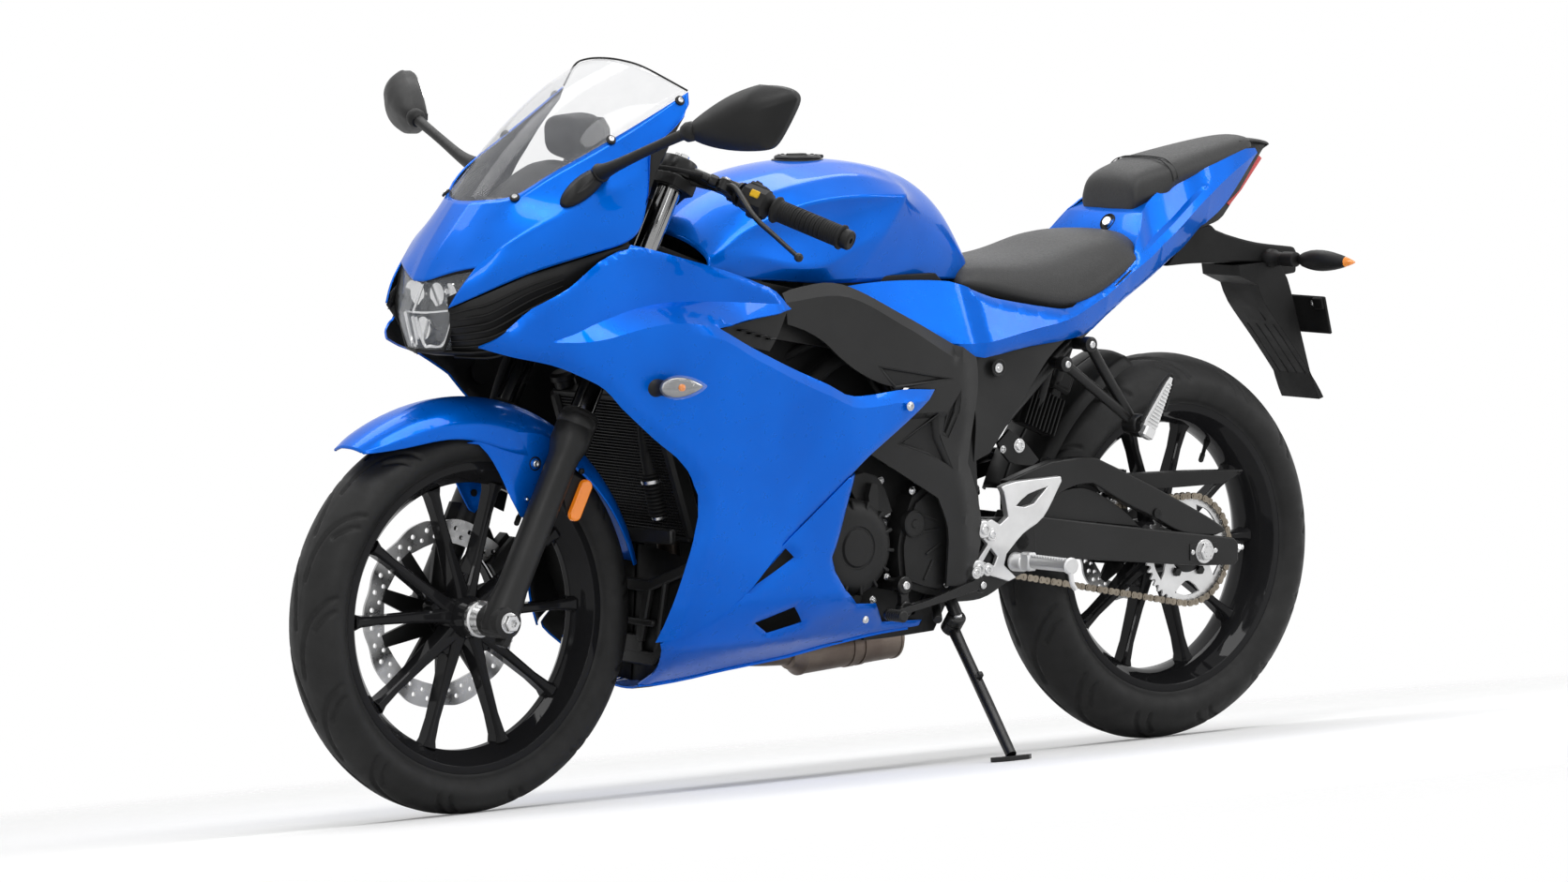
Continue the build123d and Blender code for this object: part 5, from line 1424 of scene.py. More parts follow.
piping = [(476, 99, 733), (430, 119, 721), (372, 136, 706), (310, 145, 697), (262, 145, 707),
    (215, 139, 729), (168, 128, 753), (128, 109, 767), (92, 82, 777)]
s.tube(piping, 1.5, 6, 4)
s.mirror().piece("rider_seat_piping", THREAD)
s = Shape()
rows = []
for x in range(500, 205, -14):
    z = line_at(TAIL_OUTLINE[4:11], x)
    outer = tail_surface(x, z - 4) - 5
    inside = line_at([(p[0], p[1]) for p in piping], x) - 9
    rows.append([(x, outer, z - 5), (x, outer - 6, z - 2.5), (x, min(inside, outer - 8), z - 2)])
s.sheet(rows)
s.mirror().piece("tail_shoulder", BLUE, thick=2, inner=SHADE_DARKENED_BLACK)

# %% [markdown]
# ## Front mudguard
# It follows the tyre with an even gap, has a crest on each side of its crown,
# and drops a pointed ear down each fork leg, where its screws are.

# %% Mudguard
def around(r, degrees, y):
    p = ring_point(FRONT, r, degrees, y)
    return (p.x, p.y, p.z)


guard_rows = []
for a, crown, sides in ((51.5, 330, ((14, 330), (24, 327), (33, 324), (36, 320))),
                        (55, 331, ((20, 330), (38, 324), (50, 316), (53, 309))),
                        (64, 330, ((22, 329), (44, 319), (58, 301), (60, 288))),
                        (76, 327, ((22, 326), (46, 314), (62, 293), (63, 277))),
                        (88, 325, ((22, 324), (46, 312), (64, 290), (65, 262))),
                        (100, 323, ((22, 322), (46, 310), (64, 288), (66, 244))),
                        (112, 320, ((22, 319), (45, 308), (62, 286), (64, 250))),
                        (124, 316, ((22, 315), (43, 305), (58, 288), (60, 270))),
                        (140, 313, ((22, 312), (42, 303), (56, 290), (58, 276))),
                        (156, 311, ((22, 310), (40, 303), (53, 292), (55, 282))),
                        (168, 310, ((20, 309), (36, 304), (47, 296), (49, 288)))):
    guard_rows.append([around(crown, a, 0)] + [around(r, a, y) for y, r in sides])
guard = half_cage(guard_rows, {2: {0: 0.3, 1: 0.6, 2: 0.6, 3: 0.5, 4: 0.3},
    3: {0: 0.5, 1: 0.6, 2: 0.8, 3: 0.9, 4: 0.9, 5: 0.7}, 4: 1}, {0: 0.7, 10: 1})
guard.piece("front_mudguard", BLUE, "fork", "front_fender", thick=2.6, cage=2, weld=0.5)
EAR = ((1392, 549), (1372, 546), (1356, 531), (1336, 502), (1315, 463), (1299, 437), (1289, 432),
    (1280, 440), (1267, 470), (1250, 514), (1238, 545), (1262, 556), (1320, 560))
ear_roll = rolled(EAR[:10], 8, 3)
s = Shape().skin(EAR, lambda x, z: 66.5 - 0.02 * (z - 430) - ear_roll(x, z), 6, limit=25).mirror()
s.piece("mudguard_ears", BLUE, "fork", thick=2.4, edge=0.7)
s = Shape()
for x, z, r in ((1273, 513, 9.5), (1290, 462, 4)):
    s.turned([(-4, r + 1.5), (0, r + 1), (0.6, r), (-1, r - 1.5), (-1, 0)], (x, 65.5, z), SIDE, 24)
s.mirror().piece("mudguard_cups", SHADE_DARKENED_BLACK, "fork")
screws("mudguard_screws", [((x, 65.5, z), SIDE, r, 4) for x, z, r in ((1273, 513, 5.4), (1290, 462, 2.4))],
       body="fork", mirror=True)

# %% [markdown]
# ## Mirrors, dials and lamps
# Each mirror is a pod on a thin stem that ends in a ball and a foot.

# %% Mirrors
POD = ((430, 1073), (467, 1069), (480, 1061), (484, 1052), (478, 1036), (454, 988), (443, 979), (423, 976),
    (383, 976), (343, 985), (325, 997), (323, 1008), (336, 1021), (363, 1042), (396, 1062))
POD_X, POD_Y, POD_SWEEP, POD_MIDDLE = 1193, 328, 0.48, (402, 1022)
mirror_rows = []
for off, k in ((-12, 0.95), (-9, 1.0), (2, 1.0), (6, 0.985), (20, 0.80), (30, 0.50), (34, 0.22)):
    mid = Vector((POD_MIDDLE[0] + off * 0.5, POD_MIDDLE[1] + off * 0.2))
    ring = [mid.lerp(Vector(p), k) for p in POD]
    mirror_rows.append([(POD_X - (p.x - POD_Y) * POD_SWEEP + off * 0.9, p.x + off * 0.43, p.y)
        for p in ring])
s = Shape().loft(mirror_rows)
m = len(POD)
for i, c in ((0, 1.0), (1, 0.9), (3, 0.85), (6, 0.3)):
    for j in range(m):
        s.creases[(i * m + j, i * m + (j + 1) % m)] = c
for j in (0, 3, 6, 10):
    for i in range(2, 6):
        s.creases[(i * m + j, (i + 1) * m + j)] = 0.75
s.mirror().piece("mirror_pods", BLACK, instead="mirrors", cage=2)
s = Shape().plate([(POD_MIDDLE[1] + (b - POD_MIDDLE[1]) * 0.9, POD_MIDDLE[0] + (a - POD_MIDDLE[0]) * 0.92)
                   for a, b in POD], 0, 1.4, limit=30,
                  spin=lambda p: Vector((POD_X - (p.z - POD_Y) * POD_SWEEP - 11.5 - p.y, p.z - 5, p.x)))
s.mirror().piece("mirror_glasses", MIRROR)
s = Shape().tube([(1219, 151, 938), (1218, 190, 951), (1209, 254, 975), (1200, 312, 996),
    (1196, 330, 1002)], (13, 9, 7.5, 8, 10), 16, 6)
s.turned([(-12, 9), (-8, 13), (0, 15), (8, 13), (12, 9)], (1196, 332, 1003), (0.3, -0.85, -0.42), 24)
foot = Vector((1242, 140, 917))
lie, rise = Vector((0.815, -0.092, -0.572)).normalized(), Vector((0.388, -0.645, 0.656)).normalized()
s.loft([[foot + lie * (44 * k * cos(a)) + rise * (17 * k * sin(a)) + lie.cross(rise) * -h
         for a in around_circle(24)]
        for h, k in ((-7, 0.98), (0, 1.0), (5, 0.96), (9, 0.82), (14, 0.5))])
s.turned([(-14, 8), (-8, 13), (4, 15), (12, 11), (15, 6)], (1218, 149, 937), (-0.05, 0.85, 0.45), 20)
s.mirror().piece("mirror_stems", BLACK, edge=0.8)

# %% Instrument pod behind the screen
CASE_RING = ((-58, 0), (-76, 0.25), (-76, 0.75), (-52, 1), (52, 1), (76, 0.75), (76, 0.25), (58, 0))
s = Shape().loft([[(1118 + t * 62 + a * 4, y * (0.66 - t * 0.1), 938 + a * 84 * (1 - t * 0.3) + t * 20)
                   for y, a in CASE_RING] for t in (0, 0.3, 0.75, 1)])
s.piece("instrument_case", DIAL, instead="instrument_panel", cage=2)
s = Shape()
DIAL_RING = ((-52, 0.06), (-66, 0.28), (-66, 0.74), (-46, 0.94), (46, 0.94), (66, 0.74), (66, 0.28),
    (52, 0.06))
s.loft([[(x + up * 4, y * wide, z + up * tall) for y, up in DIAL_RING]
    for x, wide, z, tall in ((1115.5, 0.66, 942, 76), (1113, 0.63, 944, 72))])
s.piece("instrument_glass", SMOKE, edge=0.8)
s = Shape().sheet([[(1305 - t * 175, y * (0.42 + 0.58 * t), 886 + 62 * t ** 0.8
    + 34 * sin(min(t * 3.4, 3.1)) * (1 - abs(y) / 150) ** 0.6 - abs(y) * 0.16)
    for y in (-134, -110, -80, -46, 0, 46, 80, 110, 134)] for t in (0, 0.15, 0.3, 0.45, 0.6, 0.75, 0.9, 1)])
s.piece("dash_tray", DIAL, thick=3, cage=1)

# %% Front and rear turn signals
s = Shape().turned([(-4, 20), (2, 21), (4, 19), (12, 13), (22, 12), (26, 14)], (1168, 207, 628),
    (-0.35, 0.93, 0), 28)
s.mirror().piece("front_signal_stems", BLACK, instead="turn_signals")


def teardrop(at, along, length, tall, deep, cut0=0.0, cut1=1.0):
    """Rows of a drop-shaped lamp between two fractions of its length."""
    along, up = Vector(along).normalized(), Vector((0, 0, 1))
    side = up.cross(along).normalized()
    rows = []
    for k in range(9):
        t = cut0 + (cut1 - cut0) * k / 8
        r = max(0.05, sin(pi * min(1, t * 0.97 + 0.02) ** 0.74) ** 0.75)
        p = Vector(at) + along * (t * length)
        rows.append([p + up * (tall * r * cos(2 * pi * j / 12))
            + side * (deep * r * sin(2 * pi * j / 12)) for j in range(12)])
    return rows


FRONT_SWEEP, REAR_SWEEP = (-1, 0.12, 0), (-0.12, 1, 0)
s = Shape().loft(teardrop((1180, 242, 629), FRONT_SWEEP, 80, 19, 17)).mirror()
s.piece("front_signal_lenses", LAMP_CLEAR, cage=2)
s = Shape().loft(teardrop((1177, 240, 629), FRONT_SWEEP, 72, 16, 6)).mirror()
s.piece("front_signal_reflectors", CHROME_DARK, cage=1)
s = Shape().turned([(-8, 4), (0, 6), (6, 5), (9, 0)], (1146, 246, 629), (0, 1, 0), 16).mirror()
s.piece("front_signal_bulbs", AMBER)
s = Shape().turned([(0, 15), (14, 15), (18, 12), (34, 10), (36, 12), (60, 12), (62, 9)], (-212, 34, 757),
    REAR_SWEEP, 24)
s.loft(teardrop((-226, 92, 757), REAR_SWEEP, 116, 17, 17, 0, 0.86))
s.mirror().piece("rear_signal_bodies", BLACK, edge=0.4)
s = Shape().loft(teardrop((-226, 92, 757), REAR_SWEEP, 116, 17, 17, 0.84, 1.0)).mirror()
s.piece("rear_signal_lenses", AMBER)

# %% Plate holder
# The plate holder is in the darkest black: painted shade under the tail.
PLATE_ARM = ((5, 752), (-20, 780), (-60, 812), (-90, 815), (-101, 806), (-125, 798), (-189, 783),
    (-271, 773), (-278, 762), (-276, 731), (-244, 728), (-196, 749), (-67, 754))
s = Shape().plate(PLATE_ARM, -36, 36, limit=25)
s.piece("plate_arm", SHADE_DARKENED_BLACK, instead="plate_holder", edge=7, segments=3)
PLATE_FLAP = [(-142, 748), (-145, 731), (-183, 716), (-200, 684), (-258, 619), (-312, 555), (-330, 529),
    (-320, 526), (-304, 560), (-276, 644), (-248, 724), (-225, 752)]
s = Shape().plate(PLATE_FLAP, -44, 44, limit=25)
s.piece("plate_flap", SHADE_DARKENED_BLACK, edge=3, segments=3)
s = Shape()
for y in (-30, -10, 10, 30):
    s.tube([(-232, y, 650), (-270, y, 608), (-308, y, 562)], 2.4, 8)
s.block((-214, 0, 670), (36, 40, 4), (0.62, 0, 0.78), (-0.78, 0, 0.62), edge=1)
s.piece("plate_flap_ribs", SHADE_DARKENED_BLACK)
PLATE_DOWN, PLATE_BACK = Vector((-0.25, 0, -0.97)), Vector((-0.97, 0, 0.25))
s = Shape().block((-292, 0, 665), (62, 186, 5), PLATE_DOWN, PLATE_BACK, edge=1.5)
for out in (1, -1):
    s.block((-286, out * 78, 684), (20, 24, 9), PLATE_DOWN, PLATE_BACK, edge=2)
s.piece("plate_carrier", SHADE_DARKENED_BLACK, edge=0.8)
screws("plate_screws", [row for out in (1, -1) for row in (
    ((-286, out * 66, 684), -PLATE_BACK, 5, 4), ((-297, out * 80, 650), PLATE_BACK, 4, 3))])

# %% [markdown]
# ## Fork and handlebars
# A chromed tube slides in each cast leg. Two clamps hold the tubes to the
# steering stem, and a short bar is clamped round each tube under the top one.

# %% Fork legs
LEG_Y, LEG_N, CLAMP_S = 92, TRAIL_OFFSET, 712
s = Shape()
for y in (LEG_Y, -LEG_Y):
    out = 1 if y > 0 else -1
    s.turned([(-22, 15), (-20, 20), (-12, 24), (0, 25.4), (30, 25.6), (54, 23), (250, 22.6), (262, 23.4),
        (282, 29), (288, 29.4), (307, 29.4), (308, 28.8), (310, 28.8), (311, 29.4), (323, 29.4), (325, 28),
        (325, 19.4), (308, 19.4)], steer(0, LEG_N, y), UP, 40)
    s.turned([(0, 20), (2, 24), (42, 24), (48, 23), (50, 20), (50, 9)], (1360, out * 67, 290), SIDE * out,
        36)
    s.rod(steer(238, LEG_N - 4, out * 62), steer(238, LEG_N - 4, out * 70), 9, 18)
    s.block(steer(-16, LEG_N - 20, y), (16, 22, 30), AHEAD, UP, edge=3)
s.piece("fork_lower_castings", SATIN, "fork", "fork_lowers")
s = Shape()
for y in (LEG_Y, -LEG_Y):
    s.turned([(0, 26), (1, 27.2), (5, 27.2), (9, 23), (11, 19.2), (11, 18.6)], steer(324.5, LEG_N, y), UP,
        32)
s.piece("fork_dust_seals", GRIP, "fork")
s = Shape()
for y in (LEG_Y, -LEG_Y):
    s.turned([(150, 18.3), (CLAMP_S, 18.5)], steer(0, LEG_N, y), UP, 40)
s.piece("fork_chrome_tubes", CHROME_DARK, "fork", "fork_tubes")
s = Shape()
for y in (LEG_Y, -LEG_Y):
    top = steer(CLAMP_S, LEG_N, y)
    s.turned([(0, 18.6), (28, 18.6), (30, 17.6), (30, 11), (36, 11), (37, 10), (37, 4), (34, 4), (34, 0)],
        top, UP, 36)
    s.bolt(top + UP * 30, UP, 8.5, 7, False)
s.turned([(0, 20), (9, 20), (12, 18), (12, 10), (4, 9), (4, 0)], steer(CLAMP_S), UP, 6)
for y in (LEG_Y, -LEG_Y):
    s.bolt(steer(-16, LEG_N - 29, y), -AHEAD, 4.6, 4)
    s.bolt(steer(489, LEG_N - 30, y), -AHEAD, 4.6, 5)
s.piece("fork_caps_and_screws", ZINC, "fork")

# %% Clamps, stem and ignition switch
def clamp_plate(s, s0, s1):
    outline = ((-32, -24), (-30, -34), (2, -92), (8, -116), (28, -122), (52, -120), (64, -104), (66, -84),
        (58, -66), (36, -42), (32, -20), (32, 20), (36, 42), (58, 66), (66, 84), (64, 104), (52, 120),
        (28, 122), (8, 116), (2, 92), (-30, 34), (-32, 24))
    holes = [circle((LEG_N, y), 18.7, 32) for y in (LEG_Y, -LEG_Y)]
    s.plate(outline, s0, s1, holes, limit=60, spin=lambda p: steer(p.y, p.x, p.z))


s = Shape()
clamp_plate(s, 477, 501)
s.turned([(474, 12), (477, 16), (501, 16), (504, 15), (690, 15)], steer(0), UP, 28)
s.piece("lower_clamp", COATED, "fork", "triple_clamps", edge=2.2)
s = Shape()
clamp_plate(s, 693, CLAMP_S - 1)
s.piece("top_clamp", CASTING, "fork", edge=2.0)
s = Shape().turned([(0, 23), (14, 23), (22, 20), (24, 18), (24, 14), (22, 13), (22, 0)],
    steer(CLAMP_S, 44), UP, 32)
s.block(steer(735, 44), (2, 3, 14), UP, SIDE, edge=0.4)
s.piece("ignition_switch", BLACK, "fork")

# %% Bars, grips and end weights
bar_root = steer(727, LEG_N, LEG_Y)
BAR_END = Vector((911, 350, 837))
along = (BAR_END - bar_root).normalized()
grip_start = BAR_END - along * 132
s = Shape().rod(bar_root, BAR_END - along * 20, 10.8, 24)
s.turned([(714, 26), (716, 27.4), (738, 27.4), (740, 26), (740, 18.8)], steer(0, LEG_N, LEG_Y), UP, 36)
s.block(steer(727, LEG_N - 28, LEG_Y - 2), (16, 26, 22), AHEAD, UP, edge=3)
s.mirror().piece("clip_on_bars", COATED, "fork", "handlebars", edge=0.6)
s = Shape()
ribs = [(0, 14), (0.5, 19.5), (4, 20.5), (6, 19), (8, 16.6)]
for k in range(26):
    h = 10 + k * 3.9
    deep = 1.3 if 5 < k < 20 and k % 2 == 0 else 0.5
    ribs += [(h, 16.5), (h + 1.8, 16.5), (h + 2.2, 16.5 - deep), (h + 3.4, 16.5 - deep)]
ribs += [(112.5, 16.4), (113, 18.6), (116, 19), (117, 18), (118, 14)]
s.turned(ribs, grip_start, along, 32)
s.mirror().piece("hand_grips", GRIP, "fork", angle=50)
s = Shape().turned([(117, 12), (118, 14.6), (119, 15), (129, 14.8), (131.6, 13), (132, 11), (131, 10),
    (131, 4.5), (126, 4), (126, 0)], grip_start, along, 28)
s.mirror().piece("bar_end_weights", BLACK, "fork", angle=30)

# %% Switchgear, levers and their cables
face = AHEAD - along * AHEAD.dot(along)
face.normalize()
over = face.cross(along)
box = grip_start - along * 31
s = Shape().block(box + face * 2, (54, 43, 39), along, over, 1.0, 9)
s.block(box + over * 19 - along * 4, (30, 26, 12), along, over, 0.9, 3)
s.block(box + over * 25 - along * 9, (12, 10, 8), along, over, 0.8, 2)
s.turned([(-33, 16), (-31, 18), (-28, 18), (-26, 19)], box + face * 2, along, 24)
s.block(box - over * 20 + along * 6, (26, 18, 12), along, over, 0.8, 3)
s.mirror().piece("switch_boxes", BLACK, "fork", "hand_controls", edge=1.2)
s = Shape()
for t in (-18, 2):
    s.tube([box + along * t + face * 23.7 * cos(a) + over * 20.2 * sin(a)
        for a in np.linspace(-0.7, 0.7, 5)], 0.7, 5, 3)
s.block(box + along * 12 + over * 20.4, (9, 7, 4), along, over, 0.9, 1)
s.block(box - along * 14 - face * 18.6 + over * 4, (10, 3, 12), along, over, 0.8, 1)
s.block(box + along * 4 - face * 18.8 - over * 6, (14, 3, 9), along, over, 0.8, 1)
s.piece("switch_details", SATIN, "fork")
s = Shape().block(box + face * 22.5 + along * 2 + over * 6, (15, 5, 11), along, over, 1.0, 1.2)
s.piece("passing_light_button", YELLOW, "fork")
perch = grip_start - along * 68
pivot = perch + AHEAD * 30 + along * 6
tip = Vector((1003, 340, 817))
middle = (pivot + tip) * 0.5 + AHEAD * 14
s = Shape().turned([(-9, 13.5), (-7, 15.4), (7, 15.4), (9, 13.5)], perch, along, 28)
s.block(perch + AHEAD * 17, (34, 20, 26), AHEAD, over, 0.9, 4)
s.turned([(-9, 8), (-8, 9.4), (8, 9.4), (9, 8)], pivot, over, 24)
s.turned([(0, 8), (2, 9), (12, 9), (14, 6.5), (24, 6)], perch + AHEAD * 26 - along * 10,
    AHEAD * 0.5 - along, 20)
s.mirror().piece("lever_perches", COATED, "fork", edge=1.0)


def lever(outline, wide, name):
    """A flat forged blade that narrows towards a ball."""
    path = flow(outline, 6)
    rows = []
    for k, p in enumerate(path):
        d = (path[min(k + 1, len(path) - 1)] - path[max(k - 1, 0)]).normalized()
        t = k / (len(path) - 1)
        b = wide * (1.15 - 0.55 * t)
        h = 5.2 - 1.6 * t
        out = d.cross(over).normalized()
        rows.append([p + out * b * cos(a) + over * h * sin(a) for a in around_circle(12)])
    s = Shape().loft(rows)
    ball = [(6.8 * sin(a) + 1, 6.8 * cos(a) + 0.001) for a in np.linspace(-1.45, 1.57, 12)]
    s.turned([(h, abs(r)) for h, r in ball], tip, (tip - middle), 20)
    return s.mirror().piece(name, COATED, "fork", angle=50)


lever([pivot - along * 6, pivot + along * 24 + AHEAD * 4, middle, (middle + tip) * 0.5 + AHEAD * 2, tip],
    7.5, "hand_levers")
screws("lever_screws", ((pivot + over * 9, over, 5, 3), (perch - AHEAD * 11 + over * 8, over, 3.4, 2.6)),
       body="fork", mirror=True)
loom = [box - along * 28 - over * 8, box - along * 70 - over * 4 - AHEAD * 8, steer(690, 74, 60),
    steer(600, 72, 34), steer(500, 50, 20)]
s = Shape().tube([perch + AHEAD * 30 - along * 14, perch + AHEAD * 34 - along * 34, steer(700, 92, 96),
    steer(640, 88, 60), steer(560, 70, 40), steer(500, 52, 30)], 3.6, 8, 8)
s.tube(loom, 4.6, 8, 8)
s.piece("clutch_cable_and_loom", GRIP, "fork")


def far_side(p):
    return Vector((p.x, -p.y, p.z))


s = Shape().tube([far_side(p) for p in loom], 4.6, 8, 8)
s.tube([far_side(perch + AHEAD * 34 - along * 20), steer(716, 88, -90), steer(640, 84, -70),
    steer(480, 80, -66), steer(360, 66, -92), steer(200, 20, -112), steer(150, -12, -96),
    steer(128, -30, -88)], 4.4, 10, 8)
s.piece("brake_hose", GRIP, "fork")
s = Shape()
cup = far_side(perch + AHEAD * 34 + over * 20 - along * 10)
s.turned([(-16, 15), (-14, 17), (8, 18), (10, 19.5), (14, 19.5), (16, 17)], cup, over, 28)
s.turned([(-8, 10), (-6, 11.5), (24, 11.5), (30, 8)], far_side(perch + AHEAD * 32), far_side(-along), 24)
s.piece("brake_reservoir", BLACK, "fork")

# %% Front axle, caliper and side reflector
s = Shape().turned([(-121, 8.4), (121, 8.4)], FRONT, SIDE, 24)
for out in (1, -1):
    s.turned([(116.6, 15), (118.4, 15), (118.8, 14), (118.8, 8)], FRONT, SIDE * out, 28)
    s.turned([(118.6, 13), (126.5, 13), (128, 11.6), (128, 6), (122, 5.4), (122, 0)], FRONT, SIDE * out, 6)
    s.turned([(43, 15), (66, 15)], FRONT, SIDE * out, 24)
s.turned([(43, 24), (44, 27), (50, 27), (52, 24), (66, 22)], FRONT, SIDE, 32)
s.piece("front_axle_set", ZINC, "fork", "front_axle", angle=30)


def arc_block(s, c, r0, r1, a0, a1, y0, y1):
    """A curved block between two radii and two angles."""
    steps = 7
    outline = [ring_point(c, r1, a0 + (a1 - a0) * k / steps) for k in range(steps + 1)]
    outline += [ring_point(c, r0, a1 - (a1 - a0) * k / steps) for k in range(steps + 1)]
    s.plate([(p.x, p.z) for p in outline], y0, y1, limit=0)


s = Shape()
arc_block(s, FRONT, 104, 168, 139, 161, -76, -57)
arc_block(s, FRONT, 104, 160, 139, 161, -43, -34)
arc_block(s, FRONT, 148, 170, 142, 158, -74, -36)
for a in (145, 155):
    s.turned([(0, 14), (6, 14), (8, 12), (8, 5), (6, 4), (6, 0)], ring_point(FRONT, 128, a, -76), -SIDE, 24)
s.plate(((1336, 372), (1352, 380), (1318, 450), (1296, 446), (1258, 420), (1240, 388), (1262, 372),
    (1296, 392)), -86, -78, limit=60)
s.piece("front_caliper_body", BLACK, "fork", "front_caliper", edge=2.5)
screws("front_caliper_screws", (((1330, -86, 388), -SIDE, 6, 5), ((1304, -86, 438), -SIDE, 6, 5),
    (ring_point(FRONT, 168, 152, -66), ring_point(FRONT, 1, 152) - FRONT, 3.4, 10)), body="fork")
# The reflector takes the amber lens finish, whose faint glow is painted light.
s = Shape()
mid = Vector((1214, 96, 458))
s.loft([[mid + SIDE * y + UP * ((22 if sin(a) > 0 else -22) + 10.5 * w * sin(a)) + AHEAD * 10.5 * w * cos(a)
         for a in around_circle(32, 0.001)]
        for y, w in ((-4, 1.0), (0, 1.0), (3, 0.93), (4.4, 0.75))])
s.piece("side_reflector", AMBER, "fork", edge=0.4)
s = Shape().plate(((1200, 484), (1222, 496), (1262, 506), (1268, 470), (1240, 462), (1234, 436),
    (1216, 428)), 88, 91, limit=60)
s.bolt((1208, 91, 500), SIDE, 4.5, 3)
s.mirror().piece("reflector_bracket", BLACK, "fork", edge=0.6)

# %% [markdown]
# ## Engine
# The covers are castings: a round one with short ribs over the generator, and a
# flat many-sided one behind it over the sprocket. Each is held by a ring of bolts.

# %% Engine covers
GEN = Vector((745, 0, 363))
s = Shape().turned([(118, 84), (126, 84), (128, 82), (128, 76), (150, 73), (160, 67), (165, 58), (166, 46),
    (166, 33), (164.5, 32), (164.5, 29.5), (166, 28.5), (167.5, 27), (168, 0)], GEN, SIDE, 64)
for k in range(14):
    a = 360 / 14 * k + 6
    inner, outer = ring_point(GEN, 57, a, 0), ring_point(GEN, 71, a, 0)
    d = (outer - inner).normalized()
    s.block((inner + outer) / 2 + SIDE * 158, (17, 5, 14), d, SIDE, 1.0, 1.2)
s.plate(((726, 425), (744, 452), (740, 470), (716, 474), (694, 468), (676, 446), (662, 412), (680, 404),
    (700, 430)), 118, 146, limit=50)
s.plate(((718, 440), (712, 458), (700, 456), (698, 404), (712, 402)), 140, 158, limit=50)
s.piece("generator_cover", CASTING, instead="engine_covers", edge=1.4)
s = Shape()
for a in (18, 62, 118, 160, 205, 250, 296, 338):
    s.turned([(118, 9), (128, 8.4), (129, 7)], ring_point(GEN, 86, a, 0), SIDE, 18)
SECOND = ((650, 300), (655, 360), (640, 405), (628, 432), (598, 450), (578, 440), (552, 362), (548, 300),
    (572, 278), (610, 286))
s.plate(SECOND, 118, 152, limit=28)
s.plate([(602 + (x - 602) * 0.86, 362 + (z - 362) * 0.86) for x, z in SECOND], 152, 157, limit=28)
s.turned([(150, 22), (160, 21), (161, 19), (159.5, 18), (159.5, 7), (161, 6), (161, 0)], (628, 0, 392),
    SIDE, 32)
for x, z, a in ((600, 400, 20), (596, 380, -4), (590, 352, -28), (600, 320, -60)):
    s.block((x, 158, z), (34, 3.4, 3), (cos(radians(a)), 0, sin(radians(a))), SIDE, 1, 0.8)
s.piece("sprocket_cover", CASTING, edge=1.6)
rows = [((x, 152 if x < 640 else 136, z), SIDE, r, 5, r + 2.2) for x, z, r in ((677, 459, 4), (628, 442, 4),
    (664, 408, 3.6), (664, 312, 3.6), (692, 279, 4), (560, 296, 3.6), (556, 430, 3.6), (582, 444, 3.6),
    (646, 300, 3.6))]
rows += [(ring_point(GEN, 86, a, 128), SIDE, 5, 4, 7) for a in (18, 62, 160, 205, 296, 338)]
rows += [((x, -164, z), -SIDE, 4.6, 4, 6.5) for x, z in ((800, 330), (770, 262), (640, 268), (560, 262))]
screws("engine_cover_screws", rows)
s = Shape()
CLUTCH = Vector((720, 0, 340))
s.turned([(118, 96), (128, 96), (130, 93), (150, 88), (160, 78), (165, 60), (165, 44), (163, 42), (163, 12),
    (165, 10), (165, 0)], CLUTCH, -SIDE, 64)
for k in range(9):
    s.turned([(118, 9), (130, 8.5), (131, 6)], ring_point(CLUTCH, 97, 40 * k, 0), -SIDE, 16)
s.turned([(118, 70), (142, 68), (148, 60), (150, 46), (150, 0)], (600, 0, 330), -SIDE, 44)
s.turned([(140, 22), (168, 20), (172, 17), (172, 0)], (640, 0, 262), -SIDE, 28)
s.piece("clutch_cover", CASTING, edge=1.4)

# %% Engine block, its fins, hoses and loom
s = Shape().plate(((905, 250), (935, 330), (900, 470), (860, 505), (690, 520), (600, 480), (560, 440),
    (520, 392), (512, 300), (560, 222), (640, 218), (860, 216)), -119, 119, limit=24)
s.plate(((512, 300), (560, 222), (640, 218), (700, 217), (690, 245), (600, 250), (560, 300)), -124, 124,
    limit=24)
s.piece("crankcase", CASTING, instead="engine_block", edge=6, segments=2)
s = Shape()
BARREL = ((862, 484), (704, 504), (726, 580), (748, 628), (800, 690), (898, 650), (934, 562), (904, 476))
s.plate(BARREL, -86, 86, limit=40)
lift = Vector((0.28, 0, 0.96)).normalized()
for k in range(7):
    c = Vector((800, 0, 515)) + lift * 13 * k
    s.block(c, (178 - 5 * k, 3.4, 190), Vector((0.96, 0, -0.28)), SIDE, 1, 1.5)
s.block((838, 0, 640), (150, 60, 178), (0.9, 0, -0.42), SIDE, 1, 8)
for y in (60, -60):
    s.bolt((850, y, 690), lift, 9, 8, False)
s.piece("cylinder_and_head", CASTING, edge=1)
s = Shape().tube([(860, 96, 560), (812, 120, 604), (760, 124, 640), (700, 112, 652)], 11, 12)
s.tube([(850, 90, 640), (790, 118, 672), (720, 122, 684), (640, 118, 676)], 7, 10)
s.tube([(700, 100, 640), (660, 128, 600), (650, 136, 540), (660, 130, 480)], 5.5, 8)
s.tube([(760, 110, 690), (720, 134, 650), (690, 138, 600), (640, 130, 560), (600, 126, 500)], 4, 8)
s.tube([(1012, 100, 420), (960, 108, 424), (900, 104, 440)], (14, 15, 14), 14)
s.tube([(1085, 84, 596), (1046, 76, 626), (1005, 62, 656)], 9.5, 12)
s.mirror().piece("hoses_and_looms", GRIP)

# %% Radiator
CORE_FOOT, CORE_TOP = Vector((1028, 0, 390)), Vector((1098, 0, 600))
CORE_OUT, CORE_UP = Vector((0.949, 0, -0.316)), Vector((0.316, 0, 0.949))


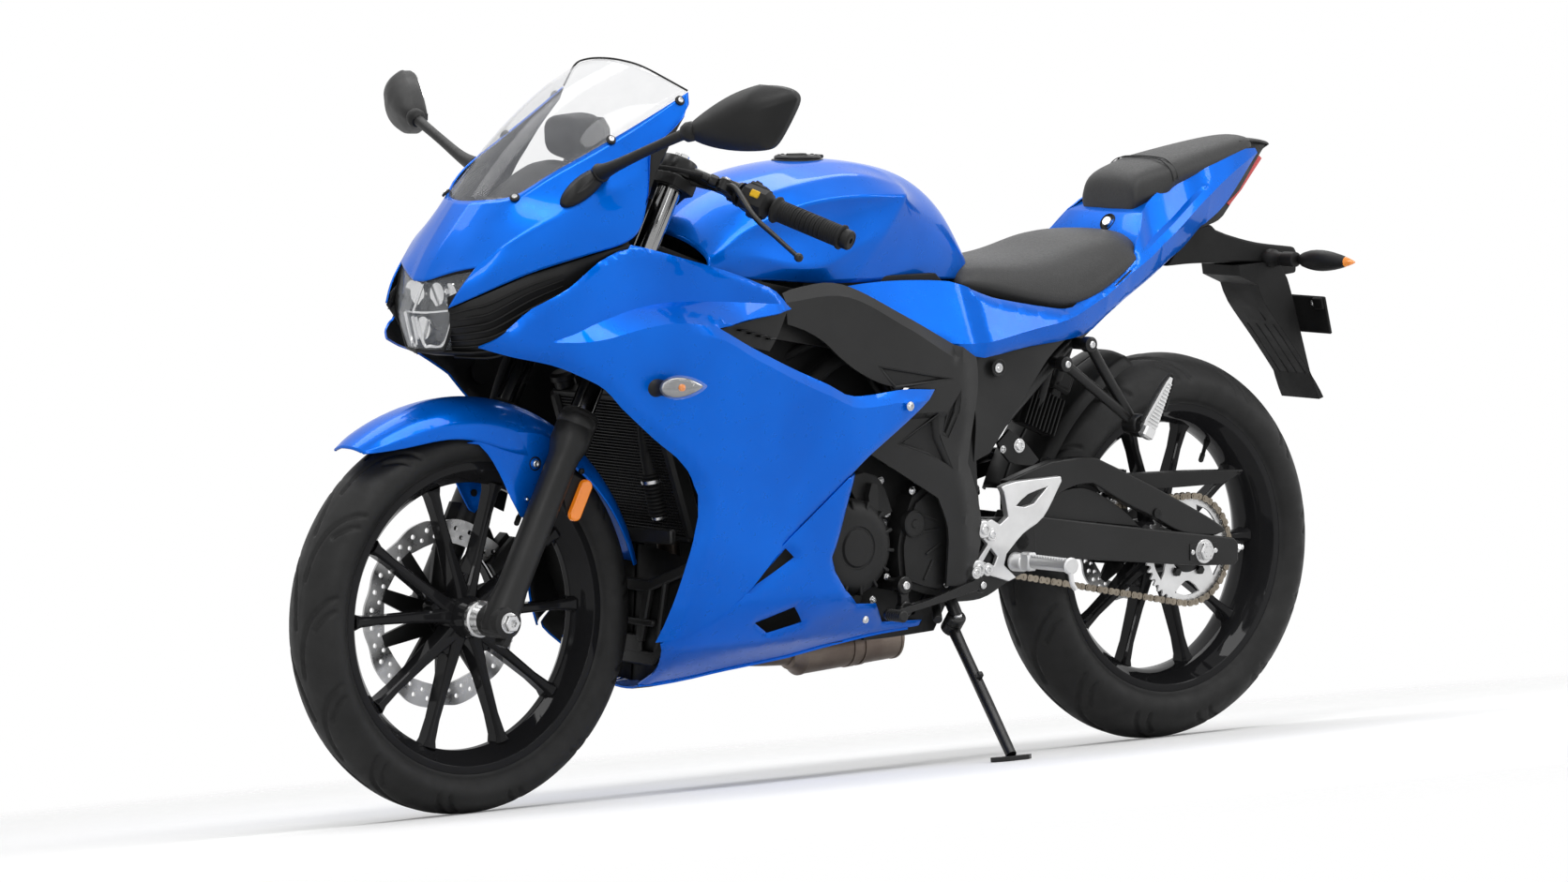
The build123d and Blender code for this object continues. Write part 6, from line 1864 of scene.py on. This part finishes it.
def on_core(t, y, out=0.0):
    """A point on the radiator's front: t from its foot up, y across."""
    return CORE_FOOT.lerp(CORE_TOP, t) + SIDE * y + CORE_OUT * out


s = Shape().plate(((1002, 397), (1022, 392), (1092, 602), (1072, 610)), -112, 112, limit=0)
s.piece("radiator_core", SHADE_DARKENED_BLACK, instead="radiator")
s = Shape()
for k in range(44):
    t = 0.03 + 0.94 * k / 43
    s.block(on_core(t, 0, -4), (5, 1.5, 222), CORE_OUT, SIDE, 1, 0.3)
for k in range(38):
    s.block(on_core(0.5, -110 + 220 * k / 37, -5), (3, 0.9, 214), CORE_OUT, CORE_UP, 1, 0.2)
s.piece("radiator_fins", SATIN, angle=20)
s = Shape()
for y in (121, -121):
    s.block(on_core(0.5, y, -9), (28, 20, 222), CORE_OUT, CORE_UP, 1, 5)
for t in (0.0, 1.0):
    s.block(on_core(t, 0, -8), (24, 8, 240), CORE_OUT, SIDE, 1, 2)
s.turned([(0, 16), (10, 16), (12, 20), (20, 20), (24, 15), (24, 0)], on_core(1.02, -104, -12), CORE_UP, 24)
s.piece("radiator_tanks", BLACK)
s = Shape()
hub = on_core(0.5, 0, -44)
s.turned([(-6, 84), (10, 88), (12, 84), (0, 80)], hub, CORE_OUT, 48)
s.turned([(-14, 24), (6, 26), (8, 20), (8, 0)], hub, CORE_OUT, 28)
for k in range(7):
    a = 2 * pi * k / 7
    d = CORE_UP * cos(a) + SIDE * sin(a)
    s.block(hub + d * 52, (60, 20, 2.6), d, (0.8, 0.4, -0.2), 1.3, 0.8)
s.piece("radiator_fan", BLACK, edge=0.4)

# %% Chin lattice and ribbed hose in front of the engine
s = Shape()


def bar(a, b, wide, deep=10):
    """A flat bar from a to b, a little longer at both ends."""
    a, b = Vector(a), Vector(b)
    s.block((a + b) / 2, ((b - a).length + 6, wide, deep), b - a, (1, 0, 0), 1, 2.5)


for out in (1, -1):
    bar((1054, out * 150, 352), (1052, out * 52, 318), 16)
    bar((1052, out * 52, 318), (1046, out * 22, 236), 17)
    bar((1056, out * 176, 330), (1050, out * 60, 206), 14)
    bar((1052, out * 92, 330), (1050, out * 66, 216), 9)
bar((1052, -56, 318), (1052, 56, 318), 18)
bar((1050, -60, 262), (1050, 60, 262), 10)
bar((1046, -58, 208), (1046, 58, 208), 20)
for out in (1, -1):
    bar((1070, out * 130, 398), (1058, out * 10, 392), 22)
bar((1046, 0, 240), (1046, 0, 200), 52, 7)
s.piece("chin_lattice", SATIN, edge=1.0)
# Dark sheets behind the lattice: painted shade in its openings.
s = Shape()
for out in (1, -1):
    s.sheet([[(x, out * y, z) for x, y, z in row] for row in (((1036, 0, 376), (1046, 0, 172)),
        ((1040, 60, 372), (1044, 30, 174)), ((1050, 130, 366), (1048, 62, 180)),
        ((1066, 196, 360), (1058, 120, 216)))])
s.piece("chin_shade_backing", SHADE_DARKENED_BLACK, thick=2)
s = Shape()
profile = [(0, 12)]
for k in range(11):
    profile += [(6 * k + 1, 15.5), (6 * k + 3, 16.5), (6 * k + 4.5, 15.5), (6 * k + 5.5, 12.5)]
profile += [(70, 12), (100, 11)]
HOSE_UP = (0.25, 0, 0.97)
s.turned(profile, (1040, 62, 424), HOSE_UP, 24)
s.tube([(1066, 62, 516), (1074, 66, 560), (1078, 84, 600)], 9, 12)
s.piece("ribbed_hose", GRIP, angle=60)
s = Shape().turned([(0, 10), (1, 12.4), (5, 12.4), (6, 11)], (1040, 62, 418), HOSE_UP, 24)
s.turned([(0, 17.4), (5, 17.4)], (1054, 62, 474), HOSE_UP, 24)
s.piece("hose_clips", ZINC)

# %% Exhaust: header, chamber and silencer
s = Shape().tube([(938, 0, 560), (972, 0, 545), (986, 0, 490), (976, -3, 400), (962, -10, 300),
    (945, -10, 238), (900, -10, 206), (820, -10, 192), (740, -10, 187)], 17, 20, 8)
s.tube([(530, -20, 200), (505, -60, 203), (480, -105, 210), (430, -150, 224)], 15, 18, 8)
s.turned([(0, 15), (3, 22), (12, 26), (20, 34), (24, 34), (24, 33), (112, 33), (112, 34.4), (126, 34.4),
    (126, 33), (134, 33), (134, 34.4), (142, 34.4), (142, 33), (206, 33), (206, 34), (210, 34), (221, 22),
    (224, 15)], (744, -10, 186), (-224, 0, 14), 56)
s.piece("header_and_chamber", PIPE, instead="exhaust", angle=25)
s = Shape()
a, b = Vector((440, -148, 222)), Vector((250, -176, 262))
s.turned([(-8, 15), (0, 26), (8, 35), (14, 36), (150, 36), (152, 36.6), (160, 36.6), (162, 35.5), (186, 33),
    (194, 30), (194, 17), (180, 16), (180, 0)], a, b - a, 48)
s.piece("silencer", CASTING, angle=25)
s = Shape().turned([(150, 36.4), (150, 37.2), (156, 37.2), (156, 36.4)], a, b - a, 48)
s.turned([(4, 33), (4, 35.4), (9, 36.4), (9, 33)], a, b - a, 48)
s.turned([(172, 17), (196, 17), (196, 15), (172, 15)], a, b - a, 32)
for k in range(2):
    s.bolt(a.lerp(b, 0.3 + 0.4 * k) - Vector((0, 8, -36)), (0, -0.2, 1), 5, 4)
s.piece("silencer_bands", STEEL)

# %% [markdown]
# ## Frame and its covers
# The welded frame is hidden by moulded covers shaped like a leaning Y. Shallow
# pockets in them are cut as real steps.

# %% Frame covers
s = Shape().turned([(483, 24), (485, 30), (505, 31), (512, 28), (658, 28), (665, 31), (685, 30),
    (687, 24)], steer(0), UP, 36)
s.rod((1068, -25, 790), (1068, 25, 790), 22)
s.rod((500, -128, 600), (500, 128, 600), 16)
s.rod((405, -150, 350), (405, 150, 350), 14)
s.rod((560, -128, 282), (560, 128, 282), 12)
s.rod((600, -128, 650), (600, 128, 650), 11)
s.rod((1088, 0, 797), (1245, 0, 812), 12)
s.rod((1245, -130, 812), (1245, 130, 812), 8)
s.rod((1245, 0, 812), (1325, 0, 764), 9)
s.piece("frame_tubes", COATED, instead="frame", angle=50)
s = Shape().loft([[(x, y1, hi), (x, y1, lo), (x, y0, lo), (x, y0, hi)]
                  for y0, y1, x, hi, lo in ((14, 30, 1068, 838, 735), (96, 122, 930, 775, 690),
                                            (126, 149, 760, 735, 660), (126, 149, 520, 640, 560))])
s.plate(((560, 655), (500, 640), (498, 480), (490, 392), (380, 385), (375, 312), (435, 290), (490, 268),
    (575, 268), (600, 470), (620, 560)), 126, 150, limit=30)
s.tube([(1060, 24, 745), (1000, 64, 655), (935, 108, 560), (870, 110, 500)], 14, 16)
s.rod((905, 100, 735), (905, 180, 735), 7)
s.rod((560, 126, 275), (600, 180, 246), 7)
s.rod((900, 112, 720), (900, 112, 772), 10)
s.rod((600, 80, 650), (600, 80, 772), 10)
s.mirror().piece("frame_spars", COATED, edge=4, angle=40)
COVER = ((896, 752), (860, 760), (780, 760), (650, 703), (521, 640), (517, 600), (530, 540), (540, 480),
    (533, 470), (503, 388), (506, 340), (521, 301), (534, 292), (574, 295), (576, 368), (584, 398),
    (601, 431), (660, 466), (724, 504), (716, 520), (690, 546), (664, 562), (636, 590), (609, 596),
    (700, 606), (752, 626), (790, 650), (825, 678), (860, 696), (892, 706))
POCKETS = (((722, 637), (575, 611), (690, 600)), ((560, 594), (564, 560), (584, 521), (595, 527),
    (586, 562)), ((676, 517), (604, 560), (598, 524), (575, 474), (619, 497)))
RIDGE = ((900, 738), (780, 742), (650, 684), (560, 634))
LEG = ((556, 650), (552, 560), (566, 480), (548, 400), (540, 290))
COVER_OUT, KNEE = 187, 560


def cover_face(x, z):
    """Three facets: a top one that leans in, a flat one, and the leg's rear one."""
    y = COVER_OUT - 0.03 * max(0, x - 640) - 0.10 * max(0, 440 - z)
    if x > KNEE:
        y -= 0.55 * max(0, z - line_at(RIDGE, x))
    shin = line_at([(z0, x0) for x0, z0 in LEG], z)
    return y - 0.32 * max(0, shin - x) - 0.10 * max(0, x - shin) * (1 if z < KNEE else 0)


ridges = ([(x, line_at(RIDGE, x)) for x in range(896, 562, -20)],)
s = Shape().skin(COVER, cover_face, 9, POCKETS, limit=24, lines=ridges)
s.mirror().piece("frame_covers", SATIN, thick=5, edge=1.2, angle=22)
s = Shape()
for pocket, deep in zip(POCKETS, (9, 11, 13)):
    mid = Vector((sum(p[0] for p in pocket) / len(pocket), sum(p[1] for p in pocket) / len(pocket)))
    outer = [(p[0], cover_face(*p) - 1, p[1]) for p in pocket]
    inner = [mid.lerp(Vector(p), 0.72) for p in pocket]
    inner = [(p.x, cover_face(p.x, p.y) - deep, p.y) for p in inner]
    n = len(pocket)
    s.add(outer + inner, [(i, (i + 1) % n, n + (i + 1) % n, n + i) for i in range(n)]
        + [tuple(n + i for i in range(n))])
s.mirror().piece("frame_cover_pockets", SATIN, thick=2, angle=15)
SEAT_RAIL = ((506, 560), (504, 478), (470, 490), (424, 548), (358, 628), (290, 676), (262, 700), (290, 704),
    (350, 690), (420, 668), (504, 640))
s = Shape().plate(SEAT_RAIL, 129,
    lambda x, z: 158 - 0.12 * abs(z - (x - 262) * -0.55 - 672) - 0.02 * (504 - x), limit=24)
s.turned([(156, 13), (157, 14), (158, 14), (158.5, 12), (157, 10), (157, 0)], (460, 0, 620), SIDE, 24)
s.mirror().piece("seat_rail_covers", SATIN, edge=1.6)
screws("cover_screws", (((460, 157, 620), SIDE, 4.6, 4, 7.5), ((690, 221, 577), SIDE, 5, 4, 7),
    ((779, 224, 263), SIDE, 3.6, 3, 5.5), ((479, 165, 367), SIDE, 6.6, 4, 10),
    ((488, 165, 314), SIDE, 6.6, 4, 10), ((522, 178, 312), SIDE, 6, 3, 9)), mirror=True)
s = Shape().plate(((1040, 700), (1016, 706), (960, 716), (896, 727), (912, 694), (930, 668), (972, 678)),
    176, 184, limit=40)
for k in range(4):
    s.block((985 - 18 * k, 186, 702 - 5 * k), (12, 3, 20), (1, 0, 0), SIDE, 0.8, 1)
s.mirror().piece("notch_ducts", SATIN, edge=1.2)
# Dark sheets inside the engine bay, between frame and engine: painted shade.
s = Shape().plate(((955, 560), (900, 690), (700, 720), (640, 640), (650, 560), (720, 500), (900, 470)), 96,
    104, limit=60)
s.mirror().piece("engine_bay_shade_sheets", SHADE_DARKENED_BLACK, edge=1.0)

# %% Rear subframe, regulator and relay
s = Shape()
for path in (((520, 105, 610), (330, 110, 690), (150, 85, 770), (-60, 40, 845)),
        ((470, 126, 500), (300, 114, 635), (170, 95, 715), (110, 82, 772))):
    dense = []
    for p, q in zip(path, path[1:]):
        dense += [Vector(p).lerp(Vector(q), t) for t in (0.0, 0.25, 0.75)]
    s.tube(dense + [Vector(path[-1])], 12, 16, 4)
s.mirror()
s.rod((-52, -45, 842), (-52, 45, 842), 11)
s.rod((330, -112, 690), (330, 112, 690), 11)
s.rod((160, -88, 765), (160, 88, 765), 11)
s.plate(((500, 640), (430, 660), (330, 676), (330, 700), (520, 660)), 104, 112, limit=50)
s.piece("rear_subframe_tubes", COATED, instead="subframe", angle=50)
s = Shape()
lie = Vector((0.85, 0, 0.35)).normalized()
rise = Vector((-0.35, 0, 0.85)).normalized()
corner = Vector((292, 75, 500))
centre = corner + lie * 36 + rise * 31
s.block(centre, (72, 16, 62), lie, rise, 1, 2)
for k in range(9):
    s.block(centre + lie * (-32 + 8 * k) + SIDE * 12, (3, 22, 60), lie, rise, 1, 0.8)
s.rod((318, 80, 535), (318, 114, 620), 8)
s.rod((276, 80, 585), (276, 112, 650), 8)
s.plate(((400, 470), (424, 500), (400, 520), (370, 500), (340, 470), (352, 462)), 108, 114, limit=50)
s.piece("regulator", CASTING, edge=0.5)
s = Shape()
centre = Vector((252, 75, 560)) + lie * 22 + rise * 22
s.block(centre, (42, 26, 42), lie, rise, 0.92, 5)
s.block(centre + SIDE * 13, (26, 4, 26), lie, rise, 1, 2)
s.block(centre - rise * 25 + lie * 4, (20, 16, 14), lie, rise, 1, 2)
s.tube([centre - rise * 30, centre - rise * 46 + lie * 16, Vector((330, 80, 530))], 4, 8)
s.tube([centre + rise * 22, centre + rise * 46 + lie * 12, Vector((300, 96, 650))], 4, 8)
s.piece("relay_box", BLACK, edge=0.8)
screws("regulator_screws", (((381, 114, 494), SIDE, 8, 5, 11), ((414, 114, 490), SIDE, 4.4, 4, 6)))

# %% [markdown]
# ## Rear end
# The swingarm is a flat box on each side with a brace bent over it. The chain
# runs inside the left one, and its guard hangs between arm and wheel.

# %% Swingarm
SWINGARM = ((412, 397), (339, 383), (164, 357), (-20, 331), (-66, 324), (-75, 314), (-75, 288), (-66, 281),
    (20, 286), (164, 301), (387, 325), (404, 333), (420, 352), (420, 380))
BRACE = ((406, 441), (340, 460), (315, 466), (238, 469), (199, 457), (80, 405), (-20, 357), (-52, 336),
    (-30, 330), (40, 338), (100, 366), (159, 391), (228, 427), (262, 426), (300, 414), (345, 384),
    (405, 392))
s = Shape().plate(SWINGARM, 97, 120, limit=20)
s.piece("swingarm_beam_left", COATED, instead="swingarm", edge=3.2, segments=3)
s = Shape().plate(SWINGARM, -120, -97, limit=20)
s.block((362, 0, 334), (36, 190, 52), (1, 0, 0), (0, 0, 1), 1, 8)
s.turned([(-124, 24), (-121, 26), (-96, 26), (-94, 22), (94, 22), (96, 26), (121, 26), (124, 24)],
    (405, 0, 350), SIDE, 32)
s.piece("swingarm_beam_right", COATED, edge=2.0)
s = Shape().plate(BRACE, 96, lambda x, z: 117 - 0.06 * abs(z - line_at(((410, 415), (315, 442), (230, 448),
    (80, 386), (-60, 332)), x)), limit=24)
s.mirror().piece("swingarm_braces", COATED, edge=3.2, segments=3)
s = Shape().plate(((380, 386), (345, 382), (164, 358), (120, 352), (160, 384), (240, 420), (330, 404)), 97,
    101, limit=40)
s.piece("brace_web", COATED, edge=0.8)

# %% Rear axle, chain adjusters and rear caliper
s = Shape().turned([(-131, 8.4), (131, 8.4)], REAR, SIDE, 24)
for out in (1, -1):
    s.turned([(119.5, 19), (121.6, 19), (122.4, 18), (122.4, 8)], REAR, SIDE * out, 32)
    s.turned([(121.6, 15), (129.4, 15), (131, 13.4), (131, 9.4), (128, 9), (128, 0)], REAR, SIDE * out, 6)
    s.turned([(83 if out > 0 else 75, 15), (95.5, 15)], REAR, SIDE * out, 24)
    s.turned([(0, 5), (16, 5), (17, 4)], (-76, out * 108, 307), (-1, 0, 0), 16)
    s.turned([(2, 8), (8, 8)], (-76, out * 108, 307), (-1, 0, 0), 6)
    for dx in (-22, 26):
        s.turned([(121, 4), (123.5, 4), (124.5, 3)], REAR + Vector((dx, 0, 0)), SIDE * out, 14)
s.piece("rear_axle_set", ZINC, instead="rear_axle", angle=30)
s = Shape()
for out in (1, -1):
    s.block(REAR + SIDE * out * 120.5 + Vector((2, 0, 0)), (58, 2.6, 26), (1, 0, 0), (0, 0, 1), 1, 0.8)
s.piece("chain_adjuster_plates", COATED)
s = Shape()
arc_block(s, REAR, 70, 116, 63, 90, -94, -81)
arc_block(s, REAR, 78, 116, 63, 90, -64, -62.5)
arc_block(s, REAR, 102, 117, 65, 88, -92, -63)
s.turned([(0, 15), (5, 15), (7, 13), (7, 5), (5, 4), (5, 0)], ring_point(REAR, 92, 77, -94), -SIDE, 24)
s.plate(((14, 372), (44, 360), (60, 344), (70, 330), (60, 322), (24, 326), (0, 340), (-6, 360)), -95, -88,
    limit=60)
s.piece("rear_caliper", BLACK, edge=2.0)
s = Shape().tube([ring_point(REAR, 117, 70, -78), (60, -80, 424), (130, -108, 420), (230, -124, 446),
    (330, -124, 440), (405, -126, 400), (470, -122, 340)], 4, 10, 8)
s.piece("rear_brake_hose", GRIP)

# %% Chain guard and hugger
s = Shape().plate(((330, 428), (262, 431), (141, 434), (0, 431), (-108, 427), (-84, 416), (-62, 409),
    (82, 408), (200, 410), (262, 414)), 91, 95, limit=40)
s.loft([[(x, y, z), (x, y, z - 3), (x, 94, z - 3), (x, 94, z)]
        for x, y, z in ((330, 84, 430), (262, 78, 432), (141, 71, 435), (0, 71, 432), (-80, 76, 429),
                        (-106, 90, 428))])
s.piece("chain_guard", BLACK, instead="rear_guards", edge=1.0)
hug = []
for a in (19, 26, 34, 42, 50, 58, 66, 71):
    k = 1 if a < 66 else 0.92
    hug.append([ring_point(REAR, r, a, y * k) for r, y in ((335, 0), (335, 22), (331, 40), (327, 56),
        (318, 66), (311, 69))])
hugger = half_cage(hug, {2: 0.3, 3: 0.75, 5: 1}, {0: 1, 7: 1})
for out in (1, -1):
    hugger.rod((285, out * 62, 462), (285, out * 98, 452), 8)
hugger.piece("rear_hugger", BLACK, thick=2.6, cage=2)
screws("guard_screws", (((96, 117, 372), SIDE, 5, 2, 8), ((-98, 95, 424), SIDE, 3, 2),
    ((250, 95, 424), SIDE, 4, 3)), BLACK)

# %% Shock absorber
low, high = Vector((385, 0, 372)), Vector((440, 0, 600))
axis = (high - low).normalized()
fore = axis.cross(SIDE)
TURNS, TURN_POINTS = 7, 16
s = Shape()
coil = []
for k in range(TURNS * TURN_POINTS + 1):
    a = 2 * pi * k / TURN_POINTS
    rise = 44 + 124 * k / (TURNS * TURN_POINTS)
    coil.append(low + axis * rise + (SIDE * cos(a) + fore * sin(a)) * 21.5)
s.tube(coil, 4.4, 8, 1, smooth=False)
s.piece("shock_spring", STEEL, instead="rear_shock")
s = Shape().turned([(0, 11), (8, 14), (34, 14), (38, 25), (43, 25.5), (45, 14), (120, 14), (168, 15),
    (169, 26), (174, 26), (178, 16), (222, 14), (234, 12)], low, axis, 36)
s.rod((440, -40, 600), (440, 40, 600), 12)
s.rod((440, -30, 600), (500, -30, 600), 8)
s.rod((440, 30, 600), (500, 30, 600), 8)
s.piece("shock_damper", BLACK, angle=30)

# %% [markdown]
# ## Footpegs, controls and side stand
# The hanger plates and pegs are bare alloy. The gear lever is linked by a rod
# with a ball at each end.

# %% Hangers and pegs
HANGER = ((461, 438), (433, 445), (338, 448), (336, 440), (373, 387), (414, 364), (446, 335), (450, 318),
    (424, 297), (439, 292), (480, 304), (500, 306), (512, 318), (484, 352), (500, 366), (500, 384),
    (478, 390), (462, 381), (446, 392), (455, 430))
HOLES = (((430, 408), (406, 424), (366, 433), (393, 409), (414, 405)),
    ((478, 346), (492, 326), (470, 318), (464, 332)))
s = Shape().plate(HANGER, 152, lambda x, z: 165 - 0.05 * max(0, 380 - z)
    + 0.02 * (z - 380) - 0.03 * abs(x - 440), HOLES, limit=30)
for x, z in ((500, 376), (512, 316)):
    s.turned([(150, 15), (164, 15), (168, 13), (168, 8)], (x - 4, 0, z), SIDE, 28)
s.turned([(160, 15), (182, 14), (186, 12), (186, 0)], (430, 0, 322), SIDE, 28)
s.mirror().piece("peg_hangers", ALLOY, instead="rider_pegs", edge=1.8)
s = Shape().block((431, 194, 325), (18, 28, 22), (1, 0, 0), SIDE, 1, 3)
s.turned([(0, 8), (2, 10.5), (84, 10), (86, 8)], (430, 204, 325), (0.03, 1, 0.01), 20)
for k in range(12):
    s.block((431, 210 + 6.2 * k, 334.5), (15, 3, 4.5), (1, 0, 0), SIDE, 1, 0.8)
s.loft([[Vector((432, 288, 326)) + Vector((cos(t) * r, d, sin(t) * r * 0.9))
    for t in around_circle(16)] for d, r in ((0, 10), (1, 14), (5, 14.5), (7, 12))])
s.tube([(432, 291, 316), (430, 293, 300), (424, 294, 290)], 4, 10)
s.mirror().piece("rider_footpegs", ALLOY, edge=0.3)
s = Shape()
for x, z in ((496, 376), (508, 316)):
    s.bolt((x, 168, z), SIDE, 8, 4)
s.bolt((430, 186, 322), SIDE, 6, 3, False)
s.mirror().piece("hanger_screws", ZINC)

# %% Pillion brackets with folded pegs
s = Shape().tube([(322, 149, 620), (280, 149, 592), (220, 150, 551), (178, 151, 521)], 8.2, 16)
s.tube([(270, 149, 648), (240, 149, 606), (205, 150, 558), (178, 151, 521)], 8.2, 16)
BRACKET_BOLTS = ((322, 619), (272, 647))
for x, z in BRACKET_BOLTS:
    s.turned([(110, 9), (142, 9), (144, 12), (158, 12), (159, 10), (159, 6)], (x, 0, z), SIDE, 24)
s.turned([(138, 14), (141, 16.5), (166, 16.5), (170, 14), (170, 0)], (178, 0, 519), SIDE, 28)
s.block((178, 168, 512), (24, 24, 30), (0.97, 0, 0.24), SIDE, 1, 4)
s.mirror().piece("pillion_brackets", COATED, instead="pillion_pegs", edge=0.8)
s = Shape()
foot_of, top_of = Vector((176, 181, 514)), Vector((134, 186, 592))
d = (top_of - foot_of).normalized()
across = Vector((0.88, 0, 0.47)).normalized()
s.loft([[foot_of + d * t * 88 + across * p * w + SIDE * q for p, q in ((1, -3), (1, 4), (-1, 4), (-1, -3))]
    for t, w in ((0, 13), (0.12, 14), (0.85, 6), (1, 3))])
for k in range(13):
    w = 13 - 8 * k / 13
    s.block(foot_of + d * (10 + 5.6 * k) + SIDE * 5.4 - across * 2, (2.6, 2 * w - 5, 2.6), d, SIDE, 1, 0.5)
s.block(foot_of - d * 6 + SIDE * 2, (20, 22, 18), d, SIDE, 1, 3)
s.mirror().piece("pillion_pegs_folded", ALLOY, edge=0.5)
s = Shape().tube([foot_of + d * 4 + across * 17, foot_of + d * 50 + across * 14,
    top_of + d * 2 + across * 4, top_of - d * 6 - across * 10, foot_of + d * 40 - across * 17], 2.6, 8)
s.mirror().piece("pillion_peg_frames", BLACK)
screws("pillion_screws", [((x, 159, z), SIDE, 5.5, 3) for x, z in BRACKET_BOLTS], mirror=True)

# %% Gear linkage and brake pedal
def strap(s, wide, rows):
    """A flat lever through rows of (x, y, z, half its height)."""
    return s.loft([[(x, y, z + h), (x, y, z - h), (x, y + wide, z - h), (x, y + wide, z + h)]
                   for x, y, z, h in rows])


s = Shape().turned([(120, 10), (160, 10), (162, 14), (174, 14), (176, 12), (176, 7)], (660, 0, 302), SIDE,
    28)
s.turned([(158, 10), (160, 12), (172, 12), (174, 10)], (655, 0, 266), SIDE, 24)
s.loft([[(660 - 5 * t + a * w, y, 302 - 36 * t) for a, y in ((-1, 162), (1, 162), (1, 171), (-1, 171))]
    for t, w in ((0.15, 10), (0.5, 7), (0.85, 9))])
s.tube([(655, 166, 268), (600, 167, 274), (500, 167, 290)], 5.2, 12)
s.turned([(0, 8), (2, 9), (12, 9), (14, 8)], (506, 160, 289), SIDE, 18)
strap(s, 7, ((506, 168, 296, 9), (560, 170, 284, 7), (620, 174, 272, 5), (690, 180, 262, 5),
    (704, 182, 262, 5)))
s.turned([(0, 7.5), (2, 8.5), (38, 8.5), (40, 7)], (702, 182, 262), SIDE, 20)
for k in range(7):
    s.turned([(6 + 5 * k, 8.4), (6.6 + 5 * k, 9.4), (8.6 + 5 * k, 9.4), (9.2 + 5 * k, 8.4)],
        (702, 182, 262), SIDE, 20)
s.piece("gear_linkage", COATED, instead="foot_controls", edge=0.6)
s = Shape().turned([(-172, 10), (-170, 12), (-152, 12), (-150, 10)], (500, 0, 300), SIDE, 24)
strap(s, -8, ((500, -162, 300, 9), (560, -165, 284, 7), (610, -170, 268, 5), (640, -174, 263, 6)))
s.block((642, -196, 265), (26, 36, 9), (1, 0, 0.1), (0, 0, 1), 1, 2.5)
for k in range(4):
    s.block((634 + 6 * k, -196, 270.5), (3, 32, 3), (1, 0, 0.1), (0, 0, 1), 1, 0.8)
s.rod((500, -160, 300), (470, -160, 330), 5)
s.turned([(0, 9), (50, 9), (54, 7)], (470, -158, 330), (-0.1, 0, 1), 20)
s.piece("brake_pedal", COATED, edge=0.5)
screws("pedal_screws", (((660, 176, 302), SIDE, 6.5, 3), ((655, 174, 266), SIDE, 5, 3),
    ((506, 175, 292), SIDE, 5.5, 3), ((500, -172, 300), -SIDE, 6, 4)))

# %% Side stand, down
def from_floor(x, y, z):
    """A point of the leaned bike before its shift, back in its own frame."""
    return Vector((x, y * cos(LEAN) - z * sin(LEAN), y * sin(LEAN) + z * cos(LEAN)))


hinge = Vector((541, 143, 230))
foot_at = from_floor(578, 330, 5.4)
down = (foot_at - hinge).normalized()
pin = down.cross(Vector((-0.985, 0.12, 0.05)).normalized()).normalized()
s = Shape().turned([(-9.3, 13), (-8, 15), (8, 15), (9.3, 13), (9.3, 6.1)], hinge, pin, 28)
s.tube([hinge + down * 6, hinge + down * 60, hinge.lerp(foot_at, 0.6), foot_at - down * 3],
    (9.6, 8.8, 9, 8.4), 16)
lug = hinge.lerp(foot_at, 0.42)
s.block(lug + pin * 10, (10, 10, 14), down, pin, 1, 2)
s.piece("side_stand_leg", COATED, "side_stand", "side_stand", edge=0.5)
s = Shape()
base = from_floor(545, 308, 0.6)
flat, up = Vector((0, cos(LEAN), sin(LEAN))), Vector((0, -sin(LEAN), cos(LEAN)))
s.loft([[base + Vector((1, 0, 0)) * x + flat * y + up * h for x, y in ((2, 8), (10, 0), (58, 2), (69, 14),
    (68, 34), (56, 43), (16, 42), (3, 32))] for h in (-0.6, 1, 5, 6.4)])
s.piece("side_stand_foot", COATED, "side_stand", edge=1.0)
s = Shape().rod((548, 138, 285), hinge + pin * 22, 10)
s.turned([(9.8, 13), (11, 15), (22, 15), (24, 13), (24, 0)], hinge, pin, 28)
s.turned([(-14, 6), (24, 6)], hinge, pin, 24)
s.piece("stand_bracket", COATED, edge=0.4)
s = Shape().turned([(9.8, 10), (14, 9), (14, 0)], hinge, -pin, 6)
s.turned([(24, 8), (28, 7), (28, 0)], hinge, pin, 6)
s.piece("stand_pivot_bolt", ZINC)
